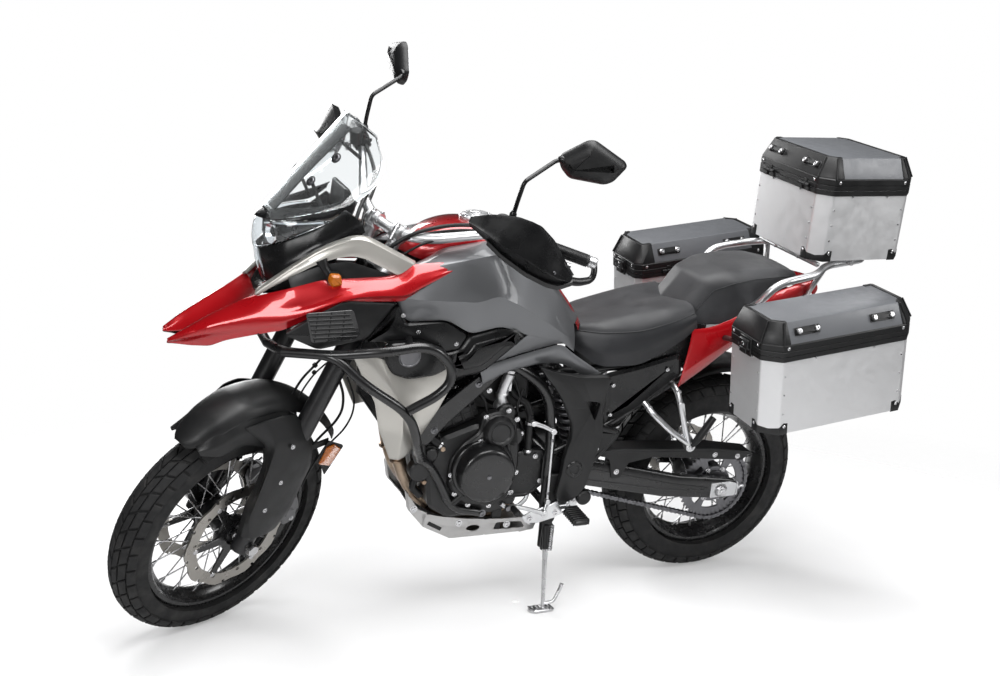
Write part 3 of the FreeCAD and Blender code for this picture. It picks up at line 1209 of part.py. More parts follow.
rider_rest, passenger_rest = footrests()
cutters = frames + [arm_solid, exhaust_solid, tail, mirrored(tail), bars_solid]
keep("footrests", "root", *[trim(p, cutters) for p in both(rider_rest) + both(passenger_rest)])
gear = fuse([rod((600, 173.3, 430), (600, 192, 430), 11), rod((600, 184, 430), (650, 186, 396), 6),
             rod((645, 186, 399), (706, 196, 371), 6), rod((706, 190, 369), (706, 236, 369), 9)])
brake = fuse([rod((600, -173.3, 400), (600, -194, 400), 11),
              rod((600, -186, 400), (650, -190, 376), 6), rod((645, -190, 377), (716, -198, 360), 6),
              block(704, 738, -240, -192, 351, 365)])
keep("foot_controls", "root", trim(gear, [engine_solid, bars_solid]), trim(brake, [engine_solid, bars_solid]))

# ---------------------------------------------------------------- how it stands
def leaned(pitch):
    """Turn of the machine on its stand: pitch about y, then the lean about x."""
    return FreeCAD.Rotation(V(1, 0, 0), -LEAN) * FreeCAD.Rotation(V(0, 1, 0), pitch)


def lowest(turn, centre, axis, tyre_r, width):
    """Lowest height of a tyre's round crown after a turn."""
    n = turn.multVec(axis)
    return (turn.multVec(centre).z - (tyre_r - width / 2) * math.sqrt(1 - n.z * n.z) - width / 2)


steer_turn = FreeCAD.Rotation(STEER_AXIS, STEER_REST)
steer_place = FreeCAD.Placement(STEER_FOOT - steer_turn.multVec(STEER_FOOT), steer_turn)
front_centre = steer_place.multVec(FRONT_AXLE)
front_axis = steer_turn.multVec(V(0, 1, 0))
pitch = 0.0
for _ in range(20):
    turn = leaned(pitch)
    rear_low = lowest(turn, REAR_AXLE, V(0, 1, 0), REAR_TYRE_R, REAR_TYRE_W)
    front_low = lowest(turn, front_centre, front_axis, FRONT_TYRE_R, FRONT_TYRE_W)
    pitch += math.degrees((front_low - rear_low) / WHEELBASE)
stand = FreeCAD.Placement(V(0, 0, -rear_low), turn)

# side stand, its foot flat on the ground
STAND_PIVOT = V(574, 148, 300)
STAND_REACH = V(600, 245, 0)
ground = stand.inverse()
level = stand.multVec(STAND_REACH)
foot_at = ground.multVec(V(level.x, level.y, 0))
foot_up = ground.Rotation.multVec(V(0, 0, 1))
leg_line = foot_at - STAND_PIVOT
leg_line.normalize()
foot_plate = Part.makeCylinder(32, 9, V(0, 0, 0), V(0, 0, 1))
foot_plate = foot_plate.fuse(block(-32, 46, -18, 18, 0, 9)).removeSplitter()
foot_plate.Placement = FreeCAD.Placement(V(level.x, level.y, 0), FreeCAD.Rotation())
foot_plate = foot_plate.transformGeometry(ground.toMatrix())
stand_leg = fuse([jointed([STAND_PIVOT, STAND_PIVOT + V(1, 0, -44), foot_at + foot_up * 8], 11),
                  rod(STAND_PIVOT - V(0, 9, 0), STAND_PIVOT + V(0, 9, 0), 20), foot_plate])
pin_bore = rod(STAND_PIVOT - V(0, 40, 0), STAND_PIVOT + V(0, 40, 0), 7 + FIT)
keep("side_stand", "side_stand", stand_leg.cut(pin_bore))
stand_bracket = fuse([block(548, 606, 161, 166, 284, 350), block(548, 606, 130, 135, 284, 350),
                      block(574, 606, 130, 166, 328, 350),
                      rod(STAND_PIVOT - V(0, 18, 0), STAND_PIVOT + V(0, 18, 0), 7)])
NODES["main_frame"][1].append(trim(stand_bracket, [frame_solid, exhaust_solid]))

keep("fuel_cap", "fuel_cap", fuse([fuel_cap, block(CAP.x + CAP_R - 4, CAP_HINGE.x - 3, -7, 7,
                                                  CAP.z + 8, CAP.z + 12),
                                   rod(CAP_HINGE + V(-3, -8, 0), CAP_HINGE + V(-3, 8, 0), 4)]))
NODES["fuel_tank"][1].append(cap_ring)

# ---------------------------------------------------------------- place and write
steered = {"steering", "front_wheel"}
corners = []
placed = {}
for name, (body, solids) in NODES.items():
    shape = Part.makeCompound([s for solid in solids for s in solid.Solids])
    if body in steered:
        shape.Placement = steer_place.multiply(shape.Placement)
    shape.Placement = stand.multiply(shape.Placement)
    placed[name] = shape
    points, _ = shape.tessellate(0.3)
    corners += [(p.x, p.y, p.z) for p in points]
low_corner = [min(c[i] for c in corners) for i in range(3)]
high_corner = [max(c[i] for c in corners) for i in range(3)]
SHIFT = V(-(low_corner[0] + high_corner[0]) / 2, -(low_corner[1] + high_corner[1]) / 2,
          -low_corner[2])
os.makedirs("parts", exist_ok=True)
for name, shape in placed.items():
    shape.translate(SHIFT)
    shape.exportStep("parts/" + name + ".step")
print(len(placed), "nodes", [round(b - a, 1) for a, b in zip(low_corner, high_corner)],
      "pitch", round(pitch, 3), "shift", SHIFT)
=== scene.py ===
"""Adventure touring motorcycle: finishes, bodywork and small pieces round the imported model.

Shapes are worked out in the machine's own frame, in millimetres: x ahead, y to the left, z up,
with the origin on the ground under the rear axle. placed() carries them to the parked machine.
"""

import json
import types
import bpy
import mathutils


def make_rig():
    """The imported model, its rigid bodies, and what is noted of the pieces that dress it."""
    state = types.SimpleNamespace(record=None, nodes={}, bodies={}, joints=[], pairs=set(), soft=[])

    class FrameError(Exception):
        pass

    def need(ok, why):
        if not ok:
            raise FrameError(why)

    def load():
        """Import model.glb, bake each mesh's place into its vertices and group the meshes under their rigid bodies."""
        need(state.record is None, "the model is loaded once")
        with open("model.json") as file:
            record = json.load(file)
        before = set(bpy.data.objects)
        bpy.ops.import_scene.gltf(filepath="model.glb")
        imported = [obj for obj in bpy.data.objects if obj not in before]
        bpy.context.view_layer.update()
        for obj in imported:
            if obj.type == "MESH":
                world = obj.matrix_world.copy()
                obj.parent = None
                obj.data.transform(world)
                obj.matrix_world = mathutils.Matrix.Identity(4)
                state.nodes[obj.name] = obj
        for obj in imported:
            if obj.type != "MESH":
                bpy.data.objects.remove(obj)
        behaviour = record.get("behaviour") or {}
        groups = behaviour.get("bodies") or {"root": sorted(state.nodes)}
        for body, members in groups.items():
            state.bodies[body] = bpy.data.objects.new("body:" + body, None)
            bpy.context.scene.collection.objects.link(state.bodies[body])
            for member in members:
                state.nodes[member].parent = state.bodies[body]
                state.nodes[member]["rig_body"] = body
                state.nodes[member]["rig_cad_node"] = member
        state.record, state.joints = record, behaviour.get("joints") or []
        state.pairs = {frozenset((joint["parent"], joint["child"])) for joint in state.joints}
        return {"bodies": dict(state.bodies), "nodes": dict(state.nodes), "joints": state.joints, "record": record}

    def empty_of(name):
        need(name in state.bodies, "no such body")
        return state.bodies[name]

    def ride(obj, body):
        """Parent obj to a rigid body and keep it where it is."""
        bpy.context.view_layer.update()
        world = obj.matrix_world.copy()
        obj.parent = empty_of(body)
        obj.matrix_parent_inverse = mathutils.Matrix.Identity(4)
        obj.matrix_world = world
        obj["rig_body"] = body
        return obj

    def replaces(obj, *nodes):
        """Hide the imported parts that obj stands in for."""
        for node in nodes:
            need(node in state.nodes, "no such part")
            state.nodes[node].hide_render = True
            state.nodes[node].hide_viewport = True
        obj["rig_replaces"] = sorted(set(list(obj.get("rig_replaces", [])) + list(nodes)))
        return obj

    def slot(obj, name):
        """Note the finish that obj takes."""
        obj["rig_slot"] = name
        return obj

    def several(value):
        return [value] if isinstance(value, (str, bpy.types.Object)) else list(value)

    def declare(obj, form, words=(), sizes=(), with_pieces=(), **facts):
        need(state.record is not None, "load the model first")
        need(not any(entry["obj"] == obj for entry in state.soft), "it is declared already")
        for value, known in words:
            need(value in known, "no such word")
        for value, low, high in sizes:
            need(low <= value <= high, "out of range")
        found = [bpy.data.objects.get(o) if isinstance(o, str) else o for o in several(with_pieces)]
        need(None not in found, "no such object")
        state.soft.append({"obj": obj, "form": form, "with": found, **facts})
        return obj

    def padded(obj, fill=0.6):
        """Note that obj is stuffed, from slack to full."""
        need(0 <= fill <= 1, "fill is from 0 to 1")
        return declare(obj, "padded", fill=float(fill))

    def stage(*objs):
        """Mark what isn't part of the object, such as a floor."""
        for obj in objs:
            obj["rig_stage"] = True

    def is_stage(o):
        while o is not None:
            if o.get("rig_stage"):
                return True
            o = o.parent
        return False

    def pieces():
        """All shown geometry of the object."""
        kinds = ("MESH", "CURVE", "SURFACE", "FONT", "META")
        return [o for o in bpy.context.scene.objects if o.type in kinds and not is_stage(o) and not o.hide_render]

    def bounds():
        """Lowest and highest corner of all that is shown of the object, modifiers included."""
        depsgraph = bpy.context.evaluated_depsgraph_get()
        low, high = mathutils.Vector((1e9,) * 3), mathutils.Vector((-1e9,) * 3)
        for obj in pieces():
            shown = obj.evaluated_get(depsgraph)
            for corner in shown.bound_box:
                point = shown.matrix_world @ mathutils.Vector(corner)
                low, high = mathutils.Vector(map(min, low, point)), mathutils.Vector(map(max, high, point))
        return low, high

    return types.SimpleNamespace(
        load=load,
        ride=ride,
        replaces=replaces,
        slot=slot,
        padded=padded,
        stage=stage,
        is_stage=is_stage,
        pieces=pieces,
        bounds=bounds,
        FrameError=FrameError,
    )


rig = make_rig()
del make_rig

bl_info = {
    "name": "Adventure Motorcycle",
    "version": (1, 0, 0),
    "blender": (4, 5, 0),
    "location": "3D View > Sidebar > Motorcycle",
    "description": "Bodywork, wheels, luggage and finishes of a parked adventure motorcycle",
    "category": "Add Mesh",
}

import json
import math
import sys

import bpy
import numpy as np
from bpy.props import FloatProperty, FloatVectorProperty, IntProperty, PointerProperty
from mathutils import Matrix

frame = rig.load()
CAD_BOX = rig.bounds()
JOINTS = {joint["name"]: joint for joint in frame["joints"]}

# ---------------------------------------------------------------- the machine's own frame
MM = 0.001
FRONT_TYRE_R, FRONT_TYRE_W, FRONT_RIM_R, FRONT_RIM_W = 329.0, 110.0, 243.0, 64.0
REAR_TYRE_R, REAR_TYRE_W, REAR_RIM_R, REAR_RIM_W = 321.0, 150.0, 218.0, 89.0
WHEELBASE = 1480.0
RAKE = math.radians(26)
FORK_OFFSET, FORK_HALF = 45.0, 100.0
STEER_REST = math.radians(30)
SPOKES = 36
CHAIN_PITCH = 15.875

LEFTWARD = np.array(JOINTS["rear_wheel_spin"]["axis"])
STEER_LINE = np.array(JOINTS["steering"]["axis"])
STEER_POINT = np.array(JOINTS["steering"]["pos_m"])
ACROSS = np.cross(LEFTWARD, STEER_LINE)
FORWARD = math.cos(RAKE) * ACROSS - math.sin(RAKE) * STEER_LINE
UPWARD = math.sin(RAKE) * ACROSS + math.cos(RAKE) * STEER_LINE
TURN = np.stack([FORWARD, LEFTWARD, UPWARD])
ORIGIN = np.array(JOINTS["rear_wheel_spin"]["pos_m"]) - UPWARD * REAR_TYRE_R * MM

FRONT_AXLE = np.array([WHEELBASE, 0.0, FRONT_TYRE_R])
REAR_AXLE = np.array([0.0, 0.0, REAR_TYRE_R])
X, Y, Z = np.eye(3)
FORK_UP = np.array([-math.sin(RAKE), 0.0, math.cos(RAKE)])
FORK_AHEAD = np.array([math.cos(RAKE), 0.0, math.sin(RAKE)])
FORK_ZERO = FRONT_AXLE - FORK_AHEAD * FORK_OFFSET


def placed(points, steered=False):
    """Machine millimetres to metres of the parked model; steered points also turn by the rest
    angle about the steering line."""
    world = ORIGIN + np.asarray(points, float) @ TURN * MM
    if steered:
        spin = np.array(Matrix.Rotation(STEER_REST, 3, STEER_LINE.tolist()))
        world = STEER_POINT + (world - STEER_POINT) @ spin.T
    return world


def fork_at(ahead, y, along):
    """Point beside the steering line: ahead of it, to the left, and up along it."""
    return FORK_ZERO + FORK_AHEAD * ahead + Y * y + FORK_UP * along


# ---------------------------------------------------------------- shapes as (points, faces)
def unit(v):
    """The vector, or each row of an array, at a length of one."""
    v = np.asarray(v, float)
    return v / np.linalg.norm(v, axis=-1, keepdims=True)


def grid(points, wrap_u=False, wrap_v=False):
    """Faces between neighbours of a (rows, columns, 3) array; a wrapped side closes on itself."""
    rows, cols = points.shape[:2]
    i, j = np.meshgrid(np.arange(rows - (not wrap_u)), np.arange(cols - (not wrap_v)),
        indexing="ij")
    i, j = i.ravel(), j.ravel()
    i2, j2 = (i + 1) % rows, (j + 1) % cols
    quads = np.stack([i * cols + j, i2 * cols + j, i2 * cols + j2, i * cols + j2], 1)
    return points.reshape(-1, 3), quads.tolist()


def join(*shapes):
    """One shape from several."""
    points, faces, base = [], [], 0
    for p, f in shapes:
        points.append(p)
        faces += [[k + base for k in face] for face in f]
        base += len(p)
    return np.vstack(points), faces


def flipped(shape):
    """The shape with its faces turned over."""
    return shape[0], [face[::-1] for face in shape[1]]


def put(shape, place, turn=None):
    """The shape turned by three axis rows, then moved to its place."""
    points = shape[0] if turn is None else shape[0] @ np.asarray(turn)
    return points + np.asarray(place, float), shape[1]


def mirrored(shape):
    """The twin on the other side of the centre plane."""
    return shape[0] * (1, -1, 1), [face[::-1] for face in shape[1]]


def both(*shapes):
    """The shapes and their twins on the other side."""
    shape = join(*shapes)
    return join(shape, mirrored(shape))


def copies(shape, places, turns=None):
    """The shape repeated at each place; turns holds three axis rows for each copy."""
    points, faces = shape
    places = np.atleast_2d(places)
    turns = np.eye(3)[None] if turns is None else np.asarray(turns).reshape(-1, 3, 3)
    number = max(len(places), len(turns))
    places = np.broadcast_to(places, (number, 3))
    turns = np.broadcast_to(turns, (number, 3, 3))
    all_points = (points @ turns + places[:, None]).reshape(-1, 3)
    count = len(points)
    sizes = {len(face) for face in faces}
    out = []
    for size in sizes:
        block = np.array([face for face in faces if len(face) == size])
        shifted = block[None] + (np.arange(number) * count)[:, None, None]
        out += shifted.reshape(-1, size).tolist()
    return all_points, out


def around(n):
    """Even steps round a circle, in radians."""
    return np.linspace(0, 2 * math.pi, n, endpoint=False)


def axes_for(direction):
    """Three axis rows whose third is the direction."""
    w = unit(direction)
    side = np.where(np.abs(w[..., :1]) < 0.8, X, Y)
    u = unit(np.cross(side, w))
    return np.stack([u, np.cross(w, u), w], -2)


CURVE_SAMPLES = 1500


def curve(points, n, soft=0.15):
    """The polyline sampled evenly by length, each sample averaged over a window of soft times
    the length that shrinks to nothing at the ends, so corners become bends."""
    p = np.asarray(points, float)
    d = np.r_[0, np.cumsum(np.linalg.norm(np.diff(p, axis=0), axis=1))]
    s = np.linspace(0, d[-1], CURVE_SAMPLES)
    dense = np.stack([np.interp(s, d, p[:, k]) for k in range(3)], 1)
    total = np.vstack([np.zeros(3), np.cumsum((dense[1:] + dense[:-1]) / 2 * s[1], axis=0)])
    t = np.linspace(0, d[-1], n)
    half = np.minimum(np.minimum(t, d[-1] - t), soft * d[-1] / 2) + 1e-5 * d[-1]
    low, high = np.clip(t - half, 0, d[-1]), np.clip(t + half, 0, d[-1])
    ends = [np.stack([np.interp(q, s, total[:, k]) for k in range(3)], 1) for q in (low, high)]
    out = (ends[1] - ends[0]) / (high - low)[:, None]
    out[0], out[-1] = p[0], p[-1]
    return out


def skin(lines, swell=0.0, n=40, m=6, soft=0.15, out=Y):
    """Panel through feature lines: between two of them the surface runs straight, plus a crown of
    swell times 4v(1 - v) along the span's normal. Its face points along out."""
    rails = np.stack([curve(line, n, soft) for line in lines])
    swell = np.broadcast_to(swell, len(lines) - 1)
    v = np.linspace(0, 1, m + 1)[:-1, None, None]
    rows = []
    for a, b, height in zip(rails, rails[1:], swell):
        along = np.gradient(a + b, axis=0)
        normal = unit(np.cross(along, b - a) + 1e-9)
        normal *= np.sign(normal.mean(0) @ out) or 1.0
        rows.append((1 - v) * a + v * b + 4 * v * (1 - v) * height * normal)
    sheet = grid(np.concatenate(rows + [rails[-1:]]))
    return facing(sheet, out)


def facing(shape, out):
    """The sheet with its faces turned so that they point along out on the whole."""
    p = shape[0][np.array([face[:4] for face in shape[1]])]
    area = np.cross(p[:, 2] - p[:, 0], p[:, 3] - p[:, 1]).sum(0)
    return shape if area @ out > 0 else flipped(shape)


def lathe(profile, centre=(0, 0, 0), axis=Y, n=48, ring=False):
    """Solid whose profile of (along, radius) pairs is spun about the axis through centre. Zero
    radii are poles; a ring's profile ends join each other."""
    profile = np.asarray(profile, float)
    a = around(n)[:, None]
    rows = axes_for(axis)
    out = np.cos(a) * rows[0] + np.sin(a) * rows[1]
    points = np.asarray(centre) + profile[:, :1, None] * rows[2] + profile[:, 1:, None] * out[None]
    return outward(grid(points, wrap_u=ring, wrap_v=True))


def ring_lathe(profile, centre=(0, 0, 0), axis=Y, n=48):
    """Ring-shaped solid spun from a profile that closes on itself."""
    return lathe(profile, centre, axis, n, True)


def outward(shape):
    """A closed shape with its faces turned outwards, told by the sign of its volume."""
    points, faces = shape
    tri = np.array([[f[0], f[k], f[k + 1]] for f in faces for k in range(1, len(f) - 1)])
    p = points[tri]
    volume = np.einsum("ij,ij->i", p[:, 0], np.cross(p[:, 1], p[:, 2])).sum()
    return shape if volume > 0 else flipped(shape)


def wire(path, r, sides, out, squash=1.0):
    """Round wire of one radius or one radius a point along closely spaced points, closed at both
    ends; out is a direction square to the path at each point."""
    third = np.cross(unit(np.gradient(path, axis=0)), out)
    a = around(sides)[None, :, None]
    ring = np.cos(a) * out[:, None] + squash * np.sin(a) * third[:, None]
    body, faces = grid(path[:, None] + r * ring, wrap_v=True)
    last = (len(path) - 1) * sides
    return outward((body, faces + [list(range(sides))[::-1], list(range(last, last + sides))]))


def tube(points, r, sides=14, n=48, soft=0.12, squash=1.0):
    """Round bar along a softened polyline. r may be one radius or a row of radii spread along the
    path."""
    path = curve(points, n, soft)
    spread = np.linalg.svd(path - path.mean(0))[2][2]
    radius = np.interp(np.linspace(0, 1, n), np.linspace(0, 1, np.size(r)), np.atleast_1d(r))
    out = unit(np.cross(unit(np.gradient(path, axis=0)), spread))
    return wire(path, radius[:, None, None], sides, out, squash)


def bar(a, b, r, sides=16, chamfer=0.0):
    """Straight round bar from a to b with a small chamfer at each end."""
    a, b = np.asarray(a, float), np.asarray(b, float)
    long = np.linalg.norm(b - a)
    c = chamfer
    profile = [(0, 0), (0, r - c), (c, r), (long - c, r), (long, r - c), (long, 0)]
    if not c:
        profile = [(0, 0), (0, r), (long, r), (long, 0)]
    return lathe(profile, a, b - a, sides)


def rods(a, b, r, sides=6):
    """Many straight bars from each row of a to each row of b, without end caps."""
    a, b = np.atleast_2d(a), np.atleast_2d(b)
    turn = axes_for(b - a)
    t = around(sides)
    ring = (np.cos(t)[:, None, None] * turn[None, :, 0] +
        np.sin(t)[:, None, None] * turn[None, :, 1])
    points = np.stack([a + r * ring, b + r * ring], 1).transpose(2, 1, 0, 3)
    count = len(a)
    base = (np.arange(count) * 2 * sides)[:, None]
    k = np.arange(sides)
    k2 = (k + 1) % sides
    quads = np.stack([base + k, base + k2, base + sides + k2, base + sides + k], -1)
    caps = [list(range(i * 2 * sides, i * 2 * sides + sides))[::-1] for i in range(count)]
    caps += [list(range(i * 2 * sides + sides, (i + 1) * 2 * sides)) for i in range(count)]
    return points.reshape(-1, 3), quads.reshape(-1, 4).tolist() + caps


def inset(outline, by):
    """A closed 2-D outline moved inwards by a distance, corner by corner."""
    p = np.asarray(outline, float)
    before, after = np.roll(p, 1, 0), np.roll(p, -1, 0)
    area = 0.5 * (p[:, 0] * after[:, 1] - after[:, 0] * p[:, 1]).sum()
    e1, e2 = unit(p - before), unit(after - p)
    n1 = np.stack([-e1[:, 1], e1[:, 0]], 1) * np.sign(area)
    n2 = np.stack([-e2[:, 1], e2[:, 0]], 1) * np.sign(area)
    mean = unit(n1 + n2)
    return p + mean * (by / np.clip((mean * n1).sum(1), 0.35, 1))[:, None]


def rounded(outline, r, steps=4):
    """A closed 2-D outline whose corners become arcs of about r."""
    p = np.asarray(outline, float)
    before, after = np.roll(p, 1, 0), np.roll(p, -1, 0)
    reach = np.minimum(r, 0.45 * np.minimum(np.linalg.norm(p - before, axis=1),
        np.linalg.norm(after - p, axis=1)))[:, None]
    a, b = p + unit(before - p) * reach, p + unit(after - p) * reach
    t = np.linspace(0, 1, steps + 1)[None, :, None]
    arcs = (1 - t) ** 2 * a[:, None] + 2 * t * (1 - t) * p[:, None] + t ** 2 * b[:, None]
    return arcs.reshape(-1, 2)


def stack(layers, plane="xz"):
    """Solid through equal outlines at successive heights: (outline, height) from first to last.
    The plane's two letters say which axes the outline lies on; height runs along the third."""
    order = {"xz": (0, 2, 1), "xy": (0, 1, 2), "yz": (1, 2, 0)}[plane]
    rows = []
    for outline, height in layers:
        p = np.empty((len(outline), 3))
        p[:, order[0]], p[:, order[1]] = np.asarray(outline).T
        p[:, order[2]] = height
        rows.append(p)
    count = len(rows[0])
    points, faces = grid(np.stack(rows), wrap_v=True)
    faces += [list(range(count)), list(range((len(rows) - 1) * count, len(rows) * count))[::-1]]
    return outward(fixed_caps(points, faces, count, len(rows)))


def fixed_caps(points, faces, count, rows):
    """Turns the two end caps so that they agree with the walls."""
    wall = faces[0]
    ring = list(range(count))
    forward = wall.index(1) == (wall.index(0) + 1) % 4 if 1 in wall else False
    first = ring[::-1] if forward else ring
    last = [(rows - 1) * count + k for k in (ring if forward else ring[::-1])]
    return points, faces[:-2] + [first, last]


def layered(outline, *levels, plane="xz"):
    """Solid through one outline at successive levels, each given as (inset, height)."""
    return stack([(inset(outline, by), height) for by, height in levels], plane)


def plate(outline, low, high, edge=1.0, plane="xz"):
    """Flat plate between two heights with its rims chamfered by edge."""
    return layered(outline, (edge, low), (0, low + edge), (0, high - edge), (edge, high),
        plane=plane)


def block(centre, size, edge=1.0, turn=None):
    """Box with chamfered edges about a centre, turned by three axis rows."""
    hx, hy, hz = np.asarray(size, float) / 2
    outline = [(-hx, -hy), (hx, -hy), (hx, hy), (-hx, hy)]
    corners = rounded(outline, edge, 1)
    return put(plate(corners, -hz, hz, edge, "xy"), centre, turn)


def bolt(r, high):
    """Socket screw standing on z = 0: flange, round head and a recess."""
    profile = [(0, 0), (0, r * 1.45), (0.9, r * 1.45), (1.5, r * 1.05), (high - 0.6, r),
        (high, r * 0.86), (high, r * 0.52), (high - 2.0, r * 0.5), (high - 2.0, 0)]
    return lathe(profile, (0, 0, 0), Z, 12)


def bolts(places, direction, r=5.0, high=4.0):
    """Screws at the places, heads along one direction or along one each."""
    places = np.atleast_2d(places)
    return copies(bolt(r, high), places, axes_for(np.broadcast_to(direction, places.shape)))


# ---------------------------------------------------------------- objects
def build(name, shape):
    """Mesh object with the shape's points as they are."""
    mesh = bpy.data.meshes.new(name)
    mesh.from_pydata(shape[0].tolist(), [], shape[1])
    obj = bpy.data.objects.new(name, mesh)
    bpy.context.scene.collection.objects.link(obj)
    return obj


def finished(obj):
    """The object with its modifiers made part of its mesh."""
    bpy.context.view_layer.update()
    made = bpy.data.meshes.new_from_object(obj.evaluated_get(
        bpy.context.evaluated_depsgraph_get()))
    old = obj.data
    obj.modifiers.clear()
    obj.data = made
    bpy.data.meshes.remove(old)
    return obj


BEVEL_ANGLE = math.radians(40)
WELD_GAP = 1e-5
FINISHES = {}
SLOTS = {
    "alloy": ("alloy", "anodised", "plate"),
    "amber_lens": ("amber",),
    "black_plastic": ("black", "black_gloss", "black_smooth", "grey_metal", "grey_moulding"),
    "box_alloy": ("box",),
    "engine_black": ("engine",),
    "fork_black": ("fork",),
    "frame_black": ("frame",),
    "grey_paint": ("grey",),
    "header_brown": ("header",),
    "hose_rubber": ("rubber",),
    "lamp_lens": ("lamp_white", "lens"),
    "lid_grey": ("lid",),
    "red_lens": ("red_lens",),
    "red_paint": ("red",),
    "rim_black": ("rim",),
    "screen_clear": ("screen",),
    "seat_cover": ("seat", "seat_rear"),
    "silver_paint": ("silver",),
    "steel_bright": ("chrome", "mirror", "steel"),
    "steel_dark": ("steel_dark",),
    "tyre": ("tyre",),
}
SLOT_OF = {finish: slot for slot, finishes in SLOTS.items() for finish in finishes}


def piece(name, shape, finish, body="root", wall=0.0, edge=0.0, smooth=38, cad=(), steered=None,
        weld=False, slot=None):
    """One visible piece: placed, given a wall or softened edges, shaded and set on its body. Its
    slot is its finish's own unless another is named."""
    if steered is None:
        steered = body in ("steering", "front_wheel")
    obj = build(name, (placed(shape[0], steered), shape[1]))
    if weld:
        obj.modifiers.new("weld", "WELD").merge_threshold = WELD_GAP
    if wall:
        solid = obj.modifiers.new("wall", "SOLIDIFY")
        solid.thickness, solid.offset = wall * MM, -1
        solid.use_even_offset = True
    if edge:
        bevel = obj.modifiers.new("edge", "BEVEL")
        bevel.width, bevel.segments = edge * MM, 2
        bevel.limit_method, bevel.angle_limit = "ANGLE", BEVEL_ANGLE
    if obj.modifiers:
        obj = finished(obj)
    obj.data.materials.clear()
    obj.data.materials.append(FINISHES[finish])
    obj.data.shade_smooth()
    obj.data.set_sharp_from_angle(angle=math.radians(smooth))
    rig.ride(obj, body)
    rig.slot(obj, slot or SLOT_OF[finish])
    if cad:
        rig.replaces(obj, *cad)
    return obj


def screws(name, spots, r, high, finish="steel", **options):
    """A piece of screws at the spots and on the other side, heads outwards."""
    piece(name, both(bolts(spots, Y, r, high)), finish, **options)


def refinish(material, *nodes):
    """Gives carried-over nodes their material."""
    for node in nodes:
        obj = frame["nodes"][node]
        obj.data.materials.clear()
        obj.data.materials.append(material)


# ---------------------------------------------------------------- finishes
MIX_A, MIX_B, MIX_RESULT = 6, 7, 2    # colour sockets of a Mix node


def add(tree, kind, props=None, **inputs):
    """Shader node with properties set and each input given a value or a link."""
    made = tree.nodes.new("ShaderNode" + kind)
    for key, value in (props or {}).items():
        setattr(made, key, value)
    for key, value in inputs.items():
        socket = made.inputs[int(key[1:])] if key[0] == "_" else made.inputs[key.replace("_", " ")]
        if isinstance(value, bpy.types.NodeSocket):
            tree.links.new(value, socket)
        else:
            socket.default_value = value
    return made


def rgba(colour):
    """The colour with an alpha of one."""
    return (*colour[:3], 1.0)


class Finish:
    """A Principled surface built up one feature at a time; patterns read Object coordinates."""

    def __init__(self, name, colour, roughness, metallic=0.0, **sockets):
        self.material = bpy.data.materials.new(name)
        self.material.use_nodes = True
        self.tree = self.material.node_tree
        self.shader = self.tree.nodes["Principled BSDF"]
        self.colour, self.height = rgba(colour), None
        self.place = add(self.tree, "TexCoord").outputs["Object"]
        for key, value in dict(Base_Color=rgba(colour), Roughness=roughness, Metallic=metallic,
                **sockets).items():
            self.shader.inputs[key.replace("_", " ")].default_value = value

    def turned(self, stretch, angles=(0, 0, 0)):
        """Coordinates stretched along the machine's leaning axes, for brushed or drawn metal."""
        return add(self.tree, "Mapping", Vector=self.place, Rotation=angles,
            Scale=stretch).outputs[0]

    def noise(self, scale, detail=3.0, where=None):
        return add(self.tree, "TexNoise", Vector=where or self.place, Scale=scale,
            Detail=detail).outputs["Fac"]

    def spread(self, value, low, high, to_low=0.0, to_high=1.0):
        return add(self.tree, "MapRange", Value=value, From_Min=low, From_Max=high, To_Min=to_low,
            To_Max=to_high).outputs[0]

    def tint(self, colour, mask):
        """Mixes another colour in where the mask is high."""
        mix = add(self.tree, "Mix", {"data_type": "RGBA"}, _0=mask)
        if isinstance(self.colour, bpy.types.NodeSocket):
            self.tree.links.new(self.colour, mix.inputs[MIX_A])
        else:
            mix.inputs[MIX_A].default_value = self.colour
        mix.inputs[MIX_B].default_value = rgba(colour)
        self.colour = mix.outputs[MIX_RESULT]
        self.tree.links.new(self.colour, self.shader.inputs["Base Color"])
        return self

    def roughen(self, scale, low, high, where=None, detail=4.0):
        """Roughness that wanders between two values."""
        made = self.spread(self.noise(scale, detail, where), 0.3, 0.7, low, high)
        self.tree.links.new(made, self.shader.inputs["Roughness"])
        return self

    def bump(self, height, strength, depth):
        """Relief of a depth in metres, added to any relief already there."""
        made = add(self.tree, "Bump", Height=height, Strength=strength, Distance=depth)
        if self.height is not None:
            self.tree.links.new(self.height, made.inputs["Normal"])
        self.height = made.outputs[0]
        self.tree.links.new(self.height, self.shader.inputs["Normal"])
        return self

    def cells(self, scale, feature="F1", output="Distance", where=None):
        return add(self.tree, "TexVoronoi", {"feature": feature}, Vector=where or self.place,
            Scale=scale).outputs[output]

    def facing(self, blend):
        return add(self.tree, "LayerWeight", Blend=blend).outputs["Facing"]


def paint(name, colour, shade, roughness=0.34, metallic=0.45, coat=1.0, flake=0.35):
    """Metallic paint: darker where it turns away, fine flake, clear coat with a faint ripple."""
    f = Finish(name, colour, roughness, metallic, Coat_Weight=coat, Coat_Roughness=0.035)
    f.tint(shade, f.spread(f.facing(0.45), 0.15, 0.95))
    f.roughen(9, roughness - 0.05, roughness + 0.07)
    f.bump(f.cells(2600), flake * 0.12, 0.0002)
    return f.bump(f.noise(42, 2), 0.035, 0.0006).material


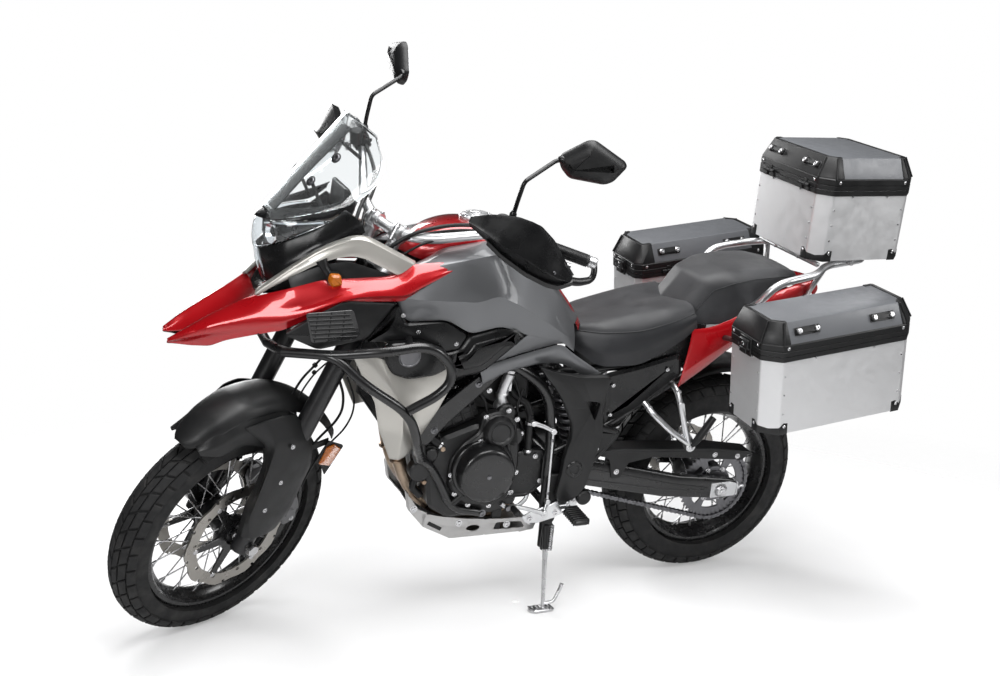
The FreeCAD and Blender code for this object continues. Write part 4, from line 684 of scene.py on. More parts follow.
def plastic(name, colour, roughness, grain=0.18, scale=1500, dust=0.35):
    """Moulded plastic: pebbled grain, uneven sheen and a trace of dust in broad patches."""
    f = Finish(name, colour, roughness, Specular_IOR_Level=0.42)
    lighter = tuple(min(1.0, c * 1.7 + 0.006) for c in colour)
    f.tint(lighter, f.spread(f.noise(14, 5), 0.52, 0.85, 0.0, dust))
    f.roughen(22, roughness - 0.07, roughness + 0.09)
    return f.bump(f.cells(scale), grain, 0.00025).material


def metal(name, colour, roughness, along=(1, 1, 1), angles=(0, 0, 0), lines=0.25, metallic=1.0,
        stain=None):
    """Bare metal: fine drawn lines, cloudy roughness and a faint stain."""
    f = Finish(name, colour, roughness, metallic)
    brushed = f.noise(900, 2, f.turned(along, angles))
    dark = stain or tuple(c * 0.72 for c in colour)
    f.tint(dark, f.spread(f.noise(16, 6), 0.5, 0.8, 0.0, 0.55))
    f.roughen(30, roughness - 0.06, roughness + 0.1)
    return f.bump(brushed, lines, 0.00012).material


def powder(name, colour, roughness, coat=0.0, orange=0.16):
    """Powder coat: small soft ripples under a slight gloss, rubbed a little lighter in places."""
    f = Finish(name, colour, roughness, Coat_Weight=coat, Coat_Roughness=0.12)
    f.tint(tuple(c * 2.0 + 0.02 for c in colour), f.spread(f.noise(60, 4), 0.66, 0.86, 0, 0.3))
    f.roughen(35, roughness - 0.06, roughness + 0.08)
    return f.bump(f.noise(420, 2), orange, 0.0004).material


def rubber(name, colour, dusty, roughness=0.72):
    """Tyre and hose rubber: matt, finely rough, with pale dust gathered in patches."""
    f = Finish(name, colour, roughness, Specular_IOR_Level=0.35)
    f.tint(dusty, f.spread(f.noise(26, 7), 0.48, 0.8, 0.0, 0.42))
    f.roughen(48, roughness - 0.12, roughness + 0.1)
    f.bump(f.noise(650, 3), 0.2, 0.0004)
    return f.bump(f.cells(190), 0.06, 0.0006).material


def vinyl(name, colour, roughness=0.5):
    """Seat cover: pebbled leather grain of two sizes with soft wear where it is sat on."""
    f = Finish(name, colour, roughness, Sheen_Weight=0.15, Sheen_Roughness=0.4,
        Specular_IOR_Level=0.4)
    f.tint(tuple(c * 1.7 + 0.01 for c in colour), f.spread(f.noise(9, 4), 0.45, 0.75, 0, 0.5))
    f.roughen(18, roughness - 0.1, roughness + 0.08)
    f.bump(f.cells(620, "DISTANCE_TO_EDGE"), 0.35, 0.0005)
    return f.bump(f.noise(1700, 2), 0.14, 0.0002).material


def heated(name):
    """Header pipe steel, straw and brown from heat, bluer in bands."""
    f = Finish(name, (0.42, 0.33, 0.25), 0.34, 1.0)
    f.tint((0.23, 0.15, 0.10), f.spread(f.noise(11, 5), 0.4, 0.65, 0, 0.9))
    f.tint((0.22, 0.22, 0.30), f.spread(f.noise(5, 2), 0.58, 0.72, 0, 0.5))
    f.roughen(40, 0.26, 0.5)
    return f.bump(f.noise(300, 4), 0.12, 0.0003).material


ACRYLIC_IOR = 1.47


def clear(name, colour, rough=0.02, transmission=1.0):
    """Clear or coloured moulding that light passes through, with a few fine scuffs."""
    f = Finish(name, colour, rough, Transmission_Weight=transmission, IOR=ACRYLIC_IOR)
    f.roughen(60, rough, rough + 0.05)
    return f.bump(f.noise(24, 2), 0.03, 0.0004).material


def make_finishes(look):
    """All finishes by name; the paint colours come from the panel."""
    red = tuple(look.red)
    grey = tuple(look.grey)
    return {
        "red": paint("red_lacquer", red, tuple(c * 0.32 for c in red), 0.3, 0.35),
        "grey": paint("graphite_lacquer", grey, tuple(c * 0.5 for c in grey), 0.42, 0.6, 0.35),
        "silver": paint("champagne_lacquer", tuple(look.silver),
                        tuple(c * 0.62 for c in look.silver), 0.36, 0.6, 0.5),
        "black_gloss": paint("black_lacquer", (0.012, 0.012, 0.013), (0.006, 0.006, 0.007),
                             0.24, 0.0, 0.6, 0.1),
        "black": plastic("black_moulding", (0.0065, 0.0066, 0.007), 0.42),
        "black_smooth": plastic("smooth_moulding", (0.005, 0.0051, 0.0055), 0.28, 0.06, 900, 0.15),
        "grey_moulding": plastic("grey_moulding", (0.02, 0.0205, 0.022), 0.4),
        "tyre": rubber("tyre_rubber", (0.010, 0.010, 0.0105), (0.05, 0.048, 0.045)),
        "rubber": rubber("hose_rubber", (0.006, 0.006, 0.0065), (0.02, 0.02, 0.02), 0.42),
        "seat": vinyl("seat_cover", (0.014, 0.0145, 0.0165)),
        "seat_rear": vinyl("pillion_cover", (0.021, 0.0215, 0.0235), 0.54),
        "rim": powder("rim_black", (0.007, 0.007, 0.0075), 0.26, 0.4, 0.05),
        "frame": powder("frame_black", (0.006, 0.006, 0.0065), 0.3, 0.3),
        "fork": powder("fork_black", (0.009, 0.009, 0.01), 0.34, 0.1, 0.05),
        "engine": powder("engine_black", (0.009, 0.009, 0.0095), 0.4, 0.0, 0.3),
        "lid": powder("lid_coat", (0.10, 0.104, 0.112), 0.4, 0.1, 0.22),
        "grey_metal": metal("cast_grey", (0.16, 0.16, 0.165), 0.45, lines=0.3, metallic=0.6),
        "steel": metal("drawn_steel", (0.66, 0.66, 0.67), 0.24),
        "steel_dark": metal("dark_steel", (0.2, 0.2, 0.21), 0.38),
        "disc": metal("ground_steel", (0.44, 0.42, 0.39), 0.3, lines=0.4),
        "alloy": metal("cast_alloy", (0.72, 0.725, 0.735), 0.36, lines=0.3),
        "anodised": metal("anodised_alloy", (0.62, 0.625, 0.64), 0.3, lines=0.12),
        "box": metal("brushed_sheet", (0.70, 0.702, 0.71), 0.46, (0.04, 1, 1), (0, 0, 0), 0.3,
                     0.7, (0.66, 0.662, 0.67)),
        "plate": metal("skid_alloy", (0.50, 0.495, 0.49), 0.40, (1, 0.05, 1), (0, 0, 0), 0.35,
                       stain=(0.34, 0.33, 0.31)),
        "chrome": metal("polished_steel", (0.8, 0.8, 0.81), 0.12, lines=0.05),
        "header": heated("heated_steel"),
        "screen": clear("clear_screen", (0.93, 0.96, 0.97)),
        "lens": clear("clear_lens", (0.9, 0.93, 0.95)),
        "amber": clear("amber_lens", (0.72, 0.19, 0.01), 0.12, transmission=0.5),
        "red_lens": clear("red_lens", (0.65, 0.01, 0.015), 0.12, transmission=0.5),
        "mirror": Finish("mirror_glass", (0.85, 0.86, 0.88), 0.03, 1.0).roughen(
            30, 0.02, 0.06).material,
        "lamp_white": Finish("lamp_strip", (0.8, 0.82, 0.85), 0.3).roughen(20, 0.2, 0.4).material,
    }


# ---------------------------------------------------------------- stage
def make_floor():
    """Pale round floor that fades out with distance from the machine."""
    a = around(96)
    rings = [np.stack([r * np.cos(a), r * np.sin(a), 0 * a], 1) for r in (0.01, 2.0, 4.0, 9.0)]
    points, faces = grid(np.stack(rings), wrap_v=True)
    floor = build("floor", flipped((points, faces)))
    f = Finish("pale_floor", (0.87, 0.87, 0.875), 0.55, Specular_IOR_Level=0.2)
    f.tint((0.85, 0.85, 0.86), f.spread(f.noise(1.5, 3), 0.4, 0.7, 0, 0.4)).roughen(6, 0.5, 0.65)
    far = add(f.tree, "VectorMath", {"operation": "LENGTH"}, _0=f.place).outputs["Value"]
    clear_part = add(f.tree, "BsdfTransparent").outputs[0]
    fade = add(f.tree, "MixShader", _0=f.spread(far, 1.2, 2.9, 0.25, 1.0))
    f.tree.links.new(f.shader.outputs[0], fade.inputs[1])
    f.tree.links.new(clear_part, fade.inputs[2])
    f.tree.links.new(fade.outputs[0], f.tree.nodes["Material Output"].inputs["Surface"])
    floor.data.materials.append(f.material)
    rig.stage(floor)


def make_world(look):
    """White surroundings to look at, a dimmer sky to light by, a darker one to mirror."""
    world = bpy.data.worlds.new("studio")
    bpy.context.scene.world = world
    world.use_nodes = True
    tree = world.node_tree
    sky = tree.nodes["Background"]
    sky.inputs["Strength"].default_value = look.sky
    white = add(tree, "Background", Color=(1.0, 1.0, 1.0, 1.0), Strength=1.0)
    high = add(tree, "SeparateXYZ", Vector=add(tree, "TexCoord").outputs["Generated"]).outputs[2]
    sky_tone = add(tree, "ValToRGB", Fac=high)
    for stop, (where, tone) in zip((0, 1), ((0.0, 1.0), (0.55, 0.28))):
        sky_tone.color_ramp.elements[stop].position = where
        sky_tone.color_ramp.elements[stop].color = (tone, tone, tone, 1.0)
    tree.links.new(sky_tone.outputs[0], sky.inputs["Color"])
    rays = add(tree, "LightPath").outputs
    dark = add(tree, "Background", Color=(1.0, 1.0, 1.0, 1.0), Strength=look.sky * look.gloss)
    tree.links.new(sky_tone.outputs[0], dark.inputs["Color"])
    below = sky.outputs[0]
    for ray, shader in (("Is Glossy Ray", dark), ("Is Transmission Ray", white),
            ("Is Camera Ray", white)):
        mix = add(tree, "MixShader", _0=rays[ray])
        tree.links.new(below, mix.inputs[1])
        tree.links.new(shader.outputs[0], mix.inputs[2])
        below = mix.outputs[0]
    tree.links.new(below, tree.nodes["World Output"].inputs["Surface"])


def make_stage(look):
    """Pale floor, soft studio lights and the camera."""
    scene = bpy.context.scene
    make_floor()
    make_world(look)
    lights = (("overhead", (-0.1, 0.7, 3.6), (0.0, 0.0, 0.4), (4.2, 2.2), look.key),
        ("front_left", (3.6, 3.4, 2.2), (0.3, 0.0, 0.7), (2.0, 1.6), look.key * 0.42),
        ("rear_left", (-3.6, 3.0, 2.4), (-0.5, 0.0, 0.8), (1.8, 1.6), look.key * 0.36),
        ("right_rim", (0.5, -4.2, 2.6), (0.0, 0.0, 0.8), (3.2, 1.2), look.key * 0.5))
    for name, place, aim, size, watts in lights:
        light = bpy.data.lights.new(name, "AREA")
        light.shape, light.size, light.size_y, light.energy = "RECTANGLE", *size, watts
        obj = bpy.data.objects.new(name, light)
        scene.collection.objects.link(obj)
        way = unit(np.subtract(place, aim))
        obj.matrix_world = Matrix(np.vstack([np.column_stack([*axes_for(way), place]),
            [0, 0, 0, 1]]).tolist())
    camera = bpy.data.cameras.new("camera")
    camera.lens, camera.sensor_width = look.lens, 36.0
    obj = bpy.data.objects.new("camera", camera)
    scene.collection.objects.link(obj)
    az, el, roll = look.azimuth, look.elevation, look.roll
    back = np.array([math.sin(az) * math.cos(el), -math.cos(az) * math.cos(el), math.sin(el)])
    right = np.array([math.cos(az), math.sin(az), 0.0])
    up = np.cross(back, right)
    right2 = math.cos(roll) * right + math.sin(roll) * up
    up2 = np.cross(back, right2)
    obj.matrix_world = Matrix(np.vstack([np.column_stack([right2, up2, back, look.eye]),
        [0, 0, 0, 1]]).tolist())
    scene.camera = obj
    scene.view_settings.view_transform = "Standard"


# ---------------------------------------------------------------- wheels
def tyre_point(phi, theta, depth, centre, radius, width):
    """Point on a tyre: phi round its crown from the middle, theta round the axle, depth inwards
    from the tread's top."""
    crown = width / 2
    y = (crown - depth) * np.sin(phi)
    r = radius - crown + (crown - depth) * np.cos(phi)
    return np.stack([centre[0] + r * np.cos(theta), centre[1] + y + 0 * theta,
        centre[2] + r * np.sin(theta)], -1)


def tyre_body(centre, radius, width, rim_r, rim_w, groove):
    """Carcass: round crown at the bottom of the grooves, bowed sidewalls, beads at the rim."""
    crown = width / 2
    phi = np.radians(np.linspace(0, 88, 12))
    y = (crown - groove) * np.sin(phi)
    r = radius - crown + (crown - groove) * np.cos(phi)
    y_side = (crown - groove, crown - groove + 1, crown - groove - 4, rim_w / 2 + 3, rim_w / 2 + 1)
    low = radius - crown
    r_side = (low - 8, low - 20, (low + rim_r) / 2 - 4, rim_r + 11, rim_r + 8.6)
    half = np.stack([np.r_[y, y_side, rim_w / 2 - 1], np.r_[r, r_side, rim_r + 0.4]], 1)
    profile = np.vstack([half[::-1], half[1:] * (-1, 1)])
    return ring_lathe(profile, centre, Y, 120)


def tread(centre, radius, width, pitches, rows, groove):
    """Tread blocks standing on the carcass. Each row gives a block's two edges round the crown in
    degrees, its start and length as shares of a pitch, and how far its outer edge leads."""
    shapes = []
    step = 2 * math.pi / pitches
    start = np.arange(pitches) * step
    for inner, outer_, begin, long, lead in rows:
        for side in (1, -1):
            shift = begin + (0.5 if side < 0 else 0.0)
            a, b = math.radians(inner) * side, math.radians(outer_) * side
            mid = (a + b) / 2
            phi = np.array([a, mid, b, b, mid, a])
            cut = np.array([0, 0.5, 1, 1, 0.5, 0]) * lead
            t0 = shift + cut + np.array([0, 0, 0, long, long, long])
            centre_phi, centre_t = phi.mean(), t0.mean()
            rings = []
            for depth, shrink in ((groove + 1, 1.0), (1.3, 0.97), (0.2, 0.86)):
                p = centre_phi + (phi - centre_phi) * shrink
                t = (centre_t + (t0 - centre_t) * shrink) * step
                rings.append(tyre_point(p[None], start[:, None] + t[None], depth, centre, radius,
                    width))
            points = np.stack(rings, 1)                      # pitch, ring, corner
            corners = len(phi)
            base = (np.arange(pitches) * len(rings) * corners)[:, None]
            k = np.arange(corners)
            k2 = (k + 1) % corners
            faces = []
            for low in (base, base + corners):
                faces += np.stack([low + k, low + k2, low + corners + k2, low + corners + k],
                    -1).reshape(-1, 4).tolist()
            top_ring = base + 2 * corners
            for quad in ((0, 1, 4, 5), (1, 2, 3, 4)):
                faces += (top_ring + np.array(quad)).tolist()
            shape = (points.reshape(-1, 3), faces)
            probe = points[0]
            top = np.cross(probe[2, 1] - probe[2, 0], probe[2, 4] - probe[2, 1])
            away = probe[2].mean(0) - centre
            shapes.append(shape if top @ away > 0 else flipped(shape))
    return join(*shapes)


def rim(centre, rim_r, rim_w):
    """Rim: flanges, bead seats, a deep well and a rounded inner face."""
    half = rim_w / 2
    upper = [(half + 6, rim_r + 6), (half + 4.4, rim_r + 8), (half + 1.6, rim_r + 7.6),
        (half, rim_r + 4), (half - 1, rim_r - 0.4), (half - 12, rim_r - 1.5),
        (half - 17, rim_r - 12), (10, rim_r - 19)]
    lower = [(8, rim_r - 25.5), (12, rim_r - 24), (half - 12, rim_r - 14.5),
        (half - 2, rim_r - 8.5), (half + 5, rim_r - 7), (half + 6.2, rim_r - 2)]
    profile = upper + [(-y, r) for y, r in upper[::-1]] + [(-y, r) for y, r in lower[::-1]] + lower
    return ring_lathe(profile, centre, Y, 108)


def spokes(centre, rim_r, flange_y, flange_r):
    """Crossed spokes from both hub flanges to the rim, with nipples at the rim and heads."""
    i = np.arange(SPOKES)
    side = np.where(i % 2, 1.0, -1.0)
    lead = np.radians(np.where((i // 2) % 2, 46.0, -46.0))
    a = i * 2 * math.pi / SPOKES
    b = a + lead
    outer_ = centre + np.stack([np.cos(a) * (rim_r - 22), side * 8, np.sin(a) * (rim_r - 22)], 1)
    inner = centre + np.stack([np.cos(b) * (flange_r - 5), side * (flange_y - 1),
        np.sin(b) * (flange_r - 5)], 1)
    way = unit(outer_ - inner)
    return join(rods(inner, outer_, 1.9, 8), rods(outer_ - way * 16, outer_ + way * 3, 3.1, 6),
        rods(inner - Y * side[:, None] * 3.2, inner + Y * side[:, None] * 2.6, 3.4, 8))


def hub(centre, half, bore):
    """Turned hub; half holds the outer (y, radius) pairs of its left half."""
    outer_ = list(half) + [(-y, r) for y, r in half[::-1]]
    return ring_lathe(outer_ + [(-half[0][0], bore), (half[0][0], bore)], centre, Y, 72)


TREAD_FRONT = ((1.6, 20, 0.02, 0.88, 0.30), (23, 45, 0.40, 0.90, 0.24),
    (47.5, 72, 0.14, 0.88, 0.10))
TREAD_REAR = ((1.4, 18, 0.02, 0.89, 0.28), (20.5, 39, 0.40, 0.90, 0.24),
    (41.5, 63, 0.12, 0.89, 0.12))
VALVE_TURN = 0.35


def make_wheels(look):
    """Both spoked wheels with tyres, hubs and valves."""
    sets = (("front", FRONT_AXLE, FRONT_TYRE_R, FRONT_TYRE_W, FRONT_RIM_R, FRONT_RIM_W,
        look.front_pitches, TREAD_FRONT, 46.0, 48.0,
        ((54, 38), (54, 42), (50, 47), (46, 48), (38, 48), (34, 46), (28, 31), (20, 28))),
        ("rear", REAR_AXLE, REAR_TYRE_R, REAR_TYRE_W, REAR_RIM_R, REAR_RIM_W,
        look.rear_pitches, TREAD_REAR, 52.0, 58.0,
        ((60, 30), (60, 44), (56, 57), (52, 58), (42, 58), (38, 56), (32, 40), (24, 36))))
    for end, centre, radius, width, rim_r, rim_w, pitches, rows, flange_y, flange_r, core in sets:
        body = end + "_wheel"
        common = dict(body=body, steered=end == "front")
        groove = look.groove / MM
        rubber_shape = join(tyre_body(centre, radius, width, rim_r, rim_w, groove),
            tread(centre, radius, width, pitches, rows, groove))
        piece(end + "_tyre_tread", rubber_shape, "tyre", cad=(end + "_tyre",), smooth=28, **common)
        piece(end + "_rim", rim(centre, rim_r, rim_w), "rim", cad=(end + "_wheel",), **common)
        piece(end + "_spokes", spokes(centre, rim_r, flange_y, flange_r), "steel", **common)
        piece(end + "_hub", hub(centre, core, 11), "fork", slot="rim_black", **common)
        way = np.array([math.cos(VALVE_TURN), 0, math.sin(VALVE_TURN)])
        foot = centre + way * (rim_r - 25)
        piece(end + "_valve", join(bar(foot, foot - way * 32, 3.2, 10, 0.6),
            bar(foot - way * 22, foot - way * 36, 4.2, 10, 0.8)), "steel", **common)


# ---------------------------------------------------------------- bodywork
TANK_EDGE = [(958, 72, 1058), (922, 94, 1090), (800, 106, 1112), (700, 106, 1070), (600, 102, 985),
    (520, 98, 888)]
TANK_LOW = [(1068, 180, 982), (1042, 188, 926), (935, 200, 930), (870, 204, 890), (785, 202, 906),
    (705, 194, 874), (640, 182, 852), (592, 170, 840), (548, 158, 806)]
SEAM = [(822, 158, 778), (700, 164, 812), (592, 168, 838), (550, 160, 804), (452, 150, 736)]


def moved(line, by):
    """The line's points, each moved by the same step."""
    return [tuple(np.add(p, by)) for p in line]


def make_tank():
    """Red tank top with its raised cap area, and the grey side panels with their crease."""
    ridge = [(1012, 0, 1062), (985, 0, 1112), (900, 0, 1146), (790, 0, 1144), (700, 0, 1094),
        (600, 0, 988), (520, 0, 886), (488, 0, 850)]
    shoulder = [(1000, 46, 1062), (970, 56, 1106), (890, 70, 1138), (790, 74, 1136),
        (700, 74, 1086), (600, 72, 986), (520, 68, 886), (494, 64, 850)]
    edge = [(962, 70, 1050)] + TANK_EDGE[1:] + [(506, 90, 862)]
    under = moved(edge, (0, -4, -22))
    top = skin([ridge, shoulder, edge, under], (2.0, 3.0, 0.0), 64, 6, 0.16, Z)
    piece("tank_top", both(top), "red", wall=3, edge=0.8, cad=("fuel_tank",), weld=True)
    crease = [(1046, 152, 1048), (962, 186, 1070), (886, 190, 1083), (806, 176, 1092),
        (700, 158, 1042), (600, 142, 956), (540, 124, 872)]
    widest = [(1068, 186, 990), (1000, 213, 989), (925, 222, 985), (862, 227, 981),
        (806, 222, 996), (738, 214, 962), (640, 196, 900), (580, 176, 856), (542, 144, 836)]
    side = skin([TANK_EDGE, crease, widest, TANK_LOW], (3.0, 1.0, 1.0), 72, 7, 0.07)
    tongue = skin([[(822, 158, 778), (762, 176, 828), (705, 194, 874)], [(821, 157.5, 777),
        (700, 163, 813), (592, 170, 840)]], 2.0, 24, 5, 0.1)
    grey = join(side, tongue)
    piece("tank_sides", both(grey), "grey", wall=3.2, edge=1.0, cad=("tank_panels",), smooth=26)
    low = [(804, 150, 724), (730, 154, 760), (630, 154, 778), (570, 152, 768), (497, 148, 722),
        (452, 146, 732)]
    mid = [(812, 156, 750), (720, 164, 786), (610, 168, 812), (566, 164, 794), (480, 154, 732),
        (452, 149, 735)]
    strip = skin([moved(SEAM, (0, -1, -3)), mid, low], (1.5, 1.0), 48, 4, 0.1)
    piece("tank_lower_strips", both(strip), "grey", wall=3.2, edge=1.0)
    red_edge = skin([[(600, 104, 992), (540, 100, 918), (506, 90, 866)], [(590, 112, 962),
        (540, 116, 892), (520, 108, 862)]], 1.0, 20, 3, 0.3)
    piece("tank_rear_trims", both(red_edge), "red", wall=2.5, edge=0.8)


def make_beak():
    """Two-pronged beak with creased side wings, its dark underside and the silver arches."""
    low = [(1612, 44, 850), (1560, 62, 846), (1512, 80, 848), (1476, 98, 868), (1400, 132, 892),
        (1345, 152, 906), (1318, 162, 922), (1240, 184, 968), (1204, 189, 988), (1125, 192, 984),
        (1052, 194, 982), (898, 188, 1066)]
    fold = [(1611, 46, 853), (1560, 70, 866), (1500, 94, 884), (1420, 128, 908), (1340, 162, 930),
        (1285, 180, 958), (1225, 194, 986), (1170, 200, 1000), (1110, 203, 1002),
        (1050, 204, 1000), (972, 200, 1036), (896, 190, 1067)]
    ridge = [(1610, 46, 857), (1560, 76, 884), (1500, 98, 910), (1410, 130, 940), (1320, 160, 962),
        (1260, 176, 982), (1210, 184, 1004), (1150, 186, 1022), (1080, 190, 1024),
        (1035, 196, 1034), (966, 196, 1052), (895, 189, 1069)]
    top = [(1608, 43, 861), (1560, 52, 894), (1500, 60, 930), (1432, 76, 966), (1330, 142, 1010),
        (1250, 156, 1034), (1170, 158, 1038), (1066, 160, 1042), (1024, 168, 1070),
        (950, 176, 1076), (896, 186, 1071)]
    outer_ = skin([low, fold, ridge, top], (-1.0, 2.0, 3.0), 84, 5, 0.045)
    valley = [(1606, 38, 852), (1572, 20, 858), (1536, 0, 874), (1440, 0, 930), (1392, 0, 968)]
    inner = skin([top[:4] + [(1392, 92, 984)], valley], -5.0, 34, 6, 0.1, Z)
    keel = [(1604, 40, 848), (1566, 24, 842), (1530, 0, 850), (1440, 0, 868), (1392, 0, 880)]
    belly = skin([low[:5], keel], 2.0, 34, 4, 0.1, -Z)
    piece("beak_shell", both(outer_, inner), "red", wall=3, edge=0.9, cad=("front_beak",),
        weld=True)
    piece("beak_underside", both(belly), "black", wall=2.5, weld=True)
    crown = [(1404, 88, 984), (1330, 112, 1046), (1252, 136, 1106), (1158, 152, 1141),
        (1090, 160, 1106), (1018, 166, 1067)]
    lower = [(1380, 92, 990), (1322, 118, 1030), (1268, 140, 1068), (1206, 154, 1091),
        (1160, 159, 1093), (1100, 165, 1062), (1046, 170, 1034)]
    arch = skin([lower, moved(crown, (-2, 2, -5)), crown, moved(crown, (-6, -20, 5))],
        (2.0, 0.5, 1.0), 60, 4, 0.16)
    piece("silver_arches", both(arch), "silver", wall=4, edge=1.2, cad=("cowl_arches",))
    screen_base = skin([[(1312, 146, 966), (1250, 158, 988), (1190, 162, 1010), (1110, 164, 1036)],
        [(1330, 120, 1030), (1262, 142, 1064), (1190, 154, 1080), (1080, 164, 1044)]], 1.0, 24, 4,
        0.2)
    piece("cowl_infills", both(screen_base), "black", wall=2.5, edge=0.6)


SCREEN_BOW, SCREEN_LONG = 225.0, 330.0


def make_cowl():
    """Head lamp with its light strip, the dark cowl round it, the dash and the clear screen."""
    lamp_low = [(1394, 0, 1082), (1386, 28, 1086), (1332, 78, 1112), (1236, 105, 1160)]
    lamp_top = [(1388, 0, 1156), (1379, 46, 1160), (1302, 93, 1166), (1222, 107, 1171)]
    eye = skin([lamp_low, lamp_top], 6.0, 36, 8, 0.22, X)
    column = skin([[(1394, 0, 1086), (1388, 0, 1040), (1368, 0, 984)], [(1385, 29, 1088),
        (1374, 24, 1040), (1358, 13, 986)]], 2.0, 20, 4, 0.25, X)
    lens = both(eye, column)
    piece("lamp_lens", lens, "lens", wall=2.0, cad=("headlight",), weld=True)
    back_eye = skin([moved(lamp_low, (-26, -3, 2)), moved(lamp_top, (-26, -3, -2))], 3.0, 36, 4,
        0.22, X)
    back_column = skin([[(1372, 0, 1086), (1366, 0, 1040), (1350, 0, 984)],
        [(1362, 27, 1088), (1354, 22, 1040), (1342, 11, 986)]], 0.0, 12, 3, 0.2, X)
    piece("lamp_housing", both(back_eye, back_column), "black_smooth", wall=2.0, weld=True)
    bowls = lathe([(-2, 0), (0, 10), (8, 18), (18, 24), (20, 26), (18, 27), (6, 21), (-4, 10),
        (-5, 0)], (1342, 46, 1126), unit((1.0, 0.28, 0.0)), 28)
    piece("lamp_reflectors", both(bowls), "chrome")
    strips = [tube([(1390, 5, 1078), (1381, 6, 1040), (1362, 5, 994)], 2.4, 8, 16, 0.2),
        tube([(1378, 32, 1148), (1312, 82, 1156), (1246, 102, 1163)], 2.4, 8, 18, 0.2)]
    piece("lamp_light_strips", both(put(join(*strips), (-6, 0, 0))), "lamp_white")
    cowl_top = [(1384, 30, 1084), (1331, 80, 1110), (1236, 107, 1158), (1186, 104, 1196)]
    cowl_mid = [(1374, 27, 1045), (1336, 86, 1060), (1250, 116, 1112), (1150, 116, 1168)]
    cowl_low = [(1360, 14, 984), (1348, 78, 1008), (1262, 120, 1086), (1138, 122, 1142)]
    side = skin([cowl_top, cowl_mid, cowl_low], (2.0, 3.0), 34, 6, 0.12)
    brow_front = [(1391, 0, 1160), (1381, 47, 1163), (1303, 95, 1169), (1222, 110, 1174),
        (1184, 106, 1204)]
    brow_back = [(1352, 0, 1184), (1340, 42, 1186), (1270, 84, 1196), (1206, 96, 1212),
        (1178, 98, 1222)]
    brow = skin([brow_front, brow_back], 3.0, 30, 5, 0.2, Z)
    chin = skin([[(1370, 0, 982), (1352, 40, 986), (1345, 78, 1006)], [(1392, 0, 968),
        (1388, 60, 976), (1366, 90, 994)]], 2.0, 16, 3, 0.2, X)
    piece("lamp_cowl", both(side, brow, chin), "black_smooth", wall=2.6, edge=0.8,
        cad=("front_cowl",), weld=True)
    dash = plate(rounded([(1188, 1166), (1160, 1166), (1150, 1190), (1168, 1240), (1180, 1240)],
        8), -68, 68, 4)
    piece("dash_body", dash, "black", cad=("instrument_panel",))
    face = skin([[(1149, -58, 1192), (1149, 0, 1192), (1149, 58, 1192)], [(1164, -58, 1232),
        (1164, 0, 1232), (1164, 58, 1232)]], 2.0, 12, 6, 0.1, -X)
    piece("dash_glass", face, "black_gloss", wall=1.5, edge=0.5)
    foot, head = np.array([1376.0, 0, 1168]), np.array([1156.0, 0, 1424])
    slope = unit(head - foot)
    ahead = np.cross(slope, -Y)

    def on_screen(high, turn, behind=0.0):
        """Points of the bowed screen: shares of its height, angles round its bow, and how far
        behind its face."""
        high, turn = np.broadcast_arrays(high, turn)
        r = SCREEN_BOW - behind
        return (foot + ahead * (r * np.cos(turn) - SCREEN_BOW)[..., None] +
            Y * (r * np.sin(turn))[..., None] + slope * (high * SCREEN_LONG)[..., None])

    t = np.linspace(0, 1, 44)
    wide = np.interp(t, (0, 0.04, 0.12, 0.3, 0.5, 0.72, 0.88, 0.96, 1.0),
        (62, 84, 116, 172, 222, 236, 214, 176, 128))
    wide = np.convolve(np.pad(wide, 3, "edge"), np.ones(7) / 7, "valid")
    sheet = on_screen(t[:, None], wide[:, None] * np.linspace(-1, 1, 41) / SCREEN_BOW)
    piece("clear_windscreen", facing(grid(sheet), X), "screen", wall=2.0, edge=0.5,
        cad=("windscreen",))
    places = [(on_screen(high, a), ahead * math.cos(a) + Y * math.sin(a))
        for high, turn in ((0.43, 0.39), (0.68, 0.45)) for a in (turn, -turn)]
    piece("windscreen_screws", join(*[bolts(p, d, 9.5, 3.0) for p, d in places]), "steel_dark")
    posts = join(*[tube([p - d * 4, p - d * 30 - Z * 26, (1236, p[1] * 0.9, 1190)], 4.5, 8, 20,
        0.2) for p, d in places[:2]])
    piece("windscreen_posts", posts, "black")
    t = np.linspace(0.02, 0.92, 30)
    half = np.interp(t, (0.02, 0.5, 0.92), (0.19, 0.2, 0.27))
    spine = on_screen(t[:, None], half[:, None] * np.linspace(-1, 1, 9), 7)
    piece("screen_spine", facing(grid(spine), X), "black_smooth", wall=2.5, edge=0.5)


def slat(x0, x1, z, drop, y):
    """One tilted louvre blade across a panel opening."""
    return plate([(x1, z), (x0, z), (x0 - 2, z - drop), (x1 + 2, z - drop)], y - 2.2, y + 2.2, 0.6)


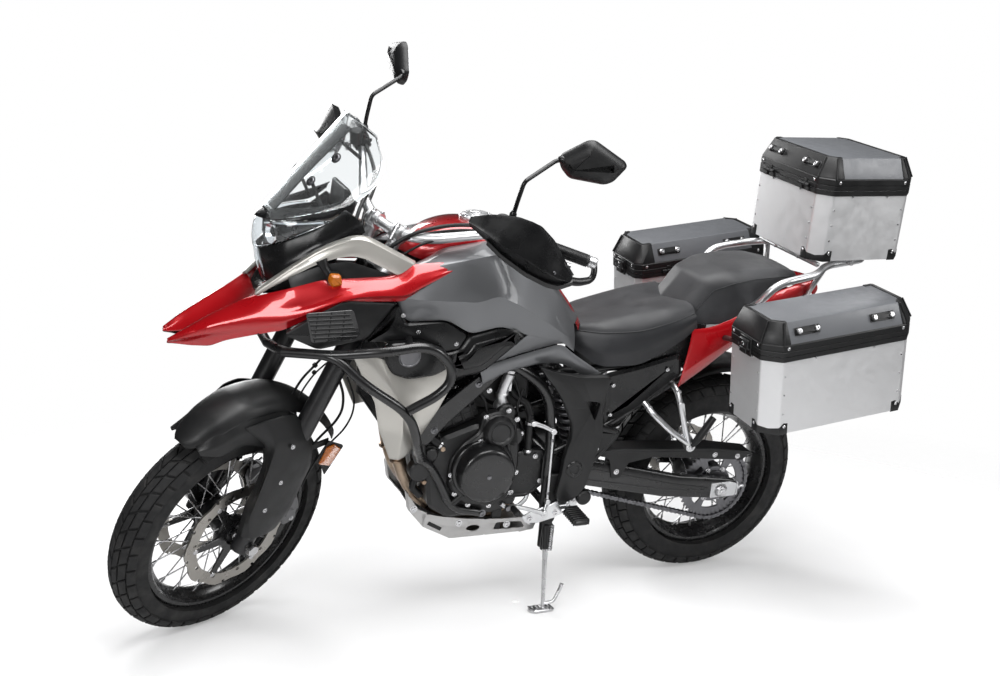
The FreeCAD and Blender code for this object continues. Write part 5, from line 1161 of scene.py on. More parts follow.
def make_fairings():
    """Intake grilles, dark side bands and pods, the silver lower fairings and blank badges."""
    mouth = [(1300, 962), (1180, 966), (1160, 902), (1172, 888), (1284, 884)]
    rim_out = [(1352, 908), (1240, 970), (1205, 986), (1068, 976), (1036, 916), (1155, 884),
        (1266, 864)]
    shell = stack([(inset(rounded(rim_out, 14), grow), y) for y, grow in ((150, 10), (180, 2),
        (190, 0), (193, 6))])
    piece("intake_shells", both(shell), "black", edge=1.0, cad=("intake_panels",))
    pit = plate(rounded(mouth, 8), 192, 195.6, 0.8)
    piece("intake_mouths", both(pit), "black_gloss")
    blades = join(*[slat(1296 - 3 * i, 1168 + 4 * (5 - i), 956 - 11.5 * i, 6, 194.8)
        for i in range(6)])
    ribs = join(*[bar((1270 - 34 * i, 195, 962), (1276 - 34 * i, 195, 886), 1.6, 6)
        for i in range(3)])
    piece("intake_slats", both(blades, ribs), "black_smooth")
    band = rounded([(1072, 984), (1044, 922), (936, 926), (872, 884), (896, 842), (952, 838),
        (1006, 868), (1150, 880), (1092, 912), (1078, 940)], 12)
    bands = layered(band, (0, 176), (0, 190), (5, 196))
    pod = rounded([(872, 884), (786, 903), (744, 903), (704, 872), (820, 776), (906, 760),
        (950, 838), (896, 846)], 16)
    pods = layered(pod, (0, 168), (0, 188), (6, 198), (16, 203))
    rise = layered(pod, (24, 202), (30, 207), (38, 208))
    piece("side_bands", both(bands), "black_smooth", edge=1.0)
    piece("side_pods", both(pods, rise), "black_smooth", edge=1.2)
    screws("band_screws", [(1052, 196, 946), (905, 196, 862), (1010, 196, 900)], 4.2, 3.6)
    front = [(1180, 192, 848), (1118, 204, 716), (1104, 202, 640), (1066, 186, 546)]
    fold = [(1112, 220, 842), (1052, 240, 706), (1048, 232, 634), (1044, 196, 545)]
    fold2 = [(1020, 206, 800), (1000, 212, 734), (1006, 214, 640), (1028, 192, 549)]
    rear = [(932, 210, 806), (916, 216, 756), (946, 206, 684), (1010, 182, 556)]
    silver = skin([front, fold, fold2, rear], (0.5, 0.5, 0.5), 40, 5, 0.06)
    piece("silver_fairings", both(silver), "silver", wall=3.5, edge=1.2, cad=("lower_fairings",))
    back = rounded([(1106, 846), (1084, 800), (1038, 782), (966, 788), (930, 806), (936, 852),
        (1002, 882), (1092, 882)], 16)
    backing = layered(back, (0, 200), (0, 222), (6, 228))
    piece("badge_housings", both(backing), "black_smooth", edge=1.0)
    badge = join(lathe([(0, 0), (0, 27), (2.5, 26), (3, 0)], (1040, 227, 848), Y, 48),
        ring_lathe([(0, 25), (0, 30), (4, 29.5), (5, 28), (4, 26), (3, 25)], (1040, 227, 848), Y,
        48))
    piece("blank_badges", both(badge), "steel_dark")


def make_seats():
    """Rider and passenger seats: crowned covers with drooping skirts, seams and piping."""
    top = [(540, 0, 846), (505, 0, 850), (440, 0, 866), (340, 0, 884), (240, 0, 900),
        (170, 0, 905)]
    mid = [(540, 34, 845), (505, 50, 850), (440, 84, 866), (340, 100, 886), (240, 104, 904),
        (170, 98, 910)]
    shoulder = [(541, 56, 836), (508, 78, 838), (446, 122, 840), (340, 146, 848), (240, 148, 872),
        (168, 134, 890)]
    skirt = [(542, 62, 818), (512, 96, 808), (456, 144, 786), (336, 156, 790), (226, 152, 836),
        (160, 138, 866)]
    hem = [(540, 60, 802), (516, 98, 788), (462, 140, 748), (332, 148, 748), (214, 146, 806),
        (152, 132, 846)]
    floor_ = [(538, 0, 800), (516, 0, 786), (462, 0, 752), (332, 0, 752), (214, 0, 808),
        (152, 0, 850)]
    cover = skin([top, mid, shoulder, skirt, hem], (2.0, 7.0, 4.0, 1.0), 72, 7, 0.16, Z)
    base = skin([hem, floor_], 0.0, 72, 2, 0.16, -Z)
    seat = piece("rider_cushion", both(cover, base), "seat", cad=("rider_seat",), smooth=50,
        weld=True)
    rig.padded(seat, fill=0.9)
    piping = tube(moved(shoulder, (0, 1.2, 0.6)), 1.2, 8, 64, 0.16)
    piece("rider_piping", both(piping), "seat")
    top2 = [(226, 0, 880), (148, 0, 980), (60, 0, 1001), (-20, 0, 1005), (-110, 0, 1004),
        (-186, 0, 990), (-206, 0, 960)]
    mid2 = [(210, 60, 876), (132, 66, 975), (56, 84, 997), (-20, 90, 1002), (-110, 84, 1004),
        (-184, 68, 988), (-202, 62, 958)]
    shoulder2 = [(168, 102, 864), (100, 106, 946), (48, 126, 970), (-20, 128, 982),
        (-108, 120, 984), (-176, 96, 978), (-190, 88, 958)]
    hem2 = [(150, 114, 846), (104, 120, 849), (50, 132, 852), (0, 132, 880), (-106, 116, 950),
        (-168, 94, 952), (-184, 86, 946)]
    floor2 = [(150, 0, 846), (104, 0, 850), (50, 0, 856), (0, 0, 888), (-106, 0, 950),
        (-168, 0, 952), (-184, 0, 946)]
    cover2 = skin([top2, mid2, shoulder2, hem2], (1.0, 6.0, 3.0), 96, 8, 0.05, Z)
    base2 = skin([hem2, floor2], 0.0, 96, 2, 0.05, -Z)
    rear = piece("pillion_cushion", both(cover2, base2), "seat_rear", cad=("passenger_seat",),
        smooth=34, weld=True)
    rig.padded(rear, fill=0.9)
    piping2 = tube(moved(shoulder2, (0, 1.2, 0.8)), 1.2, 8, 96, 0.05)
    piece("pillion_piping", both(piping2), "seat")


def make_side_panels():
    """Frame covers with their triangular window, rear panels, red tail panels and tail lamp."""
    cover = rounded([(672, 784), (600, 757), (520, 742), (437, 738), (449, 628), (442, 560),
        (462, 480), (478, 404), (506, 366), (556, 352), (572, 384), (560, 450), (556, 509),
        (541, 554), (543, 600), (576, 668), (617, 728)], 12)
    hole = rounded([(508, 668), (462, 660), (474, 604)], 8)[::-1]
    lobe = rounded([(520, 590), (442, 580), (378, 560), (395, 529), (453, 466), (500, 440),
        (540, 470), (536, 560)], 12)
    piece("frame_covers", both(holed_plate(cover, hole, 172, 187, 5)), "black", edge=0.8,
        cad=("side_covers",))
    disc = lathe([(184, 0), (184, 25), (188, 25), (191, 22), (191, 14), (189, 12), (189, 0)],
        (523, 0, 462), Y, 40)
    lobes = layered(lobe, (0, 150), (0, 168), (4, 172), (12, 172), (14, 170))
    # shade: a dark plate behind the cover's window, painted shade standing in for the dark, shaded inside seen through
    # it
    shade = plate(rounded([(522, 690), (446, 684), (456, 584), (492, 584)], 8), 150, 160, 1)
    piece("frame_cover_lobes", both(disc, lobes, shade), "black_smooth", edge=0.8)
    rear = rounded([(432, 724), (330, 742), (198, 772), (188, 704), (326, 604), (432, 552)], 18)
    rears = layered(rear, (0, 132), (0, 138), (10, 142), (26, 137))
    fill = plate([(340, 730), (340, 764), (214, 818), (150, 858), (120, 850), (150, 760),
        (190, 730)], 112, 128, 1)
    piece("rear_panels", both(rears, fill), "black_smooth", edge=1.0)
    screws("panel_screws", [(451, 172, 512), (405, 142, 690), (236, 140, 726), (405, 142, 600)],
        4.2, 3.6)
    low = [(197, 140, 666), (120, 138, 716), (26, 137, 786), (-110, 126, 856), (-244, 92, 934)]
    fold = [(190, 148, 730), (116, 150, 778), (16, 148, 834), (-112, 134, 892), (-250, 96, 946)]
    crest = [(168, 134, 842), (112, 138, 846), (36, 138, 872), (-106, 126, 944), (-240, 92, 966)]
    tail = skin([low, fold, crest], (3.0, 4.0), 50, 7, 0.12)
    piece("tail_sides", both(tail), "red", wall=3, edge=1.0, cad=("tail_panels",))
    lamp = skin([[(-246, 86, 898), (-296, 44, 898), (-306, 0, 898)], [(-252, 96, 922),
        (-304, 50, 920), (-315, 0, 920)], [(-246, 86, 948), (-296, 42, 944), (-306, 0, 944)]],
        (2.0, 2.0), 24, 5, 0.3, -X)
    piece("tail_lamp", both(lamp), "red_lens", wall=3, edge=0.8, cad=("tail_light",), weld=True)


def holed_plate(outline, hole, low, high, edge):
    """Plate with one window: the walls of both outlines and a face ring between them, whose
    strips join each outline point to the hole point that lies in the same direction."""
    middle = np.asarray(hole).mean(0)
    count = 96
    a = np.linspace(-math.pi, math.pi, count, endpoint=False)

    def ray(points):
        """Distance from the hole's middle to an outline in each direction."""
        p = np.asarray(points, float) - middle
        q = np.roll(p, -1, 0)
        d = np.stack([np.cos(a), np.sin(a)], 1)
        e = q - p
        cross = d[:, None, 0] * e[None, :, 1] - d[:, None, 1] * e[None, :, 0]
        cross = np.where(np.abs(cross) < 1e-9, 1e-9, cross)
        t = (p[None, :, 0] * e[None, :, 1] - p[None, :, 1] * e[None, :, 0]) / cross
        u = (p[None, :, 0] * d[:, None, 1] - p[None, :, 1] * d[:, None, 0]) / cross
        good = (u >= -1e-6) & (u <= 1 + 1e-6) & (t > 0)
        return np.where(good, t, 0).max(1)

    far, near = ray(outline), ray(hole)
    d = np.stack([np.cos(a), np.sin(a)], 1)
    rows = [(near, low), (near, high - 1), (near + 1.5, high), (far - edge, high),
        (far, high - edge), (far, low)]
    points = np.stack([np.column_stack([middle[0] + r * d[:, 0], np.full(count, float(y)),
        middle[1] + r * d[:, 1]]) for r, y in rows])
    return outward(grid(points, wrap_u=True, wrap_v=True))


# ---------------------------------------------------------------- fork, fender and brakes
FENDER_MIDDLE = np.array([WHEELBASE - 30.0, 0.0, FRONT_TYRE_R + 30.0])
STEERED = dict(body="steering")


def ring_round(a, b, r_in, r_out, n=36):
    """Collar round the line from a to b."""
    a, b = np.asarray(a, float), np.asarray(b, float)
    long = np.linalg.norm(b - a)
    return ring_lathe([(0, r_in), (0, r_out - 1), (1, r_out), (long - 1, r_out), (long, r_out - 1),
        (long, r_in)], a, b - a, n)


def fender_shell():
    """Crowned arch: its crest lies at a radius that changes with the angle round the wheel, and
    each cross-section falls away from the crest towards two creases and the rims."""
    a = np.radians(np.linspace(57, 149, 64))
    crest = np.interp(np.degrees(a), (57, 68, 84, 102, 120, 137, 149), (354, 371, 385, 381, 368,
        356, 350))
    half = np.interp(np.degrees(a), (57, 59, 63, 72, 90, 120, 149), (22, 38, 52, 64, 72, 71, 58))
    share = np.array([-1, -0.97, -0.86, -0.7, -0.5, -0.25, 0, 0.25, 0.5, 0.7, 0.86, 0.97, 1.0])
    fall = np.interp(abs(share), (0, 0.25, 0.5, 0.7, 0.86, 0.97, 1.0), (0, 1, 4.5, 9.5, 20, 33,
        38))
    depth = np.interp(np.degrees(a), (57, 66, 90, 149), (0.35, 0.8, 1.0, 0.8))
    r = crest[:, None] - fall[None] * depth[:, None]
    points = np.stack([FENDER_MIDDLE[0] + r * np.cos(a)[:, None], half[:, None] * share[None],
        FENDER_MIDDLE[2] + r * np.sin(a)[:, None]], -1)
    return facing(grid(points), Z)


def make_front_end():
    """Front fender and leg covers, fork collars, calipers, disc carriers, hoses, reflectors."""
    side_top = [(1620, 40, 656), (1580, 54, 684), (1520, 61, 706), (1450, 65, 716),
        (1385, 66, 707), (1330, 66, 684)]
    side_low = [(1618, 62, 640), (1564, 76, 626), (1496, 80, 640), (1452, 86, 622),
        (1420, 92, 600), (1372, 96, 590)]
    side = skin([side_top, [(1624, 60, 655), (1576, 74, 660), (1512, 79, 678), (1452, 85, 672),
        (1400, 92, 660), (1345, 94, 640)], side_low], (1.0, 1.0), 48, 5, 0.12)
    piece("fender_shell", join(fender_shell(), both(side)), "black", wall=2.8, edge=0.8,
        cad=("front_fender",), **STEERED)
    front = [(1500, 78, 690), (1442, 96, 625), (1446, 112, 565), (1471, 119, 506),
        (1496, 120, 455), (1506, 118, 372)]
    crease = [(1450, 92, 706), (1436, 126, 640), (1462, 136, 574), (1482, 137, 508),
        (1499, 134, 446), (1490, 130, 364)]
    middle = [(1400, 96, 706), (1384, 132, 640), (1392, 138, 570), (1412, 138, 500),
        (1444, 136, 430), (1446, 131, 356)]
    rear = [(1352, 92, 690), (1322, 122, 632), (1311, 128, 590), (1307, 126, 532),
        (1328, 126, 478), (1357, 124, 396), (1394, 120, 350)]
    tuck = [(x + 6, y - 24, z) for x, y, z in rear]
    inner = [(x - 6, y - 22, z) for x, y, z in front]
    cover = skin([inner, front, crease, middle, rear, tuck], (0.0, 0.5, 1.5, 1.5, 0.0), 56, 5,
        0.08)
    piece("fork_covers", both(cover), "black", wall=2.8, edge=0.8, cad=("fork_guards",), **STEERED)
    spots = [(1416, 139.5, 527), (1455, 137.5, 451), (1392, 139.5, 632)]
    screws("fork_cover_screws", spots, 4.6, 4.0, **STEERED)

    def band(low, high, r):
        """Collar round the left leg between two places along it."""
        return ring_round(fork_at(FORK_OFFSET, FORK_HALF, low),
            fork_at(FORK_OFFSET, FORK_HALF, high), 26, r)

    bands = [band(300, 308, 29.5), *[band(low, low + 3, 28.6) for low in (640, 668, 812, 834)]]
    top = fork_at(FORK_OFFSET, FORK_HALF, 848)
    cap = bar(top, top + FORK_UP * 6, 24, 32, 1.5)
    nut = lathe([(5, 0), (5, 9.5), (12, 9.5), (13, 8), (13, 0)], top, FORK_UP, 6)
    piece("fork_collars", both(band(262, 292, 30.5)), "steel", **STEERED)
    piece("fork_bands", both(*bands), "fork", **STEERED)
    piece("fork_caps", both(cap, nut), "anodised", **STEERED)
    face = rounded([(-20, -32), (17, -36), (24, 18), (8, 34), (-22, 26)], 5)
    lean = np.stack([unit((0.88, -0.2, 0.44)), unit((-0.4, 0.12, 0.9)), (0.18, 0.98, -0.04)])
    lens = layered(face, (2, 2), (0, 3), (0, 6), (3, 8), plane="xy")
    back = stack([(rounded([(-26, -66), (2, -40), (28, -34), (28, 38), (-27, 36)], 5), z)
        for z in (-2, 2)], "xy")
    place = (1232, 112, 530)
    piece("fork_reflectors", both(put(lens, place, lean)), "amber", **STEERED)
    arm = block((1262, 100, 566), (60, 5, 20), 1)
    piece("reflector_brackets", both(put(back, place, lean), arm), "black", **STEERED)
    calipers()
    hoses()


def calipers():
    """Caliper halves with pistons' bulges, bridge bolts, and the black disc carriers."""
    outline = rounded([(-56, -22), (-40, -30), (40, -30), (58, -18), (54, 16), (30, 24), (16, 34),
        (-20, 34), (-34, 22), (-56, 18)], 8)
    for centre, axle, depth, sides, body, cad in (((1330, 0, 372), FRONT_AXLE, 62, (1, -1),
            "steering", "front_calipers"), ((96, 0, 412), REAR_AXLE, 85, (-1,), "root",
            "rear_caliper")):
        shapes, shine = [], []
        away = unit(np.asarray(centre, float) - axle)
        turn = np.stack([np.cross(Y, away), Y, away])
        for s in sides:
            halves = []
            for y0, y1 in ((depth + 9, depth + 30), (depth - 24, depth - 4)):
                halves.append(layered(outline, (3, y0), (0, y0 + 3), (0, y1 - 4), (4, y1),
                    plane="xz"))
            for x in (-22, 22):
                halves.append(bar((x, depth + 26, 0), (x, depth + 34, 0), 15, 24, 2))
            bridge = block((0, depth + 2, 30), (66, 48, 12), 3)
            shape = join(*halves, bridge)
            heads = join(*[bolts([(x, depth + 30, z)], Y, 5, 5) for x, z in ((-44, 2), (44, 2),
                (0, -22))], bar((30, depth + 16, 33), (34, depth + 16, 46), 4, 8, 0.8))
            for shape_, group in ((shape, shapes), (heads, shine)):
                points = shape_[0] * (1, s, 1)
                placed_ = (points @ turn + centre, shape_[1])
                group.append(outward(placed_) if s < 0 else placed_)
        name = "front" if body == "steering" else "rear"
        piece(name + "_caliper_halves", join(*shapes), "grey_metal", body=body, cad=(cad,))
        piece(name + "_caliper_screws", join(*shine), "steel", body=body)
    wide = 20
    for name, centre, y, r0, r1, count in (("front", FRONT_AXLE, 64.5, 34, 131, 6),
            ("rear", REAR_AXLE, -87.5, 30, 96, 5)):
        body = name + "_wheel"
        _, turns = star(count)
        outline_arm = [(r0 - 4, -wide * 0.75), (r1 - 14, -wide * 0.42), (r1, -wide * 0.36),
            (r1 + 2, 0), (r1, wide * 0.36), (r1 - 14, wide * 0.42), (r0 - 4, wide * 0.75)]
        arm = plate(outline_arm, -3.4, 3.4, 0.8, "xz")
        arms = copies(arm, centre + Y * y, turns)
        arms = arms if np.linalg.det(turns[0]) > 0 else flipped(arms)
        ring = ring_lathe([(-3.2, r0 - 2), (-3.2, r0 + 15), (3.2, r0 + 15), (3.2, r0 - 2)],
            centre + Y * y, Y, 48)
        buttons = copies(lathe([(-4.4, 0), (-4.4, 6.5), (-3.4, 7.5), (3.4, 7.5), (4.4, 6.5),
            (4.4, 0)], (r1 - 5, 0, 0), Y, 14), centre + Y * y, turns)
        buttons = buttons if np.linalg.det(turns[0]) > 0 else flipped(buttons)
        out = both if name == "front" else (lambda shape: shape)
        piece(name + "_disc_carrier", out(join(outward_all(arms, count), ring)), "rim", body=body)
        piece(name + "_disc_buttons", out(outward_all(buttons, count)), "steel", body=body)


def rows_along(ways):
    """Axis rows that turn a shape's x to each way, with its y kept across the machine."""
    return np.stack([ways, np.broadcast_to(Y, ways.shape), np.cross(ways, Y)], 1)


def star(count):
    """Directions at even steps round a wheel, with the axis rows that point a shape along them."""
    t = np.radians(np.arange(count) * 360.0 / count)
    ways = np.stack([np.cos(t), 0 * t, np.sin(t)], 1)
    return ways, rows_along(ways)


def first_of(shape, count):
    """First of many equal closed shapes."""
    size = len(shape[0]) // count
    return shape[0][:size], [face for face in shape[1] if max(face) < size]


def outward_all(shape, count):
    """Copies of one closed shape, all turned so that the first one's faces point outwards."""
    first = first_of(shape, count)
    return shape if outward(first)[1][0] == first[1][0] else flipped(shape)


def hoses():
    """Brake hoses and cables looping between the steering head, the bars and the wheels."""
    runs = [([(1128, -30, 742), (1166, -20, 764), (1230, 4, 752), (1292, 22, 734), (1340, 40, 686),
        (1352, 56, 650)], 3.4), ([(1130, -10, 736), (1180, 4, 752), (1246, 22, 740),
        (1300, 40, 710), (1330, 56, 670)], 2.4), ([(1196, 70, 730), (1184, 92, 672),
        (1212, 104, 626), (1262, 102, 600), (1290, 96, 560), (1300, 92, 480), (1318, 88, 424)],
        3.6), ([(1172, 70, 736), (1146, 96, 660), (1176, 108, 596), (1236, 106, 560),
        (1270, 96, 500), (1294, 90, 430)], 2.6)]
    piece("front_hoses", join(*[tube(p, r, 10, 60, 0.22) for p, r in runs]), "rubber", **STEERED)
    clips = [ring_round((1226, 3, 753), (1234, 5, 751), 3, 7, 14), ring_round((1238, 17, 742),
        (1246, 19, 740), 2, 6, 14)]
    piece("hose_clips", join(*clips), "black", **STEERED)
    bar_runs = [([(1104, 62, 1092), (1078, 84, 1136), (1030, 110, 1164), (968, 150, 1186),
        (930, 214, 1206), (912, 262, 1222)], 5.2), ([(1096, 40, 1082), (1066, 76, 1128),
        (1010, 112, 1152), (950, 160, 1172), (912, 232, 1194)], 4.2), ([(1108, 80, 1060),
        (1090, 104, 1100), (1040, 130, 1140), (980, 176, 1166), (930, 240, 1190)], 3.2)]
    shapes = [tube(p, r, 12, 56, 0.24) for p, r in bar_runs]
    piece("bar_hoses", join(*shapes, *[mirrored(s) for s in shapes]), "rubber", **STEERED)


# ---------------------------------------------------------------- handlebar
BAR_END, BAR_GRIP = np.array([780.0, 455, 1190]), np.array([905.0, 285, 1216])
GRIP_LINE = unit(BAR_END - BAR_GRIP)
GRIP_LONG = float(np.linalg.norm(BAR_END - BAR_GRIP))
BAR_CENTRE = fork_at(8, 0, 905)


def grip_at(d, up=0.0, ahead=0.0):
    """Point on the left grip line, raised and moved ahead by so much."""
    return BAR_GRIP + GRIP_LINE * d + (ahead, 0, up)


def make_bars():
    """Handlebar with clamps, grips, switch boxes, levers, hand guards and mirrors."""
    mid_left = BAR_CENTRE + (0, 90, 0)
    line = [BAR_END, BAR_GRIP, mid_left, BAR_CENTRE, mid_left * (1, -1, 1), BAR_GRIP * (1, -1, 1),
        BAR_END * (1, -1, 1)]
    piece("bar_tube", tube(line, [11, 11, 11.5, 14.3, 14.3, 14.3, 11.5, 11, 11], 20, 140, 0.16),
        "alloy", cad=("handlebar",), **STEERED)
    spots = np.arange(0, GRIP_LONG - 76, 4.2)
    profile = [(0, 12), (0, 20), (5, 20.5), (7, 17)]
    for d in spots:
        profile += [(9 + d, 16.6), (11.4 + d, 16.6), (11.8 + d, 15.4), (12.8 + d, 15.4)]
    profile += [(GRIP_LONG - 62, 16.8), (GRIP_LONG - 60, 12)]
    piece("bar_grips", both(ring_lathe(profile, grip_at(60), GRIP_LINE, 28)), "rubber", **STEERED)
    weight = lathe([(0, 0), (0, 13), (2, 15), (6, 15), (7, 13.6), (9, 13.6), (10, 15), (19, 15),
        (22, 12), (22, 0)], BAR_END, GRIP_LINE, 28)
    piece("bar_end_weights", both(weight), "alloy", **STEERED)
    grip_axes = np.stack([unit(np.cross(GRIP_LINE, Z)), unit(np.cross(np.cross(GRIP_LINE, Z),
        GRIP_LINE)), GRIP_LINE])
    section = rounded([(-22, -24), (20, -22), (26, -4), (22, 20), (-14, 24), (-26, 8)], 9)

    def along_grip(shape, d):
        return outward(put(shape, grip_at(d), grip_axes))

    housing = layered(section, (3, 0), (0, 3), (0, 18), (1, 19), (0, 20), (0, 35), (4, 39),
        plane="xy")
    perch = layered(section, (6, -16), (4, -14), (4, 6), (6, 8), plane="xy")
    pot = lathe([(0, 0), (0, 17), (28, 17), (29, 19), (36, 19), (38, 17), (38, 0)],
        grip_at(-6, 10, 26), unit((0.12, 0.05, 1)), 28)
    buttons = join(*[block((-27, y, z), (5, 9, 6), 1) for y, z in ((-8, 10), (6, 10), (-2, 26))])
    piece("switch_boxes", both(along_grip(housing, 20), along_grip(perch, 4), pot), "black",
        cad=("hand_controls",), **STEERED)
    piece("switch_buttons", both(along_grip(buttons, 20)), "grey_moulding", **STEERED)
    pivot = grip_at(6, -4, 42) + (0, 8, 0)
    lever = tube([pivot, grip_at(62, -6, 60), grip_at(120, -7, 56), grip_at(GRIP_LONG - 14, -8,
        46)], [8, 7, 5.5, 6.5], 12, 48, 0.3, 0.7)
    knob = bar(pivot - Z * 12, pivot + Z * 12, 8, 20, 1.5)
    piece("levers", both(lever, knob), "alloy", **STEERED)
    hand_guards()
    mirrors()
    clamps()


def hand_guards():
    """Angular shells ahead of the levers with a blade back to each bar end."""
    lip = [(1010, 262, 1270), (975, 300, 1284), (942, 350, 1290), (918, 386, 1286),
        (890, 416, 1254), (856, 440, 1200), (828, 456, 1162)]
    top = [(1040, 262, 1277), (1006, 300, 1294), (970, 350, 1304), (946, 386, 1300),
        (916, 420, 1268), (880, 448, 1214), (846, 464, 1168)]
    fold = [(1050, 266, 1266), (1034, 308, 1254), (1016, 350, 1238), (984, 400, 1220),
        (944, 442, 1194), (900, 464, 1172), (850, 474, 1154)]
    low = [(1040, 262, 1252), (1008, 300, 1220), (984, 334, 1192), (946, 388, 1162),
        (908, 432, 1144), (880, 452, 1138), (848, 466, 1138)]
    under = [(1016, 258, 1250), (984, 292, 1216), (958, 322, 1188), (922, 374, 1158),
        (884, 416, 1142), (858, 436, 1136), (830, 452, 1138)]
    shell = skin([lip, top, fold, low, under], (0.0, 0.5, -1.5, 0.0), 56, 5, 0.05, X)
    rest = low[1:-1] + [(846, 466, 1150)]
    rim = skin([moved(rest, (1, 2, 14)), moved(rest, (10, 10, 9)), moved(rest, (8, 8, -4)),
        moved(rest, (-12, -6, -6))], 0.0, 48, 3, 0.06, X)
    shell = join(shell, rim)
    piece("guard_shells", both(shell), "black_smooth", wall=3.2, edge=1.0, cad=("hand_guards",),
        **STEERED)
    end = BAR_END + GRIP_LINE * 16
    blade = tube([(868, 456, 1158), (828, 474, 1150), (788, 484, 1152), end + (6, 12, -20), end,
        end + (-2, -3, 8)], [11, 11, 10, 9, 9, 8], 14, 56, 0.2, 0.6)
    arm = tube([(1030, 268, 1268), (1000, 246, 1240), (957, 226, 1204)], 5, 10, 24, 0.2)
    piece("guard_blades", both(blade, arm), "black_smooth", **STEERED)
    heads = bolts([(985, 322, 1276), (912, 452, 1186)], [(0.75, 0.45, 0.45), (0.7, 0.7, 0.1)], 4.2,
        3.0)
    piece("guard_screws", both(heads), "steel_dark", **STEERED)


MIRROR_YAW = math.radians(30)


def mirrors():
    """Mirror heads on bent stems; the shell is domed towards the front, the glass looks back."""
    outline = rounded([(-82, -3), (-75, -31), (-45, -55), (47, -46), (66, -33), (90, 14), (82, 26),
        (-4, 59), (-23, 53)], 12, 4)
    c, s = math.cos(MIRROR_YAW), math.sin(MIRROR_YAW)
    yaw = [[c, s, 0], [-s, c, 0], [0, 0, 1]]
    centre = np.array([742.0, 360, 1412])

    def head(layers):
        return outward(put(stack(layers, "yz"), centre, yaw))

    dome = [(inset(outline, 2.5), -14), (outline, -12), (outline, -6)]
    dome += [(inset(outline, 42 * (1 - math.cos(t))), -6 + 26 * math.sin(t))
        for t in np.radians((20, 40, 58, 74))]
    piece("mirror_shells", both(head(dome)), "black", smooth=50, cad=("mirrors",), **STEERED)
    piece("mirror_glasses", both(head([(inset(outline, 6), -15.2), (inset(outline, 6), -13.5)])),
        "mirror", **STEERED)
    foot = grip_at(-2, 18.3)
    stem = tube([foot, foot + (-2, 2, 58), (896, 287, 1356), (788, 290, 1399), (768, 312, 1405)],
        5.6, 14, 72, 0.1)
    boot = lathe([(0, 0), (0, 9), (12, 9), (13, 7.5), (22, 7.5), (24, 9.5), (34, 9.5), (40, 6),
        (40, 0)], foot, Z, 24)
    ball = lathe([(-16, 0), (-14, 6), (-7, 10), (0, 11), (8, 10), (16, 13), (18, 0)],
        (778, 302, 1403), unit((-0.5, 0.8, 0.1)), 24)
    piece("mirror_stems", both(stem, boot, ball), "black_smooth", **STEERED)


def clamps():
    """Bar risers with their caps, the clamps' nut and pinch screws, and the ignition lock."""
    shapes, heads = [], []
    for y in (46.0, -46.0):
        foot = fork_at(8, y, 832)
        shapes.append(lathe([(0, 0), (0, 19), (3, 20), (44, 17), (60, 19), (74, 19), (74, 0)],
            foot, FORK_UP, 28))
        a, b = fork_at(8, y - 18, 905), fork_at(8, y + 18, 905)
        shapes.append(bar(a, b, 24, 32, 2.5))
        for ahead in (-17, 17):
            shapes.append(bar(fork_at(8 + ahead, y, 886), fork_at(8 + ahead, y, 924), 9, 16, 1))
            heads.append(bolts(fork_at(8 + ahead, y, 924), FORK_UP, 5.5, 6))
    piece("bar_risers", join(*shapes), "alloy", **STEERED)
    nut = lathe([(0, 0), (0, 21), (9, 21), (11, 18), (11, 0)], fork_at(0, 0, 843), FORK_UP, 6)
    for y in (FORK_HALF, -FORK_HALF):
        for along in (818, 642):
            heads.append(bolts([fork_at(FORK_OFFSET - 44, y * 1.02, along + d) for d in (-5, 9)],
                -FORK_AHEAD, 5, 6))
    piece("clamp_screws", join(nut, *heads), "steel", **STEERED)
    lock = bar(fork_at(46, 0, 800), fork_at(46, 0, 846), 17, 24, 1.5)
    piece("ignition_lock", lock, "black", **STEERED)


# ---------------------------------------------------------------- engine
CYLINDER_UP = unit((0.345, 0, 0.939))
CYLINDER_AHEAD = unit((0.939, 0, -0.345))
CYLINDER_FOOT = np.array([843.0, 0, 585.0])


def on_barrel(along, ahead, y):
    """Point beside the leaning cylinders: so far up them, so far ahead, so far out."""
    return CYLINDER_FOOT + CYLINDER_UP * along + CYLINDER_AHEAD * ahead + (0, y, 0)


def barrel_outline(low, high, back, front):
    """Side outline of one storey of the cylinders."""
    spots = [(low, back), (low, front), (high, front), (high, back)]
    return [tuple(on_barrel(a, b, 0)[[0, 2]]) for a, b in spots]


def boss(centre, rings, n=40):
    """Round boss with its axis across the machine, through (y, radius) rings."""
    side = np.sign(rings[-1][0])
    profile = [(abs(rings[0][0]), 0)] + [(abs(y), r) for y, r in rings] + [(abs(rings[-1][0]), 0)]
    return lathe(profile, np.array([centre[0], 0, centre[1]]), Y * side, n)


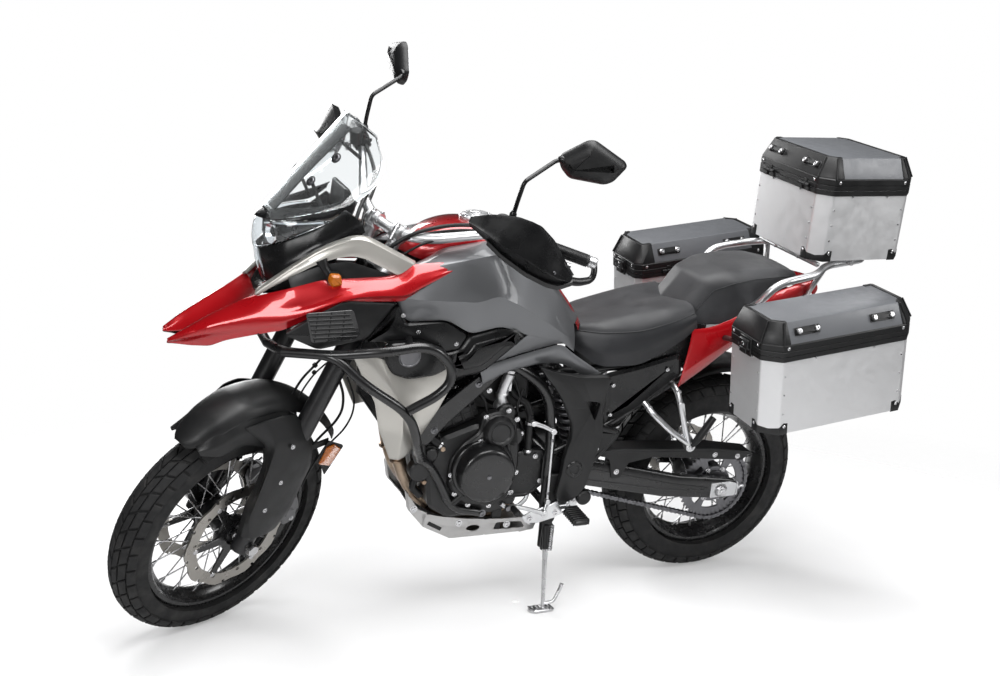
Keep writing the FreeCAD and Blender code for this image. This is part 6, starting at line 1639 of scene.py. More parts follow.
def make_engine():
    """Engine, with its covers and pipes, then the radiator, exhaust and skid plate."""
    case = [(668, 345), (720, 322), (870, 320), (930, 360), (944, 470), (905, 566), (800, 600),
        (668, 575)]
    soft = rounded(case, 16)
    shapes = [layered(soft, (10, -135), (0, -126), (0, -3), (-3, -3), (-3, 3), (0, 3), (0, 126),
        (10, 135))]
    rear = rounded([(600, 420), (620, 372), (668, 352), (668, 570), (612, 520)], 12)
    shapes.append(plate(rear, -135, 92, 5))
    walls = [(12, 48), (52, 92), (96, 128)]
    storeys = [(barrel_outline(0, 134, -58, 58), 100, 4)]
    storeys += [(barrel_outline(a, b, -62, 62), 104, 3) for a, b in walls]
    storeys += [(barrel_outline(134, 142, -66, 66), 108, 2), (barrel_outline(142, 206, -60, 60),
        106, 5), (barrel_outline(206, 214, -64, 64), 110, 2)]
    cam = [tuple(on_barrel(a, b, 0)[[0, 2]]) for a, b in ((214, -58), (214, 58), (240, 50),
        (252, 12), (252, -16), (240, -50))]
    storeys.append((rounded(cam, 10), 104, 5))
    for outline, y, edge in storeys:
        shapes.append(plate(rounded(outline, 6), -y, y, edge))
    ribs = [((70, ahead, y), (7, 9, 118), 1.5) for ahead in (-44, -16, 14, 42)
        for y in (102, -102)]
    ribs += [((along, 0, y), (112, 6, 6), 1.2) for along in (30, 72, 112) for y in (102, -102)]
    ribs += [((74, 60, y), (10, 8, 108), 2) for y in np.linspace(-78, 78, 7)]
    turn = np.stack([CYLINDER_AHEAD, Y, CYLINDER_UP])
    shapes += [block(on_barrel(*spot), size, edge, turn) for spot, size, edge in ribs]
    piece("engine_castings", join(*shapes), "engine", cad=("engine",), smooth=32)
    covers()
    pipes()
    radiator()
    exhaust()
    skid()


def covers():
    """Side covers with their flanges and bosses, and all their screws."""
    flange = rounded([(676, 470), (700, 372), (760, 350), (836, 366), (882, 420), (880, 500),
        (842, 552), (800, 580), (792, 628), (744, 640), (694, 616), (680, 560)], 16)
    shapes = [layered(flange, (0, 120), (0, 143), (5, 148), (5, 151), (10, 156))]
    shapes += [boss((748, 584), [(130, 46), (164, 45), (174, 38), (176, 30), (172, 26)]),
        boss((806, 520), [(130, 34), (162, 33), (168, 27)]), boss((722, 628),
        [(110, 26), (140, 26), (144, 22)]), boss((700, 560), [(110, 30), (150, 28), (156, 22)])]
    for x0, z0, x1, z1 in ((752, 560, 800, 420), (720, 560, 705, 470), (800, 556, 850, 500),
            (846, 470, 880, 440), (836, 400, 870, 372)):
        shapes.append(bar((x0, 150, z0), (x1, 150, z1), 9, 12, 3))
    right = rounded([(690, 380), (760, 352), (850, 372), (886, 440), (870, 520), (800, 566),
        (700, 556), (676, 470)], 18)
    shapes.append(layered(right, (0, -120), (0, -146), (6, -154)))
    piece("engine_covers", join(*shapes), "engine", smooth=34)
    cap = boss((787, 474), [(140, 90), (158, 90), (163, 86), (164, 82), (170, 81), (200, 79),
        (206, 74), (208.5, 64), (209.4, 40)], 72)
    nut = boss((787, 474), [(206, 7), (210.5, 7), (211.5, 5)], 6)
    clutch = boss((780, 460), [(-130, 100), (-190, 100), (-198, 94), (-203, 82), (-206, 60)], 64)
    piece("generator_cover", join(cap, clutch), "frame", smooth=50)
    sprocket = rounded([(584, 478), (592, 400), (640, 366), (706, 368), (716, 500), (640, 514),
        (600, 510)], 10)
    sprocket_lid = layered(sprocket, (0, 112), (0, 138), (3, 142), (9, 142), (11, 140))
    piece("sprocket_cover", sprocket_lid, "black_smooth", smooth=30)
    left = [(781, 144, 702), (784, 146, 626), (738, 150, 605), (694, 150, 613), (679, 150, 569),
        (800, 158, 560), (850, 150, 521), (876, 150, 462), (862, 150, 404), (820, 150, 366),
        (758, 150, 357), (704, 150, 392), (684, 150, 452), (625, 142, 492), (604, 142, 414),
        (690, 142, 386), (822, 150, 486), (720, 148, 640)]
    lids = [(862, 112, 702), (905, 112, 690), (930, 112, 742), (868, 112, 770)]
    right_ones = [(x, -154.5, z) for x, z in inset(right, 10)[::4]]
    piece("engine_screws", join(bolts(left + lids, Y, 5.4, 5.5), bolts(right_ones, -Y, 5.4, 5.5)),
        "steel")
    small = [nut, bar((700, 142, 342), (700, 158, 342), 8, 6, 0.8), bar((868, 118, 352),
        (868, 134, 352), 9, 6, 0.8)]
    piece("engine_plugs", join(*small), "steel_dark")


def pipes():
    """Thermostat housing with its elbow, coolant hoses with clamps, wires and a starter motor."""
    alloy = [boss((727, 640), [(96, 20), (122, 20), (126, 17), (127, 12)], 28),
        tube([(729, 116, 650), (736, 120, 676), (728, 121, 706), (716, 122, 738)],
        [15, 14, 14, 15], 18, 32, 0.2), ring_round((731, 118, 676), (733, 118, 684), 8, 18, 24),
        block((712, 120, 706), (10, 10, 40), 2)]
    piece("thermostat", join(*alloy), "alloy")
    runs = [([(716, 122, 738), (712, 122, 760), (724, 116, 800), (760, 104, 830)], 15),
        ([(651, 140, 618), (654, 146, 588), (653, 146, 540), (650, 140, 500)], 10.5),
        ([(651, 140, 618), (660, 128, 650), (690, 110, 668), (700, 96, 690)], 10.5),
        ([(980, 118, 640), (960, 122, 600), (926, 124, 560), (900, 122, 540)], 13),
        ([(942, 100, 470), (964, 112, 452), (976, 118, 420), (950, 116, 392)], 10),
        ([(670, 120, 690), (690, 128, 640), (676, 132, 596), (660, 128, 560)], 4),
        ([(830, 112, 700), (800, 126, 690), (782, 128, 660), (770, 126, 610)], 3.5),
        ([(720, 112, 760), (700, 128, 720), (690, 130, 690), (672, 118, 650)], 3)]
    piece("engine_hoses", join(*[tube(p, r, 12, 40, 0.2) for p, r in runs]), "rubber")
    rings = [((716, 122, 743), (715, 122, 752), 15, 17.5), ((653.5, 145, 600), (654, 146, 592), 10,
        12.5), ((651, 141, 516), (651, 141, 508), 10, 12.5), ((974, 119, 632), (971, 119, 624), 13,
        15.5), ((903, 122, 543), (909, 122, 547), 13, 15.5)]
    piece("hose_clamps", join(*[ring_round(a, b, r, w, 20) for a, b, r, w in rings]), "steel")
    starter = [bar((930, 40, 520), (930, 128, 520), 26, 28, 3), bar((930, 122, 520),
        (930, 138, 520), 18, 28, 3), bar((958, 96, 470), (958, 132, 470), 30, 30, 4)]
    piece("starter_and_filter", join(*starter), "engine")
    brass = [bar((900, 120, 536), (900, 140, 536), 8, 6, 1), bar((944, 110, 436), (944, 130, 436),
        7, 6, 1), bar((710, 128, 346), (690, 136, 338), 6, 14, 1)]
    piece("engine_fittings", join(*brass), "header")
    drain = tube([(716, 140, 352), (700, 142, 338), (664, 142, 340), (640, 140, 360),
        (634, 132, 384)], 6, 12, 36, 0.2)
    piece("coolant_pipe", drain, "alloy")


def radiator():
    """Radiator core with rows of fins between two side tanks, its cap, fan ring and hangers."""
    core = block((1051, 0, 700), (15, 280, 200), 1)
    fins = copies(block((0, 0, 0), (20, 278, 1.6), 0.4), [(1051, 0, 604 + 6.2 * i)
        for i in range(32)])
    piece("radiator_core", join(core, fins), "steel_dark", cad=("radiator",))
    tank = block((1051, 151, 701), (30, 26, 222), 6)
    bars_ = [block((1051, 0, z), (24, 286, 8), 1.5) for z in (598, 802)]
    hang = block((1048, 77, 840), (10, 16, 84), 2)
    cap = lathe([(0, 0), (0, 14), (6, 20), (12, 20), (14, 14), (14, 0)], (1051, -151, 812), Z, 24)
    fan = ring_lathe([(0, 74), (0, 82), (22, 82), (22, 74)], (1016, 0, 700), X, 40)
    a = np.radians(np.arange(7) * 360 / 7)
    ways = np.stack([0 * a, np.cos(a), np.sin(a)], 1)
    turns = np.stack([np.broadcast_to(X, ways.shape), ways, np.cross(X, ways)], 1)
    blade = block((0, 44, 0), (4, 56, 26), 1.2, np.stack([unit((1, 0, 0.4)), Y,
        unit((-0.4, 0, 1))]))
    blades = copies(blade, (1026, 0, 700), turns)
    piece("radiator_tanks", join(both(tank), both(hang), *bars_, cap), "black")
    piece("radiator_fan", join(fan, blades, bar((1014, 0, 700), (1036, 0, 700), 24, 32, 3)),
        "black")


def exhaust():
    """Two headers into a collector under the engine and one silencer on the right."""
    line = [(974, 52, 706), (1020, 52, 690), (1014, 52, 560), (996, 52, 466), (964, 52, 388),
        (912, 50, 332), (850, 48, 300), (760, 44, 286)]
    headers = both(tube(line, 19, 24, 110, 0.16))
    collector = tube([(800, 0, 286), (770, 0, 286), (680, 0, 286), (650, -20, 290)],
        [40, 58, 58, 30], 28, 40, 0.1, 0.42)
    link = tube([(680, -40, 290), (600, -120, 300), (520, -150, 330), (420, -176, 376),
        (330, -196, 394)], 20, 22, 80, 0.2)
    rings = [ring_round(a, b, 16, 23, 28) for a, b in (((1000, 52, 480), (999, 52, 472)),
        ((1000, -52, 480), (999, -52, 472)))]
    piece("exhaust_headers", join(headers, collector, link, *rings), "header", cad=("exhaust",),
        smooth=50)
    flange = lathe([(-6, 0), (-6, 27), (4, 27), (6, 24), (6, 0)], (980, 52, 704),
        unit((0.94, 0, -0.34)), 6)
    piece("exhaust_flanges", both(flange), "steel_dark")
    a, b = np.array([300.0, -198, 400]), np.array([-100.0, -206, 480])
    way, long = unit(b - a), float(np.linalg.norm(b - a))
    body = lathe([(-42, 0), (-42, 23), (-36, 26), (0, 46), (8, 50), (long - 10, 50), (long, 49),
        (long, 0)], a, way, 56)
    piece("silencer_shell", body, "chrome", smooth=50)
    end = ring_lathe([(long, 20), (long, 49), (long + 4, 51), (long + 10, 51), (long + 34, 36),
        (long + 36, 24), (long + 50, 23.5), (long + 50, 20)], a, way, 56)
    bands = [ring_lathe([(d, 48), (d, 51.4), (d + 20, 51.4), (d + 20, 48)], a, way, 56)
        for d in (60, long - 120)]
    piece("silencer_ends", join(end, *bands), "black_smooth", smooth=50)
    rivets = []
    for d in (16, long - 16):
        t = np.radians(np.arange(12) * 30)
        u = unit(np.cross(way, Z))
        ring = np.cos(t)[:, None] * u + np.sin(t)[:, None] * np.cross(way, u)
        rivets.append(bolts(a + way * d + ring * 49.6, ring, 2.8, 1.6))
    piece("silencer_rivets", join(*rivets), "steel")


def skid():
    """Bent skid plate: slotted front ramp, floor and side wings with windows."""
    tip = [(986, 398), (978, 346), (936, 293), (926, 336), (952, 350), (974, 384)]
    front = [(940, 296), (936, 293), (854, 247), (752, 245), (752, 297), (806, 304), (898, 322),
        (940, 343)]
    back = [(754, 245), (640, 244), (600, 246), (592, 266), (606, 288), (700, 292), (754, 297)]
    oval = [(786 + 20 * math.cos(t), 272 + 9 * math.sin(t)) for t in around(28)]
    window = rounded([(724, 260), (716, 281), (640, 277), (626, 256)], 6)
    sides = join(holed_plate(front, oval, 114.5, 118, 1.0), plate(tip, 114.5, 118, 1.0),
        holed_plate(back, window, 114.5, 118, 1.0))
    outer = [(986, 398), (978, 346), (936, 293), (854, 247), (640, 244), (598, 250)]
    base = []
    for (x0, z0), (x1, z1) in zip(outer, outer[1:]):
        way = unit((x1 - x0, 0, z1 - z0))
        up = np.cross(way, Y)
        up = up if up[2] > 0 or up[0] < 0 else -up
        a, b = np.array([x0, 0, z0]), np.array([x1, 0, z1])
        middle = (a + b) / 2 + up * 2
        turn = np.stack([way, np.cross(up, way), up])
        long = np.linalg.norm(b - a) + 3.5
        if x0 > 940:
            base += [block(middle + Y * y, (long, 26, 4), 0.8, turn) for y in (-102, 102)]
        else:
            base.append(block(middle, (long, 230, 4), 0.8, turn))
    piece("skid_sheet", join(both(sides), *base), "plate", cad=("skid_plate",))
    slot = block((902, 118.4, 292), (46, 1.6, 11), 0.5, np.stack([unit((0.85, 0, 0.52)), Y,
        unit((-0.52, 0, 0.85))]))
    lug_ = block((715, 108, 288), (30, 11, 72), 2)
    piece("skid_slots", both(slot, lug_), "black")
    spots = [(830, 118, 292), (684, 118, 272), (966, 118, 352), (610, 118, 272)]
    screws("skid_screws", spots, 7.5, 4.5)


# ---------------------------------------------------------------- frame, swingarm and chain
CHAIN_Y = 97.0
SPROCKETS = ((REAR_AXLE + (0, CHAIN_Y, 0), 45), (np.array([615.0, CHAIN_Y, 440.0]), 16))


def tube_pair(points, r, n=72, soft=0.14, sides=16):
    """Tubes along a line and along its twin."""
    return both(tube(points, r, sides, n, soft))


def ground_point(x, y):
    """Machine-frame point of the floor under (x, y, 0)."""
    spot = placed((x, y, 0.0))
    spot[2] = CAD_BOX[0][2]
    return (spot - ORIGIN) @ TURN.T / MM


def make_running_gear():
    """Frame and guards, swingarm and chain drive, controls for the feet, stand, tail and rack."""
    frame_tubes()
    guards()
    swing()
    chain()
    feet()
    stand()
    tail_end()
    carriers()
    lamps()
    cap()


def frame_tubes():
    """Head tube, spars and subframe rails with gussets, pivot plates and their bolts."""
    head = ring_round(fork_at(0, 0, 668), fork_at(0, 0, 806), 24, 34, 40)
    seats = [ring_round(fork_at(0, 0, a), fork_at(0, 0, a + 10), 24, 37, 40) for a in (666, 798)]
    spar = tube_pair([(1122, 18, 945), (1030, 86, 896), (905, 134, 846), (700, 138, 764),
        (606, 150, 690), (588, 152, 560), (588, 152, 330)], 14, 110, 0.12, 18)
    diagonal = [(802, 755), (872, 700), (948, 640), (992, 560), (946, 552), (890, 616), (812, 684),
        (750, 742)]
    down = plate(rounded(diagonal, 10), 128, 142, 3)
    pivot = plate(rounded([(500, 400), (560, 380), (604, 400), (604, 500), (560, 520), (500, 470)],
        12), 144, 152, 2)
    hanger = plate(rounded([(900, 848), (960, 862), (950, 780), (915, 780)], 8), 112, 121, 2)
    cross = [bar((588, -152, 345), (588, 152, 345), 12, 24, 1), bar((606, -150, 690),
        (606, 150, 690), 14, 24, 1), bar((512, -40, 690), (512, 40, 690), 14, 24, 1),
        bar((512, 0, 690), (606, 0, 690), 9, 18)]
    piece("frame_tubes", join(head, *seats, spar, both(down), both(pivot), both(hanger), *cross),
        "frame", cad=("main_frame",), smooth=44)
    rails = tube_pair([(640, 136, 735), (560, 118, 735), (300, 114, 735), (180, 112, 800),
        (-60, 104, 848), (-250, 96, 905)], 11, 90)
    lower = tube_pair([(590, 152, 500), (480, 140, 530), (180, 118, 690), (-40, 105, 840)], 11, 70)
    ties = [bar((x, -y, z), (x, y, z), 10, 20) for x, y, z in ((560, 118, 735), (120, 110, 808),
        (-200, 98, 890), (-232, 97, 899))]
    piece("subframe_rails", join(rails, lower, *ties), "frame", cad=("subframe",), smooth=44)
    airbox = rounded([(838, 826), (690, 772), (640, 742), (640, 640), (700, 610), (780, 650),
        (812, 700), (862, 790)], 20)
    body = layered(airbox, (12, -98), (0, -84), (0, 84), (12, 98))
    throttle = [bar((800, y, 760), (880, y, 745), 26, 28, 4) for y in (-50, 50)]
    piece("airbox", join(body, *throttle), "black", smooth=40)
    bolts_ = [(588, 153, 470), (588, 153, 400), (930, 142, 596), (812, 142, 722),
        (928, 121.5, 830)]
    screws("frame_bolts", bolts_, 7, 5, "steel_dark")


def guards():
    """Tubular guards each side with a stay and a bracket to the frame."""
    runs = [([(1366, 60, 842), (1345, 150, 848), (1232, 232, 862), (1172, 270, 800),
        (1054, 280, 716), (1022, 262, 650), (1004, 226, 590), (974, 176, 530)], 12.5),
        ([(1345, 150, 848), (1232, 232, 862), (1110, 282, 884), (1012, 292, 898), (962, 292, 862),
        (938, 292, 812), (968, 292, 768), (1054, 284, 722)], 12.5), ([(974, 176, 530),
        (940, 156, 500), (905, 148, 440), (880, 146, 382), (850, 144, 352), (780, 142, 334)],
        11.5)]
    shapes = [tube(p, r, 18, 120, 0.13) for p, r in runs]
    stay = bar((1060, 284, 886), (1010, 118, 880), 9, 16)
    foot = plate(rounded([(1000, 566), (952, 560), (944, 508), (978, 500)], 8), 132, 142, 2)
    piece("guard_tubes", join(*[both(s) for s in shapes], both(stay), both(foot),
        bar((1366, -64, 842), (1366, 64, 842), 12.5, 18)), "frame", cad=("crash_bars",), smooth=50)
    spots = [(975, 142, 536), (776, 150, 334)]
    screws("guard_bolts", spots, 8, 6, "steel_dark")


COIL_R, COIL_TURNS = 34.0, 6.5
SPRING_R, SPRING_TURNS = 6.0, 26


def swing():
    """Swingarm with rounded box arms, adjuster blocks, axles, shock with its coil, chain guard."""
    arm = [(575, 462), (560, 396), (500, 392), (200, 318), (-20, 288), (-58, 296), (-62, 340),
        (-20, 352), (150, 378), (420, 452), (500, 468)]
    soft = rounded(arm, 12)
    box = layered(soft, (6, 112), (0, 116), (0, 138), (6, 142))
    groove = rounded([(540, 440), (524, 412), (200, 340), (60, 320), (40, 334), (160, 358),
        (430, 432), (500, 448)], 8)
    rib = layered(groove, (0, 141), (1.5, 143.5), (5, 143.5), (7, 141.5))
    cross = block((419, 0, 416), (54, 228, 48), 8)
    pivot = [bar((538, -113, 431), (538, 113, 431), 24, 36, 2), bar((538, -162, 431),
        (538, 162, 431), 12, 24, 1)]
    piece("swingarm_castings", join(both(box), both(rib), cross, *pivot), "frame",
        cad=("swingarm",), smooth=40)
    face = rounded([(34, 346), (34, 298), (-52, 298), (-56, 338), (-30, 346)], 5)
    adjuster = layered(face, (0, 142), (0, 146), (1, 147))
    end = join(bar((-92, 127, 318), (-58, 127, 318), 5, 10, 1), bar((-76, 127, 318),
        (-66, 127, 318), 9, 6, 1), block((-61, 127, 318), (6, 30, 44), 1.5))
    piece("chain_adjusters", both(adjuster, end), "alloy")
    nuts = [lathe([(142.3, 0), (142.3, 24), (146, 24), (147, 22), (147, 0)], (0, 0, REAR_TYRE_R),
        Y, 32), lathe([(147, 0), (147, 17), (157, 17), (159, 15), (159, 0)], (0, 0, REAR_TYRE_R),
        Y, 6), bar((0, 110, REAR_TYRE_R), (0, 163, REAR_TYRE_R), 10, 20, 1.5)]
    front = [bar(FRONT_AXLE + Y * 128, FRONT_AXLE + Y * 146, 17, 6, 1.5),
        bar(FRONT_AXLE - Y * 128, FRONT_AXLE - Y * 146, 17, 28, 1.5), bar(FRONT_AXLE - Y * 134,
        FRONT_AXLE + Y * 134, 10, 24, 0.5), both(bar(FRONT_AXLE + Y * 54.5, FRONT_AXLE + Y * 72.5,
        15, 28, 0.6))]
    inner = both(bar(REAR_AXLE + Y * 104, REAR_AXLE + Y * 111.8, 16, 28, 0.6))
    piece("rear_axle_nuts", join(both(*nuts), inner, bar(REAR_AXLE - Y * 120, REAR_AXLE + Y * 120,
        10, 20, 0.5)), "steel", cad=("rear_axle",))
    piece("front_axle_ends", join(*front), "steel", cad=("front_axle",), **STEERED)
    low, high = np.array([440.0, 0, 470]), np.array([512.0, 0, 690])
    way = unit(high - low)
    u = unit(np.cross(way, Y))
    t = np.linspace(0, COIL_TURNS * 2 * math.pi, 180)
    out = np.cos(t)[:, None] * u + np.sin(t)[:, None] * Y
    coil = wire(low + way * (22 + 152 * (t / t[-1]))[:, None] + COIL_R * out, 6.5, 10, out)
    damper = lathe([(-12, 0), (-12, 14), (10, 14), (12, 42), (18, 42), (20, 24), (100, 24),
        (104, 10), (190, 10), (192, 42), (200, 42), (204, 20), (230, 14), (232, 0)], low, way, 36)
    piece("shock_coil", coil, "steel_dark", smooth=60)
    link = bar(low, (419, 0, 436), 12, 20)
    piece("shock_damper", join(damper, link), "steel_dark", cad=("rear_shock",))
    guard = [(420, 492), (300, 486), (40, 464), (-90, 440), (-96, 430), (60, 448), (300, 474),
        (420, 478)]
    skirt = [(426, 480), (300, 478), (40, 456), (-80, 434), (-60, 418), (60, 432), (250, 456),
        (330, 444), (350, 400), (380, 398), (392, 460)]
    top = plate(rounded(guard, 5), 84, 147, 2)
    side = plate(rounded(skirt, 6), 144, 148, 1)
    piece("chain_guard_shell", join(top, side), "black", cad=("chain_guard",))
    piece("chain_guard_screws", bolts([(366, 148, 420), (40, 148, 444), (-40, 148, 432)], Y, 6, 4),
        "steel")


def toothed(centre, teeth, thick, inner, radius):
    """Sprocket ring: six points a tooth between its root and its tip, and a round bore."""
    part = np.array([0.0, 0.16, 0.3, 0.5, 0.7, 0.84])
    reach = np.array([-8.0, -7.0, -3.5, 0.4, -3.5, -7.0])
    a = ((np.arange(teeth)[:, None] + part[None]) * 2 * math.pi / teeth).ravel()
    r = np.tile(radius + reach, teeth)
    rows = [(np.full_like(r, inner), -thick / 2), (np.full_like(r, inner), thick / 2),
        (r - 2.5, thick / 2), (r, thick / 2 - 1.6), (r, 1.6 - thick / 2), (r - 2.5, -thick / 2)]
    points = np.stack([centre + np.stack([q * np.cos(a), np.full_like(a, y), q * np.sin(a)], 1)
        for q, y in rows])
    return outward(grid(points, wrap_u=True, wrap_v=True))


def chain():
    """Chain of inner and outer links round both sprockets, and the sprockets themselves. The pitch
    line is two arcs and two tangents; link k stands at k pitches along it."""
    (rear, teeth_r), (front, teeth_f) = SPROCKETS
    r1, r2 = (CHAIN_PITCH / (2 * math.sin(math.pi / n)) for n in (teeth_r, teeth_f))
    line = front - rear
    gap = float(np.linalg.norm(line))
    base, spread = math.atan2(line[2], line[0]), math.acos((r1 - r2) / gap)

    def at(centre, r, angle):
        return centre + np.array([math.cos(angle) * r, 0, math.sin(angle) * r])

    angles_f = np.linspace(base + spread, base - spread, 40)
    angles_r = np.linspace(base - spread, base + spread - 2 * math.pi, 90)
    path = [at(front, r2, a) for a in angles_f] + [at(rear, r1, a) for a in angles_r]
    path = np.array(path + path[:1])
    steps = np.r_[0, np.cumsum(np.linalg.norm(np.diff(path, axis=0), axis=1))]
    count = 2 * round(steps[-1] / CHAIN_PITCH / 2)
    where = np.arange(count) * steps[-1] / count
    pins = np.stack([np.interp(where, steps, path[:, i]) for i in range(3)], 1)
    nexts = np.roll(pins, -1, 0)
    way = unit(nexts - pins)
    turns = rows_along(way)
    t = np.radians((100, 140, 180, 220, 260))
    lobe = np.stack([6.6 * np.cos(t), 6.6 * np.sin(t)], 1)
    outline = np.vstack([lobe, (CHAIN_PITCH / 2, -4.4), -lobe + (CHAIN_PITCH, 0),
        (CHAIN_PITCH / 2, 4.4)])
    link = []
    for shift, y0, y1 in ((0, 6.4, 8.0), (1, 4.4, 6.0)):
        side = stack([(outline, y0), (outline, y1)])
        pair = join(side, stack([(outline, -y1), (outline, -y0)]))
        link.append(copies(pair, (pins[shift::2] + nexts[shift::2]) / 2 -
            way[shift::2] * CHAIN_PITCH / 2, turns[shift::2]))
    pin_bars = rods(pins - Y * 9.2, pins + Y * 9.2, 2.6, 8)
    rollers = rods(pins - Y * 4.6, pins + Y * 4.6, 4.9, 8)
    piece("chain_links", join(*[outward_all(shape, count // 2) for shape in link], pin_bars,
        rollers), "steel_dark", cad=("drive_chain",), smooth=30)
    ring = toothed(rear, teeth_r, 7, r1 - 32, r1)
    ways, turns6 = star(6)
    arm = plate([(44, -17), (62, -9), (r1 - 30, -14), (r1 - 30, 14), (62, 9), (44, 17)], -3.4, 3.4,
        0.8)
    arms = outward_all(copies(arm, rear, turns6), 6)
    core = ring_lathe([(-40, 21), (-40, 46), (-8, 52), (-3.5, 58), (3.5, 58), (3.5, 46), (7, 44),
        (7, 21)], rear, Y, 56)
    piece("rear_sprocket_wheel", join(ring, arms, core), "steel_dark", body="rear_wheel",
        cad=("rear_sprocket",))
    nuts = bolts(rear + ways * 51 + Y * 4.5, Y, 6.5, 6)
    piece("sprocket_nuts", nuts, "steel", body="rear_wheel")
    piece("front_sprocket", join(toothed(front, teeth_f, 7, 14, r2), bar(front - Y * 16,
        front + Y * 12, 14, 24, 1)), "steel_dark")


def feet():
    """Heel plates, ribbed pegs, gear and brake pedals with the gear rod, passenger brackets."""
    heel = rounded([(664, 320), (640, 332), (574, 352), (508, 378), (493, 368), (494, 342),
        (559, 308), (611, 296), (650, 300)], 7)
    plates = layered(heel, (1.5, 166.5), (0, 168), (0, 172), (1.5, 173.5))
    hanger = plate(rounded([(600, 440), (520, 440), (500, 360), (560, 326), (606, 340)], 10), 152,
        166, 2)
    clevis = [block((540, 190, 344), (40, 36, 12), 3), bar((556, 180, 344), (524, 180, 344), 9, 16,
        1), bar((530, 182, 330), (530, 182, 360), 5.5, 12, 1)]
    piece("heel_plates", both(plates, *clevis), "alloy", cad=("footrests",))
    piece("peg_hangers", both(hanger), "black")
    screws("heel_screws", [(507, 173.5, 360), (542, 173.5, 342), (562, 173.5, 324),
        (640, 173.5, 314)], 6.5, 5)
    ribs = [block((530, 240, 343), (44, 90, 15), 4)]
    ribs += [block((530, 202 + 11 * i, 352.5), (46, 5, 5), 1) for i in range(8)]
    ribs += [block((530 + s * 22.5, 202 + 11 * i, 344), (4, 5, 16), 1) for i in range(8)
        for s in (-1, 1)]
    stub = lathe([(-20, 0), (-20, 18), (-16, 22), (16, 22), (20, 18), (20, 0)], (480, 168, 366), Y,
        24)
    piece("peg_rubbers", both(*ribs), "rubber")
    piece("chain_roller", stub, "rubber")
    gear = [bar((600, 160, 330), (600, 190, 330), 11, 20, 1), tube([(600, 186, 330),
        (640, 188, 348), (680, 194, 364), (706, 198, 371)], 6, 12, 30), bar((706, 190, 369),
        (706, 204, 369), 7, 12, 1), tube([(600, 180, 330), (594, 176, 346), (589, 172, 360)], 6,
        10, 12), bar((589, 172, 366), (592, 172, 572), 3.8, 12, 0.5), bar((589, 164, 362),
        (589, 180, 362), 7.5, 16, 1), bar((592, 164, 578), (592, 180, 578), 8.5, 16, 1),
        tube([(592, 176, 578), (618, 168, 592), (648, 158, 601)], [5.5, 6, 8], 12, 20, 0.2, 0.7),
        bar((648, 140, 601), (648, 166, 601), 8, 18, 1)]
    pedal = [bar((600, -173, 400), (600, -194, 400), 11, 20, 1), tube([(600, -186, 400),
        (650, -190, 378), (716, -198, 360)], 6, 12, 30), block((721, -216, 358), (34, 48, 12), 3)]
    piece("foot_levers", join(*gear, *pedal), "alloy", cad=("foot_controls",))
    toe = lathe([(0, 0), (0, 9)] + [(4 + 5 * i + d, r) for i in range(6)
        for d, r in ((0, 9.5), (2.6, 9.5), (3, 8), (4.6, 8))] + [(36, 8), (36, 0)],
        (706, 203, 369), Y, 18)
    nuts = [bar((590, 172, 384), (590, 172, 392), 5.5, 6, 0.5), bar((592, 172, 546),
        (592, 172, 556), 5.5, 6, 0.5)]
    piece("pedal_rubber", toe, "rubber")
    piece("rod_nuts", join(*nuts), "steel_dark")
    arm = tube([(206, 128, 676), (206, 160, 664), (202, 178, 632), (166, 190, 512)], 12, 14, 50,
        0.2, 0.7)
    arm2 = tube([(296, 132, 628), (284, 172, 606), (230, 188, 556), (166, 190, 512)], 12, 14, 50,
        0.2, 0.7)
    web = plate(rounded([(214, 640), (180, 520), (150, 494), (140, 508), (176, 560), (196, 640)],
        5), 184, 190, 1)
    knuckle = bar((160, 176, 502), (160, 200, 502), 15, 24, 2)
    piece("passenger_brackets", both(arm, arm2, web, knuckle), "alloy")
    pegs = tube([(160, 192, 504), (152, 202, 516), (128, 206, 556), (104, 208, 596)],
        [9, 13, 13, 12], 14, 40, 0.2, 0.75)
    piece("passenger_pegs", both(pegs), "rubber")
    screws("passenger_screws", [(160, 200, 502), (206, 166, 664), (290, 160, 618)], 6, 4)


